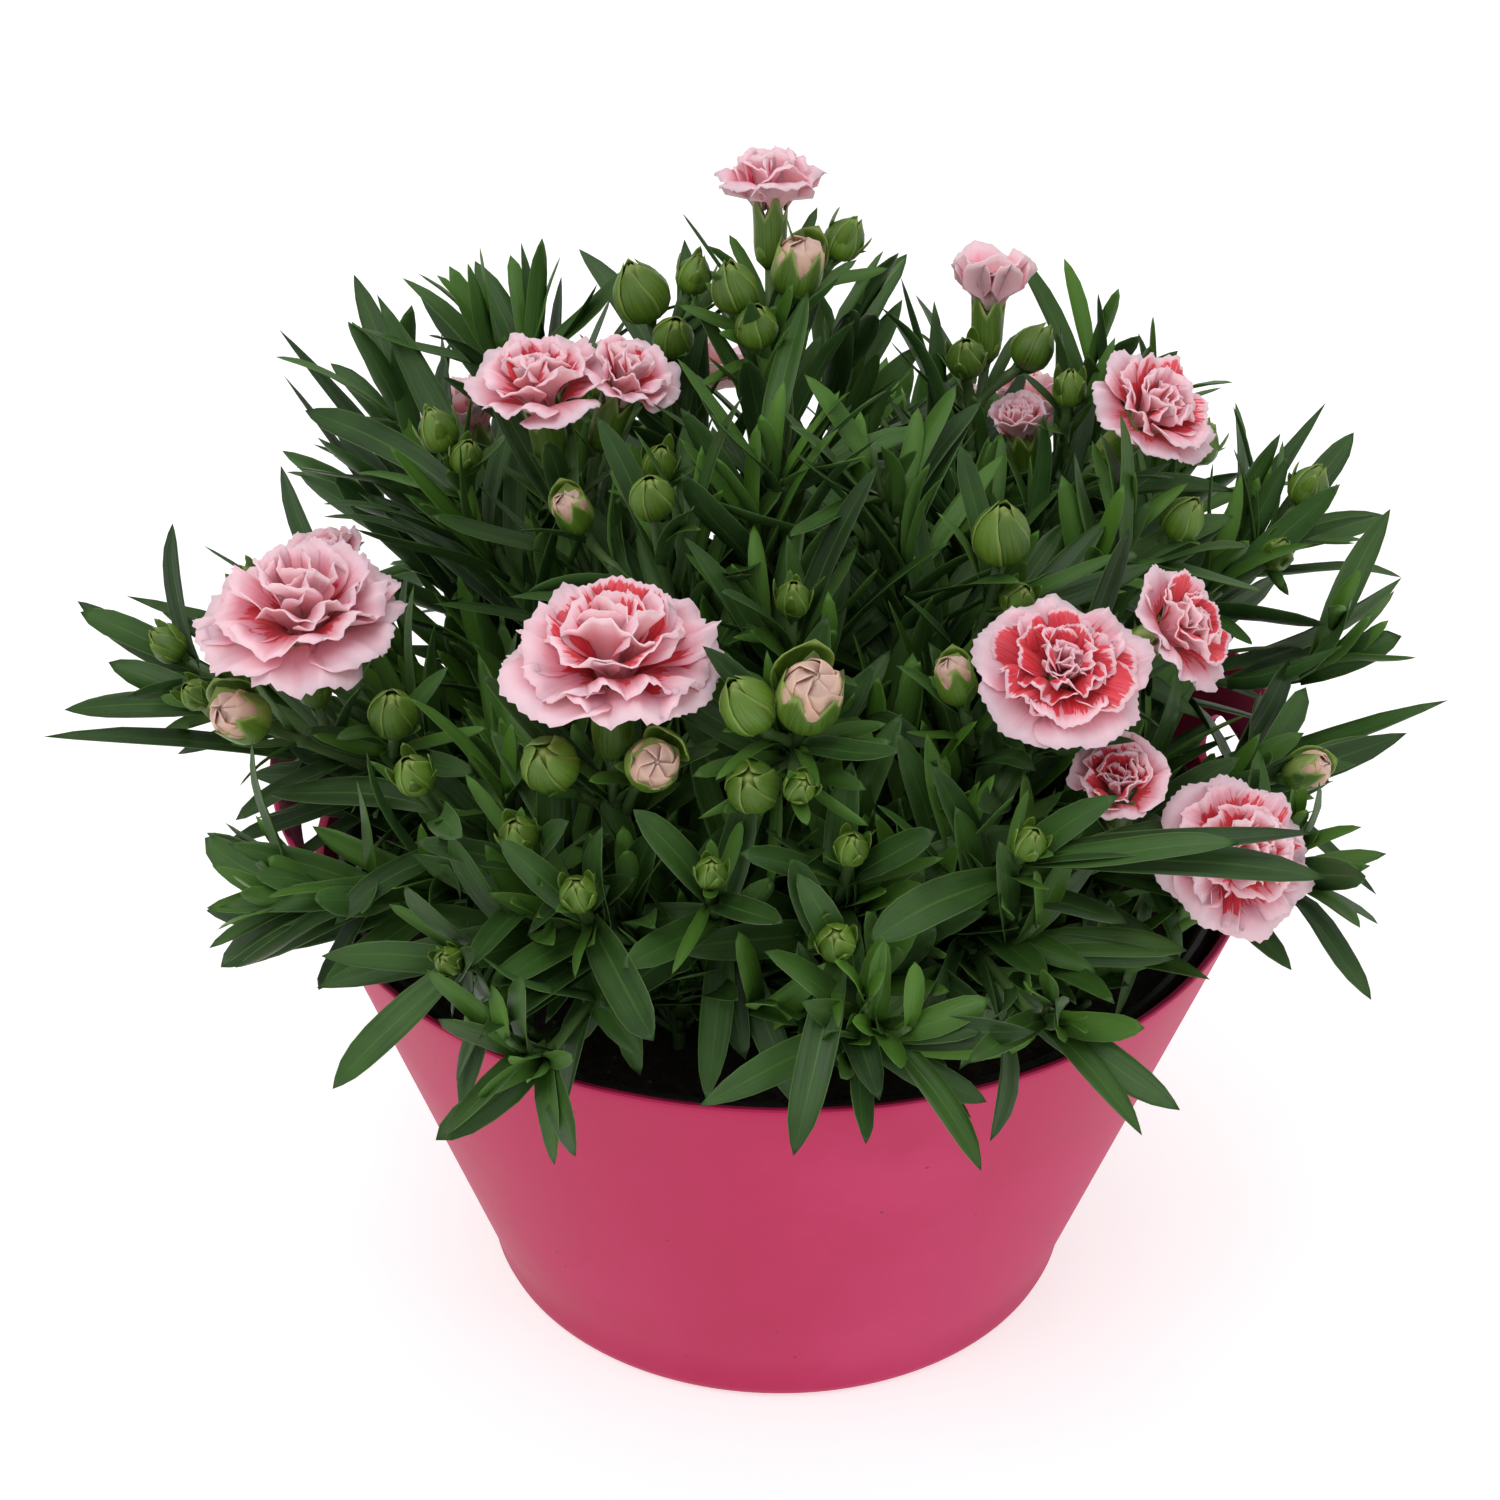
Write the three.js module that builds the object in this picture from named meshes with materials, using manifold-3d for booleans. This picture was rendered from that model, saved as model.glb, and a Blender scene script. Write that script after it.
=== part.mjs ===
// A pot dianthus (double carnation) in a grow pot, standing in a two-eared bowl.
// Millimetres, +Z up. The origin is the middle of the bowl's flat base, and the two ears lie along X.
import * as THREE from "three";
import { mergeVertices } from "three/addons/utils/BufferGeometryUtils.js";
import Module from "manifold-3d";

const wasm = await Module();
wasm.setup();

// ---------------------------------------------------------------- driving dimensions

const RIM_RADIUS = 115;
const RIM_HEIGHT = 121;
const FOOT_RADIUS = 69.5;
const EDGE_RADIUS = 74.4;
const EDGE_HEIGHT = 7;
const BOWL_WALL = 2.2;
const BOWL_FLOOR = 3;
const BOWL_STEPS = 40;

const EAR_RISE = 24;
const EAR_HALF_ANGLE = 27;
const EAR_FLAT_ANGLE = 15;
const FINGER_HOLE_WIDTH = 60;
const FINGER_HOLE_LOW = 118;
const FINGER_HOLE_HIGH = 131;
const FINGER_REACH = 40;

const SEAT_GAP = 0.3;
const LIP_RADIUS = 108.6;
const LIP_TOP = 114.5;
const LINER_WALL = 1.5;
const LINER_FOOT_RADIUS = 63;
const LINER_STEPS = 24;
const SOIL_LEVEL = 103;
const SOIL_MOUND = 5;
const SOIL_STEPS = 24;

const STEM_RADIUS = 1.7;
const STEM_TOP_RADIUS = 1.4;
const STEM_SIDES = 4;
const STEM_DEPTH = 14;
const STEM_LONGEST_STEP = 0.34;
const STEM_TRIES = 24;
const TWIG_RADIUS = 1.4;
const TWIG_SIDES = 3;
const HOLE_GAP = 0.35;
const HOLE_OVERRUN = 6;

const NODE_HALF_HEIGHT = 1.5;
const NODE_SWELLING = 1.15;

const FULL_BLADE = [{ place: 0.17, outline: 0.72, keel: 1.6 }, { place: 0.6, outline: 0.96, keel: 1.2 }];
const YOUNG_BLADE = [{ place: 0.42, outline: 1, keel: 1.3 }];
const YOUNG_LENGTH = 40;
const KEEL_FULL_WIDTH = 9;
const LEAF_TRIES = 60;
const LEAF_SHORTENING = 0.26;
const LEAF_SPLAY = [57, 37];

const HEAD_SIDES = 5;
const CALYX_LENGTH = 18;
const BUD_STRETCH = 1.25;
const OPENING_SHARE = 0.66;
const CALYX_PROFILE = {
  bloom: [[6, 4.4], [CALYX_LENGTH, 4.3]],
  opening: [[0.3, 0.5], [OPENING_SHARE, 0.46]],
  bud: [[0.26, 0.47], [0.66, 0.44], [1, 0]],
};
const TIP_PROFILE = [[0, 0.42], [0.22, 0.42], [0.44, 0]];

const PETAL_THICKNESS = 0.7;
const NECK_RADIUS = 3.4;
const NOTCH_RADIUS = 4.5;
const WHORL_STEP = 0.04;
const WHORL_TRIES = 5;

const CLEARANCE = 0.35;
const UP = new THREE.Vector3(0, 0, 1);

const COLOURS = {
  bowl: 0xc5416d,
  liner: 0x1b1c1b,
  soil: 0x2b221b,
  leaf: 0x35512f,
  petal: 0xe6a9b8,
  cream: 0xe3bda6,
};

// ---------------------------------------------------------------- the plant's layout
//
// Each plant grows from one hole in the soil at foot [x, y]. Its first shoot rises from there, and each further
// shoot or flower stalk branches off the first at the fraction `from` of its length.
// A shoot ends in a bloom, a green bud, a bud that opens, or (tip, lean) in leaves alone.
// pairs: pairs of leaves up the shoot. leaf: [length, width] of the largest ones.
// aim: points that the tips of chosen leaves reach, each [x, y, z, width of the leaf].

const PLANTS = [
  {
    name: "crown",
    foot: [1, 14],
    shoots: [
      { bloom: { at: [0.5, 48, 269], face: [0.02, 0.3, 1], size: 30, open: 0.6, petals: [5, 4, 3] },
        pairs: 4, leaf: [48, 8] },
      { from: 0.9, opening: { at: [6, 32, 256], face: [0.2, -0.1, 1], size: 12 } },
      { from: 0.84, bud: { at: [-10, 27, 254], face: [-0.2, -0.1, 1], size: 10.5 } },
      { from: 0.8, bud: { at: [-5, 20, 247], face: [0, -0.4, 1], size: 9.5 } },
      { from: 0.87, bud: { at: [18, 38, 260], face: [0.6, 0, 1], size: 9 } },
    ],
  },
  {
    name: "crown_left",
    foot: [-15, 24],
    shoots: [
      { bud: { at: [-31, 46, 245], face: [-0.3, -0.1, 1], size: 13 }, pairs: 4, leaf: [52, 8],
        aim: [[-43, 90, 235, 8], [-17, 87, 238, 8]] },
      { from: 0.9, bud: { at: [-17, 49, 247], face: [0.3, 0, 1], size: 8 } },
      { from: 0.86, bud: { at: [-23, 38, 236], face: [0.1, -0.5, 1], size: 9.5 } },
    ],
  },
  {
    name: "crown_right",
    foot: [25, 27],
    shoots: [
      { bloom: { at: [55, 57, 237], face: [0.05, 0.25, 1], size: 27, open: 0.3, petals: [4, 3] },
        pairs: 4, leaf: [54, 9], aim: [[37, 77, 226, 8], [43, 66, 229, 8], [47, 64, 238, 8]] },
      { from: 0.84, bud: { at: [66, 49, 225], face: [0.6, 0, 1], size: 10 } },
      { from: 0.8, bud: { at: [48, 44, 225], face: [-0.1, -0.4, 1], size: 9 } },
    ],
  },
  {
    name: "inner_left",
    foot: [-26, 6],
    shoots: [
      { bloom: { at: [-56, 8, 238], face: [-0.15, 0, 1], size: 38, open: 0.9, petals: [5, 4, 3] },
        pairs: 3, leaf: [56, 9] },
      { from: 0.66, bloom: { at: [-36, 11, 238], face: [0.35, -0.05, 1], size: 29, open: 0.8, petals: [4, 3] } },
      { from: 0.6, bud: { at: [-29, -3, 224], face: [0.1, -0.3, 1], size: 8 } },
    ],
  },
  {
    name: "middle",
    foot: [-14, -20],
    shoots: [
      { bud: { at: [-33, -32, 231], face: [-0.1, -0.4, 1], size: 9.5 }, pairs: 4, leaf: [56, 9] },
      { from: 0.6, opening: { at: [-50, -10, 216], face: [-0.4, -0.2, 1], size: 9 }, pairs: 1, leaf: [30, 6] },
    ],
  },
  {
    name: "left_buds",
    foot: [-42, 12],
    shoots: [
      { bud: { at: [-80, 22, 222], face: [-0.3, 0, 1], size: 9 }, pairs: 4, leaf: [58, 9],
        aim: [[-112, 62, 207, 9], [-93, 65, 236, 9]] },
      { from: 0.88, bud: { at: [-73, 15, 218], face: [0.2, -0.3, 1], size: 7.5 } },
    ],
  },
  {
    name: "right_tall",
    foot: [42, 6],
    shoots: [
      { bloom: { at: [86, 4, 228], face: [0.5, -0.35, 0.8], size: 36, open: 0.9, petals: [5, 4, 3] },
        pairs: 3, leaf: [50, 9] },
      { from: 0.74, bud: { at: [93, -9, 208], face: [0.5, -0.3, 1], size: 9.5 } },
      { from: 0.3, tip: [78, -22, 205], lean: [0.4, -0.3, 1], pairs: 3, leaf: [50, 9] },
    ],
  },
  {
    name: "right_slim",
    foot: [36, 16],
    shoots: [
      { bloom: { at: [62, 44, 206], face: [-0.2, -0.1, 1], size: 20, open: 0.4, petals: [4, 3] },
        pairs: 3, leaf: [52, 8] },
      { from: 0.7, bud: { at: [68, 14, 231], face: [0, -0.1, 1], size: 7.5 }, pairs: 1, leaf: [26, 5] },
    ],
  },
  {
    name: "right_centre",
    foot: [20, -20],
    shoots: [
      { bud: { at: [43, -48, 228], face: [0, -0.2, 1], size: 12.5 }, pairs: 4, leaf: [56, 9] },
      { from: 0.84, bud: { at: [47, -53, 213], face: [0.3, -0.6, 1], size: 7.5 } },
      { from: 0.25, tip: [24, -14, 214], lean: [0.1, 0.1, 1], pairs: 3, leaf: [58, 9] },
    ],
  },
  {
    name: "centre",
    foot: [1, -22],
    shoots: [
      { bud: { at: [-3, -50, 214], face: [0, -0.3, 1], size: 7.5 }, pairs: 4, leaf: [56, 9] },
      { from: 0.2, tip: [-4, -8, 218], lean: [0, 0, 1], pairs: 3, leaf: [58, 9] },
    ],
  },
  {
    name: "left_bloom",
    foot: [-46, -12],
    shoots: [
      { bloom: { at: [-111, -30, 203], face: [-0.06, -0.02, 1], size: 50, open: 1, petals: [5, 5, 4, 3] },
        pairs: 3, leaf: [60, 9], aim: [[-119, 2, 139, 9], [-117, -19, 136, 9]] },
      { from: 0.7, opening: { at: [-127, -40, 183], face: [-0.5, -0.5, 0.6], size: 12 } },
      { from: 0.62, bud: { at: [-92, -50, 189], face: [0, -0.4, 1], size: 10.5 }, pairs: 1, leaf: [26, 6] },
    ],
  },
  {
    name: "left_back_bloom",
    foot: [-46, 30],
    shoots: [
      { bloom: { at: [-108, 34, 181], face: [-0.2, 0.1, 1], size: 24, open: 0.6, petals: [4, 3] },
        pairs: 3, leaf: [54, 9], aim: [[-144, 35, 192, 8], [-137, 34, 186, 8], [-123, 53, 196, 8]] },
      { from: 0.75, bud: { at: [-126, 14, 187], face: [-0.5, -0.1, 1], size: 8 } },
    ],
  },
  {
    name: "front_left_bloom",
    foot: [-22, -38],
    shoots: [
      { bloom: { at: [-44, -82, 219], face: [0.04, -0.04, 1], size: 52, open: 1, petals: [5, 5, 4, 3] },
        pairs: 3, leaf: [50, 10] },
      { from: 0.74, opening: { at: [-37, -98, 202], face: [0.1, -0.8, 0.6], size: 11.5 } },
      { from: 0.7, bud: { at: [-59, -90, 199], face: [-0.2, -0.6, 0.8], size: 12 } },
    ],
  },
  {
    name: "front_opening",
    foot: [-3, -42],
    shoots: [
      { opening: { at: [-4, -98, 218], face: [0.1, -0.5, 0.9], size: 14 }, pairs: 3, leaf: [48, 9] },
      { from: 0.86, bud: { at: [-18, -96, 216], face: [-0.5, -0.2, 1], size: 11.5 } },
      { from: 0.8, bud: { at: [-17, -104, 200], face: [-0.2, -0.7, 0.8], size: 11 } },
      { from: 0.84, bud: { at: [-7, -109, 202], face: [0.2, -0.8, 0.8], size: 6.5 } },
    ],
  },
  {
    name: "front_right_bloom",
    foot: [22, -42],
    shoots: [
      { bloom: { at: [51, -86, 214], face: [0.05, -0.42, 0.9], size: 41, open: 0.95, petals: [5, 5, 4, 3] },
        pairs: 3, leaf: [48, 10] },
      { from: 0.45, opening: { at: [31, -66, 201], face: [-0.3, 0.1, 1], size: 9 }, pairs: 1, leaf: [30, 7] },
    ],
  },
  {
    name: "right_bloom",
    foot: [40, -32],
    shoots: [
      { bloom: { at: [80, -66, 211], face: [0.75, -0.3, 0.6], size: 34, open: 0.85, petals: [5, 4, 3] },
        pairs: 3, leaf: [48, 9] },
    ],
  },
  {
    name: "hidden_bloom",
    foot: [36, -54],
    shoots: [
      { bloom: { at: [64, -90, 187], face: [-0.1, -0.45, 0.9], size: 26, open: 0.5, petals: [4, 3] },
        pairs: 2, leaf: [44, 9] },
    ],
  },
  {
    name: "low_right_bloom",
    foot: [54, -46],
    shoots: [
      { bloom: { at: [90, -96, 171], face: [0.35, -0.7, 0.62], size: 39, open: 0.95, petals: [5, 5, 3] },
        pairs: 2, leaf: [46, 9] },
    ],
  },
  {
    name: "right_low",
    foot: [58, -26],
    shoots: [
      { opening: { at: [116, -54, 165], face: [0.8, -0.3, 0.45], size: 9 }, pairs: 4, leaf: [54, 9],
        aim: [[152, -36, 171, 9], [137, -54, 172, 9], [118, -36, 176, 9]] },
      { from: 0.3, tip: [104, -76, 150], lean: [0.7, -0.5, 0.6], pairs: 2, leaf: [44, 9],
        aim: [[120, -108, 139, 9], [106, -111, 174, 9]] },
    ],
  },
  {
    name: "right_side",
    foot: [58, 4],
    shoots: [
      { bud: { at: [127, 10, 205], face: [0.5, 0, 1], size: 9 }, pairs: 4, leaf: [54, 9],
        aim: [[141, -4, 203, 9], [138, 16, 215, 8], [111, 29, 216, 8], [127, -28, 184, 9]] },
      { from: 0.86, bud: { at: [119, 4, 190], face: [0.3, -0.4, 1], size: 7.5 } },
      { from: 0.35, tip: [124, -20, 172], lean: [0.8, -0.2, 0.7], pairs: 2, leaf: [48, 9],
        aim: [[144, -15, 192, 9], [142, -25, 182, 9]] },
    ],
  },
  {
    name: "back_left_bloom",
    foot: [-28, 44],
    shoots: [
      { bloom: { at: [-72, 92, 190], face: [-0.3, 0.4, 1], size: 32, open: 0.8, petals: [4, 3] },
        pairs: 3, leaf: [54, 9] },
      { from: 0.3, tip: [-58, 68, 206], lean: [-0.2, 0.3, 1], pairs: 3, leaf: [56, 9],
        aim: [[-64, 92, 233, 9], [-57, 81, 241, 9], [-83, 94, 222, 8]] },
    ],
  },
  {
    name: "back_bloom",
    foot: [-4, 48],
    shoots: [
      { bloom: { at: [-14, 112, 188], face: [0, 0.7, 1], size: 46, open: 1, petals: [5, 5, 4] },
        pairs: 3, leaf: [50, 9] },
      { from: 0.3, tip: [20, 76, 206], lean: [0.2, 0.3, 1], pairs: 3, leaf: [58, 9],
        aim: [[37, 77, 237, 9]] },
    ],
  },
  {
    name: "back_right_bloom",
    foot: [34, 48],
    shoots: [
      { bloom: { at: [76, 102, 180], face: [0.4, 0.6, 1], size: 38, open: 0.9, petals: [5, 4] },
        pairs: 3, leaf: [52, 9] },
      { from: 0.3, tip: [82, 46, 202], lean: [0.4, 0.1, 1], pairs: 3, leaf: [56, 9],
        aim: [[79, 42, 241, 9], [98, 36, 228, 9]] },
    ],
  },
  {
    name: "front_tuft_1",
    foot: [-48, -40],
    shoots: [
      { bud: { at: [-88, -73, 187], face: [-0.3, -0.4, 1], size: 8.5 }, pairs: 3, leaf: [50, 9],
        aim: [[-122, -40, 162, 9], [-116, -60, 140, 10]] },
      { from: 0.3, tip: [-113, -70, 152], lean: [-0.8, -0.4, 0.6], pairs: 3, leaf: [46, 9],
        aim: [[-132, -82, 144, 10], [-136, -47, 155, 9], [-136, -67, 148, 8]] },
    ],
  },
  {
    name: "front_tuft_2",
    foot: [-42, -60],
    shoots: [
      { bud: { at: [-66, -96, 185], face: [-0.2, -0.5, 1], size: 8 }, pairs: 3, leaf: [42, 9] },
      { from: 0.35, bud: { at: [-82, -106, 160], face: [-0.4, -0.7, 0.8], size: 6 }, pairs: 3, leaf: [44, 10],
        aim: [[-108, -110, 130, 9], [-111, -89, 142, 9]] },
    ],
  },
  {
    name: "front_tuft_3",
    foot: [-30, -68],
    shoots: [
      { bud: { at: [-54, -110, 179], face: [-0.1, -0.6, 1], size: 7.5 }, pairs: 3, leaf: [42, 10],
        aim: [[-40, -137, 159, 11], [-76, -128, 155, 9]] },
      { from: 0.35, tip: [-62, -118, 142], lean: [-0.3, -0.9, 0.3], pairs: 1, leaf: [36, 9],
        aim: [[-86, -132, 132, 9], [-57, -145, 136, 10]] },
    ],
  },
  {
    name: "front_tuft_4",
    foot: [-14, -66],
    shoots: [
      { bud: { at: [-26, -112, 184], face: [0, -0.6, 1], size: 6.5 }, pairs: 3, leaf: [44, 10] },
      { from: 0.1, tip: [8, -126, 151], lean: [0.1, -0.8, 0.8], pairs: 3, leaf: [36, 10],
        aim: [[39, -143, 161, 9], [3, -152, 141, 9], [-31, -143, 146, 9]] },
    ],
  },
  {
    name: "front_tuft_5",
    foot: [4, -64],
    shoots: [
      { bud: { at: [4, -108, 186], face: [0, -0.5, 1], size: 7 }, pairs: 3, leaf: [44, 10] },
      { from: 0.3, bud: { at: [-1, -125, 174], face: [-0.1, -0.7, 0.9], size: 8 }, pairs: 2, leaf: [42, 10],
        aim: [[-12, -151, 138, 9]] },
    ],
  },
  {
    name: "front_tuft_6",
    foot: [26, -70],
    shoots: [
      { bud: { at: [42, -109, 186], face: [0.2, -0.5, 1], size: 7 }, pairs: 3, leaf: [46, 10],
        aim: [[6, -124, 172, 12]] },
      { from: 0.35, tip: [46, -122, 148], lean: [0.3, -0.8, 0.6], pairs: 2, leaf: [42, 10],
        aim: [[70, -146, 141, 9], [29, -152, 140, 9]] },
    ],
  },
  {
    name: "left_side",
    foot: [-60, 10],
    shoots: [
      { bud: { at: [-146, 6, 176], face: [-0.7, 0, 0.8], size: 8 }, pairs: 4, leaf: [46, 8],
        aim: [[-176, 8, 158, 7], [-168, 30, 174, 7]] },
      { from: 0.7, bud: { at: [-139, -8, 170], face: [-0.5, -0.5, 0.8], size: 7 } },
    ],
  },
  {
    name: "back_tuft_1",
    foot: [-62, 44],
    shoots: [
      { tip: [-88, 68, 200], lean: [-0.4, 0.2, 1], pairs: 4, leaf: [58, 9],
        aim: [[-117, 72, 212, 8], [-104, 81, 228, 9], [-92, 70, 232, 9]] },
      { from: 0.3, bud: { at: [-100, 104, 162], face: [-0.6, 0.6, 0.8], size: 8 }, pairs: 3, leaf: [46, 9] },
    ],
  },
  {
    name: "back_tuft_2",
    foot: [-24, 70],
    shoots: [
      { bud: { at: [-42, 118, 184], face: [-0.1, 0.6, 1], size: 9 }, pairs: 4, leaf: [50, 9] },
      { from: 0.35, tip: [-34, 138, 152], lean: [-0.2, 0.8, 0.6], pairs: 2, leaf: [42, 9] },
    ],
  },
  {
    name: "back_tuft_3",
    foot: [20, 72],
    shoots: [
      { opening: { at: [28, 128, 180], face: [0.1, 0.7, 0.8], size: 11 }, pairs: 4, leaf: [50, 9] },
      { from: 0.35, tip: [48, 128, 152], lean: [0.3, 0.8, 0.6], pairs: 3, leaf: [44, 9] },
    ],
  },
  {
    name: "back_tuft_4",
    foot: [60, 44],
    shoots: [
      { bud: { at: [112, 62, 190], face: [0.5, 0.3, 1], size: 9 }, pairs: 4, leaf: [52, 9] },
      { from: 0.3, tip: [96, 100, 158], lean: [0.6, 0.6, 0.7], pairs: 3, leaf: [46, 9] },
    ],
  },
];

// ---------------------------------------------------------------- small helpers

const radians = THREE.MathUtils.degToRad;
const lerp = THREE.MathUtils.lerp;

// A repeatable stream of numbers from 0 to 1.
function seeded(seed) {
  let state = seed;
  return () => {
    state = (state + 0x6d2b79f5) | 0;
    let t = Math.imul(state ^ (state >>> 15), 1 | state);
    t = (t + Math.imul(t ^ (t >>> 7), 61 | t)) ^ t;
    return ((t ^ (t >>> 14)) >>> 0) / 4294967296;
  };
}

// 0, 1, -1, 2, -2, ... for n = 0, 1, 2, 3, 4, ...
function zigzag(n) {
  return n % 2 ? (n + 1) / 2 : -n / 2;
}

function vec(x, y, z) {
  return new THREE.Vector3(x, y, z);
}

// origin + a * along + b * side + ..., with the terms given as [factor, vector].
function offset(origin, ...terms) {
  const point = origin.clone();
  terms.forEach(([factor, direction]) => point.addScaledVector(direction, factor));
  return point;
}

// The part of v that is square to the unit vector axis, at length 1.
function square(v, axis) {
  return offset(v, [-v.dot(axis), axis]).normalize();
}

// Two unit vectors square to a direction: side * up = the direction, right-handed.
function frameOf(direction) {
  const side = square(vec(1, 0, 0), direction);
  return [side, direction.clone().cross(side)];
}

function solidFrom(points, faces) {
  const vertProperties = new Float32Array(points.flatMap((p) => [p.x, p.y, p.z]));
  const triVerts = new Uint32Array(faces.flat());
  return new wasm.Manifold(new wasm.Mesh({ numProp: 3, vertProperties, triVerts }));
}

function solidFromGeometry(geometry) {
  geometry.deleteAttribute("normal");
  geometry.deleteAttribute("uv");
  const merged = mergeVertices(geometry, 1e-3);
  return new wasm.Manifold(
    new wasm.Mesh({
      numProp: 3,
      vertProperties: merged.attributes.position.array,
      triVerts: new Uint32Array(merged.index.array),
    }),
  );
}

function geometryFromSolid(solid) {
  const mesh = solid.getMesh();
  const geometry = new THREE.BufferGeometry();
  geometry.setAttribute("position", new THREE.BufferAttribute(mesh.vertProperties, mesh.numProp));
  geometry.setIndex(new THREE.BufferAttribute(mesh.triVerts, 1));
  geometry.computeVertexNormals();
  return geometry;
}

// The faces between two rings, whatever their counts, or between a ring and a tip of one point.
function bandFaces(near, far) {
  const faces = [];
  const edges = (ring) => (ring.length > 1 ? ring.length : 0);
  const [nearEdges, farEdges] = [edges(near), edges(far)];
  let [i, j] = [0, 0];
  while (i < nearEdges || j < farEdges) {
    const [a, b] = [near[i % near.length], far[j % far.length]];
    const isNearTurn = j >= farEdges || (i < nearEdges && (i + 1) * farEdges <= (j + 1) * nearEdges);
    if (isNearTurn) {
      i += 1;
      faces.push([a, near[i % near.length], b]);
    } else {
      j += 1;
      faces.push([a, far[j % far.length], b]);
    }
  }
  return faces;
}

// The faces of a leaf that grows out of one facet [a, b, c, d] of a stem, through rings of three points to a tip.
function leafFaces([a, b, c, d], [first, ...further]) {
  const [right, left, keel] = first;
  const faces = [[c, d, left], [c, left, right], [d, a, keel], [d, keel, left], [a, b, keel]];
  faces.push([b, c, right], [b, right, keel]);
  let near = first;
  further.forEach((far) => {
    faces.push(...bandFaces(near, far));
    near = far;
  });
  return faces;
}

// The name of the facet between rings i and i + 1 at side j.
function facetKey(i, j) {
  return `${i}:${j}`;
}

// A closed solid through rings of points, each anticlockwise seen from the far end. A ring of one point is a tip.
// leaves: the rings of each leaf that grows out of a facet, by the facet's key.
function loft(rings, leaves = new Map()) {
  const points = [];
  const add = (ring) => ring.map((point) => points.push(point) - 1);
  const rows = rings.map(add);
  const faces = [];
  rows.slice(1).forEach((far, i) => {
    const near = rows[i];
    if (near.length !== far.length) {
      faces.push(...bandFaces(near, far));
      return;
    }
    near.forEach((a, j) => {
      const k = (j + 1) % near.length;
      const facet = [a, near[k], far[k], far[j]];
      const leaf = leaves.get(facetKey(i, j));
      if (leaf) {
        faces.push(...leafFaces(facet, leaf.map(add)));
      } else {
        faces.push([facet[0], facet[1], facet[2]], [facet[0], facet[2], facet[3]]);
      }
    });
  });
  const [start] = rows;
  const end = rows.at(-1);
  for (let j = 1; j < start.length - 1; j += 1) {
    faces.push([start[0], start[j + 1], start[j]]);
  }
  for (let j = 1; j < end.length - 1; j += 1) {
    faces.push([end[0], end[j], end[j + 1]]);
  }
  return solidFrom(points, faces);
}

// A ring of points round a direction.
function ringAt(centre, direction, radius, sides, turn = 0) {
  const [side, up] = frameOf(direction);
  const ring = [];
  for (let j = 0; j < sides; j += 1) {
    const angle = (2 * Math.PI * j) / sides + turn;
    ring.push(offset(centre, [radius * Math.cos(angle), side], [radius * Math.sin(angle), up]));
  }
  return ring;
}

// A turned solid along a direction: stations are [distance, radius], and radius 0 is a tip.
function turnedRings(base, direction, stations, sides, turn = 0) {
  return stations.map(([distance, radius]) => {
    const centre = offset(base, [distance, direction]);
    return radius ? ringAt(centre, direction, radius, sides, turn) : [centre];
  });
}

function turned(base, direction, stations, sides, turn) {
  return loft(turnedRings(base, direction, stations, sides, turn));
}

// A thin sheet given by its middle surface. Each point is { at, half }, and the sheet is thickened by half to
// one side and by as much to the other. The rim runs anticlockwise seen from above.
function sheet(points, faces, rim) {
  const count = points.length;
  const above = points.map(({ at, half }) => offset(at, [1, half]));
  const below = points.map(({ at, half }) => offset(at, [-1, half]));
  const all = faces.flatMap(([a, b, c]) => [
    [a, b, c],
    [a + count, c + count, b + count],
  ]);
  rim.forEach((a, i) => {
    const b = rim[(i + 1) % rim.length];
    all.push([a, a + count, b + count], [a, b + count, b]);
  });
  return solidFrom([...above, ...below], all);
}

// ---------------------------------------------------------------- bowl, grow pot and soil

function bowlRadius(height) {
  return EDGE_RADIUS + ((RIM_RADIUS - EDGE_RADIUS) * (height - EDGE_HEIGHT)) / (RIM_HEIGHT - EDGE_HEIGHT);
}

// The rim's height round the bowl: level, and swung up into an ear at each end of X.
function rimHeight(angle) {
  const fromEar = THREE.MathUtils.radToDeg(Math.asin(Math.abs(Math.sin(angle))));
  const rise = 1 - THREE.MathUtils.smoothstep(fromEar, EAR_FLAT_ANGLE, EAR_HALF_ANGLE);
  return RIM_HEIGHT + EAR_RISE * rise;
}

function bowlShell() {
  const inner = (height) => bowlRadius(height) - BOWL_WALL;
  const profileAt = (top) => [
    [FOOT_RADIUS, 0],
    [FOOT_RADIUS + 4.4, 2.1],
    [EDGE_RADIUS, EDGE_HEIGHT],
    [bowlRadius(top), top],
    [inner(top), top],
    [FOOT_RADIUS + 2, BOWL_FLOOR],
  ];
  const points = [vec(0, 0, 0)];
  const faces = [];
  const rows = profileAt(RIM_HEIGHT).length;
  for (let i = 0; i < BOWL_STEPS; i += 1) {
    const angle = (2 * Math.PI * i) / BOWL_STEPS;
    profileAt(rimHeight(angle)).forEach(([radius, height]) => {
      points.push(vec(radius * Math.cos(angle), radius * Math.sin(angle), height));
    });
  }
  const middle = points.push(vec(0, 0, BOWL_FLOOR)) - 1;
  for (let i = 0; i < BOWL_STEPS; i += 1) {
    const here = 1 + i * rows;
    const next = 1 + ((i + 1) % BOWL_STEPS) * rows;
    faces.push([0, next, here], [middle, here + rows - 1, next + rows - 1]);
    for (let j = 0; j < rows - 1; j += 1) {
      faces.push([here + j, next + j, next + j + 1], [here + j, next + j + 1, here + j + 1]);
    }
  }
  return solidFrom(points, faces);
}

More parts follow.
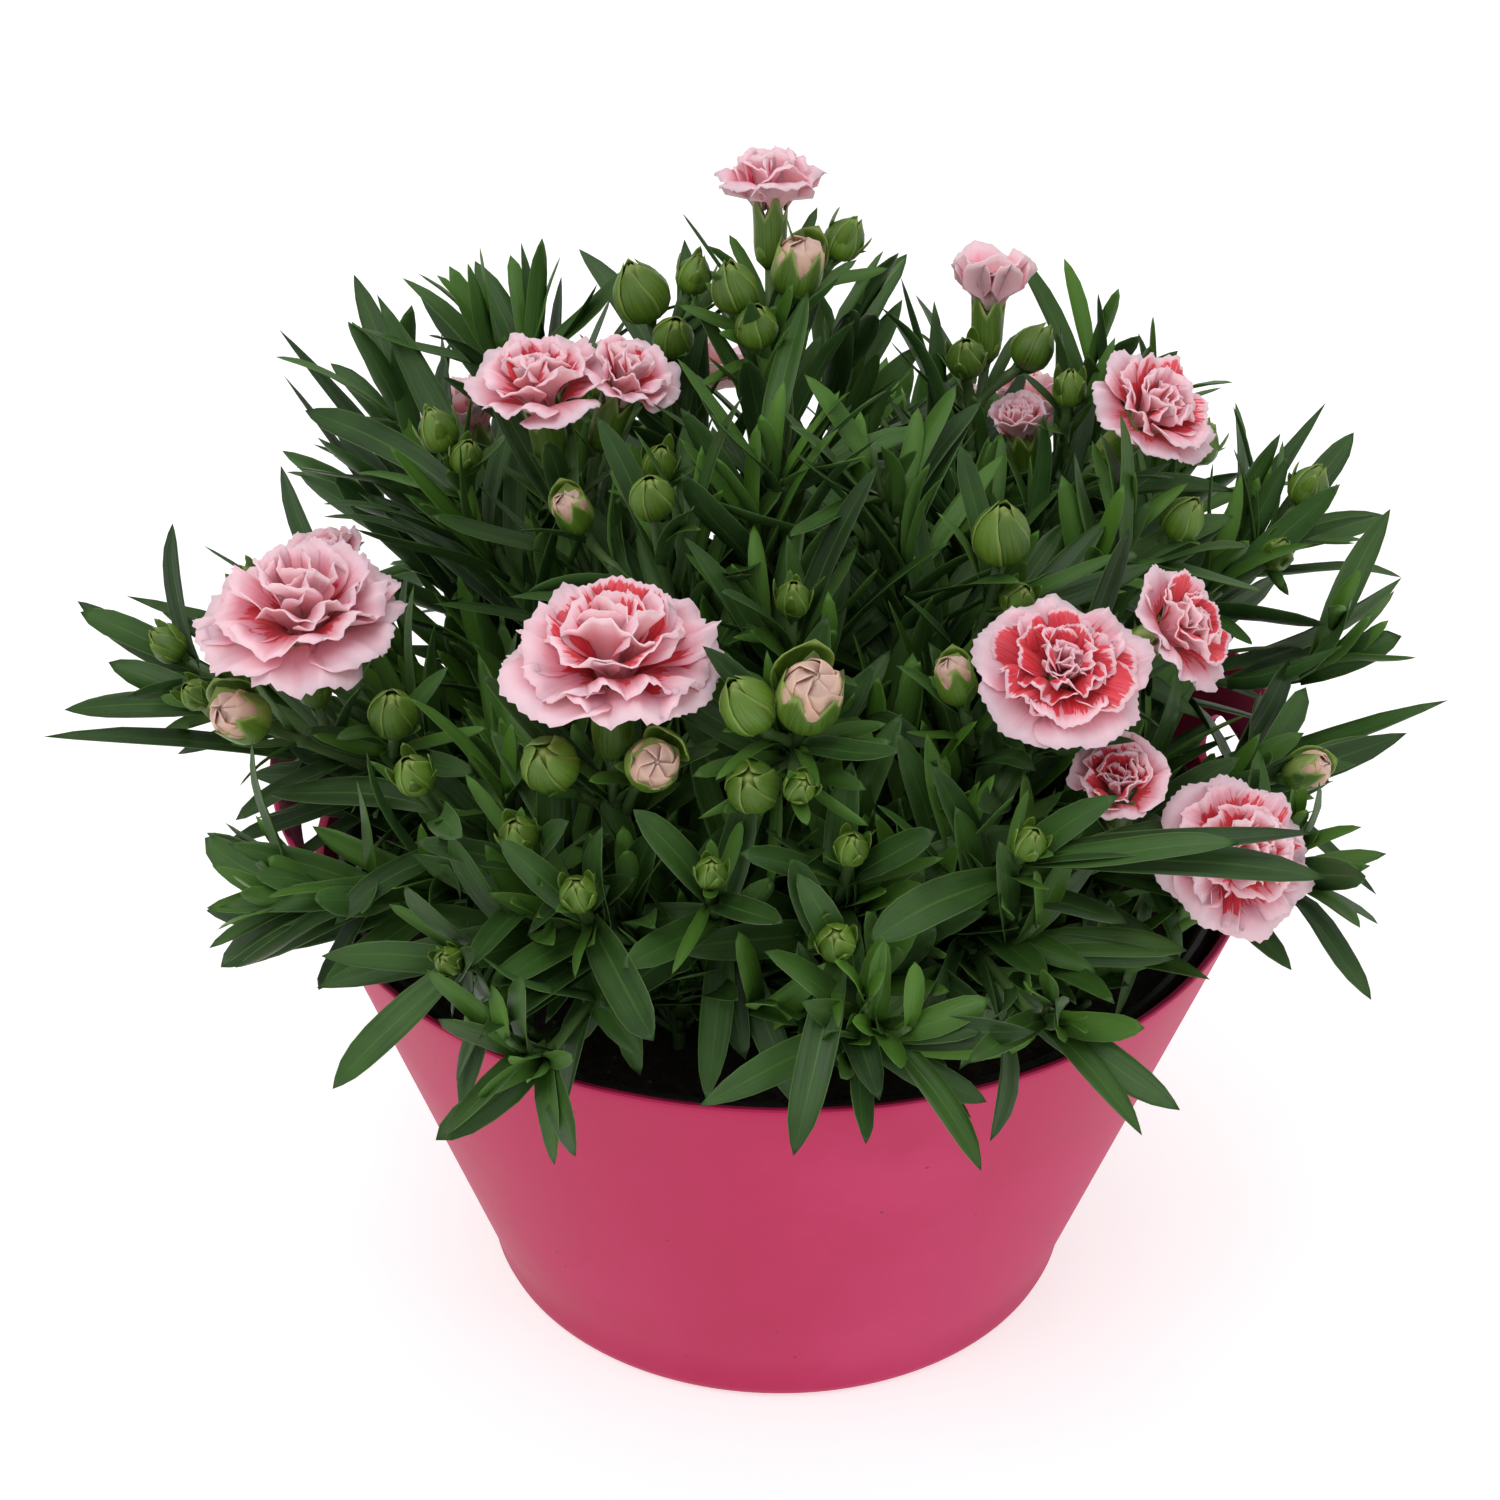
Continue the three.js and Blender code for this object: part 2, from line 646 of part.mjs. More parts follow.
// A cutter for both finger holes: a slot with round ends, run through the two ears along X.
function fingerHoles() {
  const round = (FINGER_HOLE_HIGH - FINGER_HOLE_LOW) / 2;
  const reach = FINGER_HOLE_WIDTH / 2 - round;
  const level = FINGER_HOLE_LOW + round;
  const slot = new THREE.Shape();
  slot.absarc(reach, level, round, -Math.PI / 2, Math.PI / 2);
  slot.absarc(-reach, level, round, Math.PI / 2, (3 * Math.PI) / 2);
  const length = 2 * (RIM_RADIUS + 20);
  const bar = new THREE.ExtrudeGeometry(slot, { depth: length, bevelEnabled: false, curveSegments: 6 });
  bar.applyMatrix4(new THREE.Matrix4().makeBasis(vec(0, 1, 0), vec(0, 0, 1), vec(1, 0, 0)));
  bar.translate(-length / 2, 0, 0);
  return solidFromGeometry(bar);
}

function lathe(profile, steps) {
  const points = profile.map(([radius, height]) => new THREE.Vector2(radius, height));
  const geometry = new THREE.LatheGeometry(points, steps);
  geometry.rotateX(Math.PI / 2);
  return solidFromGeometry(geometry);
}

const LINER_FLOOR = BOWL_FLOOR + SEAT_GAP;
const LINER_SIDE_TOP = LIP_TOP - 7.5;
const LINER_TOP_RADIUS = 103.8;

function linerRadius(height) {
  const rise = (height - LINER_FLOOR) / (LINER_SIDE_TOP - LINER_FLOOR);
  return lerp(LINER_FOOT_RADIUS, LINER_TOP_RADIUS, rise);
}

function growPot() {
  return lathe(
    [
      [0, LINER_FLOOR],
      [LINER_FOOT_RADIUS, LINER_FLOOR],
      [LINER_TOP_RADIUS, LINER_SIDE_TOP],
      [LIP_RADIUS, LIP_TOP - 3],
      [LIP_RADIUS - 1.6, LIP_TOP],
      [LINER_TOP_RADIUS - LINER_WALL, LINER_SIDE_TOP],
      [LINER_FOOT_RADIUS - LINER_WALL, LINER_FLOOR + LINER_WALL],
      [0, LINER_FLOOR + LINER_WALL],
    ],
    LINER_STEPS,
  );
}

function soilBody() {
  const bottom = LINER_FLOOR + LINER_WALL + SEAT_GAP;
  const inset = LINER_WALL + SEAT_GAP + 0.4;
  const edge = linerRadius(SOIL_LEVEL) - inset;
  const body = lathe(
    [
      [0, bottom],
      [linerRadius(bottom) - inset, bottom],
      [edge, SOIL_LEVEL],
      [edge * 0.7, SOIL_LEVEL + SOIL_MOUND * 0.6],
      [0, SOIL_LEVEL + SOIL_MOUND],
    ],
    SOIL_STEPS,
  );
  return PLANTS.reduce((soil, plant) => soil.subtract(stemHole(plant)), body);
}

function footOf(plant) {
  return vec(plant.foot[0], plant.foot[1], SOIL_LEVEL - STEM_DEPTH);
}

// How far a plant is turned about its stem, so that no two plants face alike.
function plantTurn(plant) {
  return 0.37 * plant.foot[0] + 0.23 * plant.foot[1];
}

function stemHole(plant) {
  const base = offset(footOf(plant), [-HOLE_GAP, UP]);
  const radius = STEM_RADIUS + HOLE_GAP / Math.cos(Math.PI / STEM_SIDES);
  const length = STEM_DEPTH + SOIL_MOUND + HOLE_OVERRUN;
  return turned(base, UP, [[0, radius], [length, radius]], STEM_SIDES, plantTurn(plant));
}

// ---------------------------------------------------------------- heads: blooms, buds and their calyxes

function readHead(shoot) {
  const kind = ["bloom", "opening", "bud"].find((name) => shoot[name]);
  if (!kind) {
    return { kind: "leaves", end: vec(...shoot.tip), face: vec(...shoot.lean).normalize() };
  }
  const { at, face, size } = shoot[kind];
  const direction = vec(...face).normalize();
  const centre = vec(...at);
  const scale = kind === "bloom" ? 0.7 + (0.3 * size) / 50 : size;
  const back = kind === "bloom" ? 0.14 * size + CALYX_LENGTH * scale : 0.6 * BUD_STRETCH * size;
  return { kind, ...shoot[kind], face: direction, scale, end: offset(centre, [-back, direction]) };
}

// The rings of a head's green part, outwards from the end of its stalk. A shoot of leaves ends in a point.
function headRings({ kind, end, face, scale }) {
  if (kind === "leaves") {
    return [[offset(end, [2, face])]];
  }
  const length = kind === "bloom" ? scale : BUD_STRETCH * scale;
  const stations = CALYX_PROFILE[kind].map(([distance, radius]) => [distance * length, radius * scale]);
  return turnedRings(end, face, stations, HEAD_SIDES);
}

// The folded petals that show in a bud as it opens.
function openingTip({ end, face, scale }) {
  const length = BUD_STRETCH * scale;
  const base = offset(end, [OPENING_SHARE * length + SEAT_GAP, face]);
  const stations = TIP_PROFILE.map(([distance, radius]) => [distance * length, radius * scale]);
  return turned(base, face, stations, HEAD_SIDES);
}

// One whorl of petals as a shallow cone with a thick hub. Each petal fans out to a toothed edge whose teeth are
// waved up and down, and a deep notch parts it from the next.
function whorlSheet(seat, face, whorl, shrink) {
  const { petals, rise, hub } = whorl;
  const [side, up] = frameOf(face);
  const points = [{ at: seat, half: face.clone().multiplyScalar(hub) }];
  const addPoint = (angle, reach, lift) => {
    const radial = offset(vec(0, 0, 0), [Math.cos(angle), side], [Math.sin(angle), up]);
    const upper = offset(vec(0, 0, 0), [-Math.sin(rise), radial], [Math.cos(rise), face]);
    const along = offset(seat, [reach * Math.cos(rise), radial], [reach * Math.sin(rise), face]);
    const half = upper.clone().multiplyScalar(PETAL_THICKNESS / 2);
    return points.push({ at: offset(along, [lift, upper]), half }) - 1;
  };
  const notches = petals.map(({ middle, spread }) => addPoint(middle - spread, NOTCH_RADIUS, 0));
  const faces = [];
  const rim = [];
  petals.forEach(({ middle, spread, reach, wave, teeth }, i) => {
    const right = notches[i];
    const left = notches[(i + 1) % notches.length];
    faces.push([0, right, left]);
    rim.push(right);
    let before = null;
    for (let j = 0; j < teeth; j += 1) {
      const across = (2 * j) / (teeth - 1) - 1;
      const tooth = (j % 2 ? 0.9 : 1) * (1 - 0.1 * across * across);
      const at = addPoint(middle + 0.9 * spread * across, shrink * reach * tooth, wave * (j % 2 ? 1 : -1));
      rim.push(at);
      if (j > 0) {
        faces.push([2 * j < teeth ? right : left, before, at]);
      }
      if (2 * j < teeth && 2 * (j + 1) >= teeth) {
        faces.push([right, at, left]);
      }
      before = at;
    }
  });
  return sheet(points, faces, rim);
}

// A double bloom: nested whorls of petals, joined at their hubs, on a short neck that stands on the calyx.
function bloomParts(head, seed) {
  const random = seeded(seed);
  const { face, size, open, petals, scale, end } = head;
  const base = offset(end, [CALYX_LENGTH * scale + SEAT_GAP, face]);
  const last = petals.length - 1;
  const teeth = [24, 45].reduce((most, limit) => (size > limit ? most + 1 : most), 3);
  const step = WHORL_STEP * size;
  const neckProfile = [[0, NECK_RADIUS * scale], [0.9 * step, 0.6 * NECK_RADIUS * scale]];
  const neck = turned(base, face, neckProfile, HEAD_SIDES);
  const whorls = petals.map((count, level) => {
    const inward = level / (last + 0.4);
    const rise = radians(lerp(lerp(58, -4, open), 66, inward));
    const turn = random() * Math.PI;
    const spread = Math.PI / count;
    const blades = [];
    for (let i = 0; i < count; i += 1) {
      blades.push({
        middle: turn + 2 * spread * i,
        spread,
        reach: (size / 2) * (1 - 0.5 * inward) * (0.92 + 0.16 * random()),
        wave: 0.04 * size * (0.6 + 0.6 * random()),
        teeth,
      });
    }
    const seat = offset(base, [(level + 0.9) * step, face]);
    return (shrink) => whorlSheet(seat, face, { petals: blades, rise, hub: 0.75 * step }, shrink);
  });
  return { neck, whorls };
}

// ---------------------------------------------------------------- shoots

// The curve of a shoot: upright where it starts, and turned to the head's direction where it ends.
function shootCurve(start, heading, head, sway) {
  const reach = start.distanceTo(head.end);
  return new THREE.CubicBezierCurve3(
    start,
    offset(start, [0.42 * reach, heading], [1, sway]),
    offset(head.end, [-0.34 * reach, head.face], [0.6, sway]),
    head.end,
  );
}

// The n-th way to bend a shoot: each a little further out, on another side.
function swayOf(n) {
  const angle = n * 2.4;
  const size = 3.2 * Math.sqrt(n);
  return vec(size * Math.cos(angle), size * Math.sin(angle), 0);
}

// The places of a shoot's leaf pairs, as fractions of its curve.
function pairPlaces({ from, pairs = 0 }) {
  const [first, last] = from ? [0.32, 0.92] : [0.14, 0.86];
  return Array.from({ length: pairs }, (_, i) => lerp(first, last, pairs > 1 ? i / (pairs - 1) : 1));
}

// The rings of a stem along a curve: one at the foot, if it stands in the soil, two round each node, where a pair
// of leaves grows out of the facets between them, and one wherever the curve would bend too far in one step.
function stemRings(curve, radii, shoot, turn, foot) {
  const half = NODE_HALF_HEIGHT / curve.getLength();
  const places = pairPlaces(shoot);
  const sides = foot || places.length ? STEM_SIDES : TWIG_SIDES;
  const stations = places.flatMap((t) => [[t - half, NODE_SWELLING], [t + half, NODE_SWELLING]]);
  const spaced = [[0, 1]];
  [...stations, [1, 1]].forEach(([t, swelling]) => {
    const [before] = spaced.at(-1);
    if (t - before > STEM_LONGEST_STEP) {
      spaced.push([(t + before) / 2, 1]);
    }
    spaced.push([t, swelling]);
  });
  const rings = foot ? [ringAt(foot, UP, radii[0], sides, turn)] : [];
  const nodeRows = [];
  spaced.forEach(([t, swelling]) => {
    if (places.some((place) => place - half === t)) {
      nodeRows.push(rings.length);
    }
    const radius = swelling * lerp(radii[0], radii[1], t);
    rings.push(ringAt(curve.getPoint(t), curve.getTangent(t), radius, sides, turn));
  });
  return { curve, rings, nodeRows };
}

// ---------------------------------------------------------------- leaves

// The middle line of a leaf is an arc from its root to its tip, bulging towards `upper`. Its rings run round a
// flat upper face and a keel below.
function leafRings(leaf, tip, grow) {
  const { root, axis, bulge, width, roll } = leaf;
  const chord = tip.clone().sub(root);
  const length = chord.length();
  const upper = square(axis, chord.clone().normalize());
  const middle = offset(root.clone().lerp(tip, 0.5), [bulge * length, upper]);
  const curve = new THREE.QuadraticBezierCurve3(root, middle, tip);
  const across = upper.clone().cross(chord).normalize();
  const blade = length < YOUNG_LENGTH ? YOUNG_BLADE : FULL_BLADE;
  const rings = blade.map(({ place, outline, keel }) => {
    const at = curve.getPoint(place);
    const along = curve.getTangent(place);
    const side = across.clone().applyAxisAngle(along, roll * place);
    const up = along.clone().cross(side);
    const half = (outline * width) / 2 + grow;
    const depth = keel * Math.min(1, width / KEEL_FULL_WIDTH) + grow;
    return [
      offset(at, [half, side], [grow, up]),
      offset(at, [-half, side], [grow, up]),
      offset(at, [-depth, up]),
    ];
  });
  return [...rings, [offset(tip, [grow, curve.getTangent(1)])]];
}

// A leaf by itself, closed by the facet that it grows from.
function leafSolid(facet, rings) {
  const points = [];
  const add = (ring) => ring.map((point) => points.push(point) - 1);
  const [a, b, c, d] = add(facet);
  return solidFrom(points, [...leafFaces([a, b, c, d], rings.map(add)), [c, b, a], [c, a, d]]);
}

// The n-th place for a leaf's tip: swung round the shoot, lifted or lowered, then shortened.
function leafTip(leaf, n) {
  const { root, axis, out, length, splay } = leaf;
  const turn = zigzag(n % 5) * radians(9);
  const lift = zigzag(Math.floor(n / 5) % 3) * radians(12);
  const size = 1 - 0.14 * Math.floor(n / 15);
  const swung = out.clone().applyAxisAngle(axis, turn);
  const angle = splay + lift;
  return offset(root, [length * size * Math.cos(angle), axis], [length * size * Math.sin(angle), swung]);
}

// Every leaf of a shoot, before it is bent clear of its neighbours. Two leaves face each other at each node, and
// each pair stands square to the last.
function leavesOf(shoot, stem, seed) {
  const random = seeded(seed);
  const leaves = [];
  const places = pairPlaces(shoot);
  places.forEach((t, i) => {
    const level = places.length > 1 ? i / (places.length - 1) : 1;
    const axis = stem.curve.getTangent(t);
    const youth = 1 - LEAF_SHORTENING * level * level;
    const row = stem.nodeRows[i];
    for (let half = 0; half < 2; half += 1) {
      const j = (i % 2) + 2 * half;
      const k = (j + 1) % STEM_SIDES;
      const [low, high] = [stem.rings[row], stem.rings[row + 1]];
      const facet = [low[j], low[k], high[k], high[j]];
      const root = offset(vec(0, 0, 0), ...facet.map((corner) => [0.25, corner]));
      const facing = square(root.clone().sub(stem.curve.getPoint(t)), axis);
      leaves.push({
        key: facetKey(row, j),
        facet,
        root,
        axis,
        out: facing.applyAxisAngle(axis, 0.4 * (random() - 0.5)),
        length: shoot.leaf[0] * youth * (0.85 + 0.3 * random()),
        width: shoot.leaf[1] * youth * (0.85 + 0.25 * random()),
        splay: radians(lerp(...LEAF_SPLAY, level) + 24 * (random() - 0.5)),
        bulge: 0.06 + 0.12 * random(),
        roll: 0.9 * (random() - 0.5),
      });
    }
  });
  (shoot.aim ?? []).forEach((aim) => turnTowards(leaves, aim));
  return leaves;
}

// Points one of the leaves that still stand free, the one that faces the aim best, at it.
function turnTowards(leaves, [x, y, z, width]) {
  const aim = vec(x, y, z);
  const offLine = ({ root, out }) => out.angleTo(aim.clone().sub(root));
  const free = leaves.filter((leaf) => !leaf.isAimed);
  const leaf = free.reduce((best, other) => (offLine(other) < offLine(best) ? other : best));
  const chord = aim.clone().sub(leaf.root);
  leaf.isAimed = true;
  leaf.out = square(chord, leaf.axis);
  leaf.length = chord.length();
  leaf.width = width;
  leaf.splay = chord.angleTo(leaf.axis);
}

// ---------------------------------------------------------------- keeping the nodes clear of each other

const placed = [];

function boxesMeet(a, b) {
  for (let i = 0; i < 3; i += 1) {
    if (a.min[i] > b.max[i] || b.min[i] > a.max[i]) {
      return false;
    }
  }
  return true;
}

function meetsAny(solid, others) {
  const box = solid.boundingBox();
  return others.some((other) => boxesMeet(box, other.box) && solid.intersect(other.solid).volume() > 1e-4);
}

function isClear(solid, node) {
  return !meetsAny(solid, placed.filter((other) => other.node !== node));
}

function place(node, solid) {
  placed.push({ node, solid, box: solid.boundingBox() });
  return solid;
}

// The first of some tries whose solid, grown by the clearance, meets no other node; null if none does.
function firstClear(node, tries, grown) {
  for (let n = 0; n < tries; n += 1) {
    if (isClear(grown(n), node)) {
      return n;
    }
  }
  return null;
}

// ---------------------------------------------------------------- putting it together

const nodes = new Map();

function addSolid(name, colour, solid) {
  const node = nodes.get(name) ?? { colour, solids: [] };
  node.solids.push(solid);
  nodes.set(name, node);
}

// A head's own parts. They keep their places, and all else bends round them.
function placeHead({ plant, index, head, seed, stemName }) {
  if (head.kind === "leaves") {
    return;
  }
  place(stemName, loft(headRings(head)));
  if (head.kind === "opening") {
    const name = "tip_" + plant.name + "_" + (index + 1);
    addSolid(name, COLOURS.cream, place(name, openingTip(head)));
  }
  if (head.kind === "bloom") {
    const name = "bloom_" + plant.name;
    const { neck, whorls } = bloomParts(head, seed);
    addSolid(name, COLOURS.petal, place(name, neck));
    whorls.forEach((whorl) => {
      const n = firstClear(name, WHORL_TRIES, (k) => whorl(1 - 0.08 * k)) ?? WHORL_TRIES;
      addSolid(name, COLOURS.petal, place(name, whorl(1 - 0.08 * n)));
    });
  }
}

// A plant's first shoot stands in the soil, and its other shoots branch off that one. Each is bent where it would
// cross a neighbour.
function growStem(entry, main) {
  const { plant, shoot, head, stemName } = entry;
  const foot = main ? null : footOf(plant);
  const start = main ? main.getPoint(shoot.from) : offset(foot, [STEM_DEPTH + SOIL_MOUND, UP]);
  const heading = main ? main.getTangent(shoot.from).lerp(head.face, 0.5).normalize() : UP;
  const radii = main ? [TWIG_RADIUS, TWIG_RADIUS] : [STEM_RADIUS, STEM_TOP_RADIUS];
  const turn = plantTurn(plant) + (main ? shoot.from : 0);
  const stemOf = (n, grow) => {
    const curve = shootCurve(start, heading, head, swayOf(n));
    return stemRings(curve, radii.map((radius) => radius + grow), shoot, turn, foot);
  };
  const n = firstClear(stemName, STEM_TRIES, (k) => loft(stemOf(k, CLEARANCE).rings.slice(foot ? 1 : 0))) ?? 0;
  const stem = stemOf(n, 0);
  stem.rings.push(...headRings(head));
  place(stemName, loft(stem.rings));
  return stem;
}

// The rings of a leaf in the first place where it meets nothing, or null.
function growLeaf(leaf, stemName) {
  const own = placed.filter((other) => other.node === stemName);
  for (let n = 0; n < LEAF_TRIES; n += 1) {
    const tip = leafTip(leaf, n);
    const grown = leafRings(leaf, tip, CLEARANCE);
    if (!meetsAny(loft(grown), own) && isClear(leafSolid(leaf.facet, grown), stemName)) {
      const rings = leafRings(leaf, tip, 0);
      place(stemName, leafSolid(leaf.facet, rings));
      return rings;
    }
  }
  return null;
}

// Room for fingers in and on both sides of an ear's hole.
function fingerRoom(sign) {
  const size = [FINGER_REACH, FINGER_HOLE_WIDTH, FINGER_HOLE_HIGH - FINGER_HOLE_LOW];
  const middle = [sign * (RIM_RADIUS + FINGER_REACH / 4), 0, (FINGER_HOLE_LOW + FINGER_HOLE_HIGH) / 2];
  return wasm.Manifold.cube(size, true).translate(middle);
}

const pots = [
  ["bowl", COLOURS.bowl, bowlShell().subtract(fingerHoles())],
  ["grow_pot", COLOURS.liner, growPot()],
  ["soil", COLOURS.soil, soilBody()],
];
pots.forEach(([name, colour, solid]) => addSolid(name, colour, place(name, solid)));
[-1, 1].forEach((sign) => place("finger room", fingerRoom(sign)));

const entries = PLANTS.flatMap((plant, p) =>
  plant.shoots.map((shoot, index) => {
    const seed = 101 * (p + 1) + 7 * index;
    return { plant, shoot, index, seed, head: readHead(shoot), stemName: "stem_" + plant.name };
  }),
);
entries.forEach(placeHead);

const mainCurves = new Map();
entries.forEach((entry) => {
  entry.stem = growStem(entry, mainCurves.get(entry.plant));
  if (entry.index === 0) {
    mainCurves.set(entry.plant, entry.stem.curve);
  }
  entry.leaves = leavesOf(entry.shoot, entry.stem, entry.seed + 3);
});

// The leaves come last: first the ones that are aimed, then one of every shoot in turn from the lowest up.
const mostLeaves = Math.max(...entries.map(({ leaves }) => leaves.length));
const inTurn = Array.from({ length: mostLeaves }, (_, i) => i).flatMap((i) =>
  entries.filter(({ leaves }) => leaves[i]).map(({ leaves, stemName }) => ({ leaf: leaves[i], stemName })),
);
const isAimed = ({ leaf }) => leaf.isAimed;
[...inTurn.filter(isAimed), ...inTurn.filter((entry) => !isAimed(entry))].forEach(({ leaf, stemName }) => {
  leaf.rings = growLeaf(leaf, stemName);
});
entries.forEach(({ stem, leaves, stemName }) => {
  const grown = leaves.filter(({ rings }) => rings).map(({ key, rings }) => [key, rings]);
  addSolid(stemName, COLOURS.leaf, loft(stem.rings, new Map(grown)));
});

// A node's solids as one body. A hollow that the joining seals is filled, and a loose scrap is dropped.
function fuse(solids) {
  const bodies = wasm.Manifold.union(solids).decompose();
  return bodies.reduce((largest, body) => (body.volume() > largest.volume() ? body : largest));
}

const root = new THREE.Group();
nodes.forEach(({ colour, solids }, name) => {
  const geometry = geometryFromSolid(fuse(solids));
  const material = new THREE.MeshStandardMaterial({ color: colour, roughness: 0.6, metalness: 0 });
  const mesh = new THREE.Mesh(geometry, material);
  mesh.name = name;
  root.add(mesh);
});

export default root;
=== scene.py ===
"""A double pot dianthus in a black grow pot, standing in a raspberry pink bowl with two ears.

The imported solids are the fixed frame. Each of them is replaced here by a finer piece that keeps its form.
The stems, leaves and heads are laid out by the same seeded rules as the solids, and finer blades, petals and
buds are modelled once and bent into every place. Lengths are in millimetres until a mesh is made in metres.
"""

import logging
import math
from collections.abc import Callable, Iterable, Sequence
from dataclasses import dataclass, field
from enum import Enum

import bpy
import numpy as np
from mathutils import Matrix, Vector, noise


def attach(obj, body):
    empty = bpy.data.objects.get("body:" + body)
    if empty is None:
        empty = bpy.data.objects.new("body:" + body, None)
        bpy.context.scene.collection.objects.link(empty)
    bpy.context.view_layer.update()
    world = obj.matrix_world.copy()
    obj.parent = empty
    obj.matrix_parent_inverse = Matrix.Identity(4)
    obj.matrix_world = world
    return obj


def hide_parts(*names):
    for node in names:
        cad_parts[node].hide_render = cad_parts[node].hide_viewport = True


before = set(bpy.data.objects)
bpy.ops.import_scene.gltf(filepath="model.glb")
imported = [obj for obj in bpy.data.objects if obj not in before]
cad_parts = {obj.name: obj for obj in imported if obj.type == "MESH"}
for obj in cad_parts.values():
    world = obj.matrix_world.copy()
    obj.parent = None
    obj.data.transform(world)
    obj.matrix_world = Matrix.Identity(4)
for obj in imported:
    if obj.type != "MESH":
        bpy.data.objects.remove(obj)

log = logging.getLogger("dianthus")

Array = np.ndarray
Triple = tuple[float, float, float]

MM = 0.001
UP = np.array([0.0, 0.0, 1.0])

# --------------------------------------------------------------------------------------- small helpers


def unit(vector: Array) -> Array:
    """Return the vector, or each row of vectors, at length 1."""
    return vector / np.linalg.norm(vector, axis=-1, keepdims=True)


def square(vector: Array, axis: Array) -> Array:
    """Return the part of a vector that is square to a unit axis, at length 1."""
    return unit(vector - np.sum(vector * axis, axis=-1, keepdims=True) * axis)


def frame_of(direction: Array) -> tuple[Array, Array]:
    """Return two unit vectors square to a direction, side and up, with side x up = direction."""
    side = square(np.array([1.0, 0.0, 0.0]), direction)
    return side, np.cross(direction, side)


def outward(face: Array, angle: float) -> Array:
    """Return the unit vector square to a direction, at an angle round it."""
    side, up = frame_of(face)
    return math.cos(angle) * side + math.sin(angle) * up


def round_axis(base: Array, face: Array, along: Array, radius: Array, angle: Array) -> Array:
    """Place points round an axis.

    Args:
        base: Where the axis starts.
        face: Its direction.
        along: How far along it each point lies.
        radius: How far from it each point lies.
        angle: The angle of each point round it.

    Returns:
        The points.
    """
    side, up = frame_of(face)
    return (base + along[:, None] * face + (radius * np.cos(angle))[:, None] * side
            + (radius * np.sin(angle))[:, None] * up)


def swung(vector: Array, axis: Array, angle: float | Array) -> Array:
    """Turn vectors about unit axes.

    Args:
        vector: One vector or one for each row.
        axis: The unit axis, or one for each row.
        angle: Radians, or one value for each row.

    Returns:
        The turned vectors.
    """
    angle = np.asarray(angle)[..., None]
    across = np.cross(axis, vector)
    along = np.sum(axis * vector, axis=-1, keepdims=True)
    return vector * np.cos(angle) + across * np.sin(angle) + axis * along * (1 - np.cos(angle))


def lerp(low: float, high: float, share: float | Array) -> float | Array:
    """Return the value at a share of the way from low to high."""
    return low + (high - low) * share


def smooth(low: float, high: float, value: float | Array) -> float | Array:
    """Return 0 below low, 1 above high and an S-shaped step between them."""
    share = np.clip((value - low) / (high - low), 0.0, 1.0)
    return share * share * (3 - 2 * share)


def zigzag(n: int) -> float:
    """Return 0, 1, -1, 2, -2, ... for n = 0, 1, 2, 3, 4, ..."""
    return (n + 1) / 2 if n % 2 else -n / 2


class Stream:
    """A repeatable stream of numbers from 0 to 1, the same as the one that laid out the solids."""

    MASK = 0xFFFFFFFF

    def __init__(self, seed: int) -> None:
        """Start the stream at a seed."""
        self.state = seed

    def __call__(self) -> float:
        """Return the next number."""
        self.state = (self.state + 0x6D2B79F5) & self.MASK
        t = ((self.state ^ (self.state >> 15)) * (1 | self.state)) & self.MASK
        t = ((t + (((t ^ (t >> 7)) * (61 | t)) & self.MASK)) ^ t) & self.MASK
        return ((t ^ (t >> 14)) & self.MASK) / 4294967296

    def between(self, low: float, high: float) -> float:
        """Return the next number, spread from low to high."""
        return low + (high - low) * self()


@dataclass(frozen=True)
class Bend:
    """A Bezier curve through space, of any degree."""

    points: tuple[Array, ...]

    def at(self, t: float | Array) -> Array:
        """Return the point, or a row of points, at the shares t of the curve."""
        share = np.asarray(t, float)[..., None]
        row = [np.broadcast_to(p, share.shape[:-1] + (3,)) for p in self.points]
        while len(row) > 1:
            row = [a * (1 - share) + b * share for a, b in zip(row, row[1:])]
        return row[0]

    def tangent(self, t: float | Array) -> Array:
        """Return the unit direction at the shares t of the curve."""
        degree = len(self.points) - 1
        steps = tuple(degree * (b - a) for a, b in zip(self.points, self.points[1:]))
        return unit(Bend(steps).at(t))

    def length(self) -> float:
        """Return the curve's length."""
        way = self.at(np.linspace(0, 1, 201))
        return float(np.linalg.norm(np.diff(way, axis=0), axis=1).sum())


# ------------------------------------------------------------------------------------------ the layout


class HeadKind(Enum):
    """What a shoot ends in."""

    BLOOM = "bloom"
    OPENING = "opening"
    BUD = "bud"
    LEAVES = "leaves"


CALYX_LENGTH = 18.0
BUD_STRETCH = 1.25


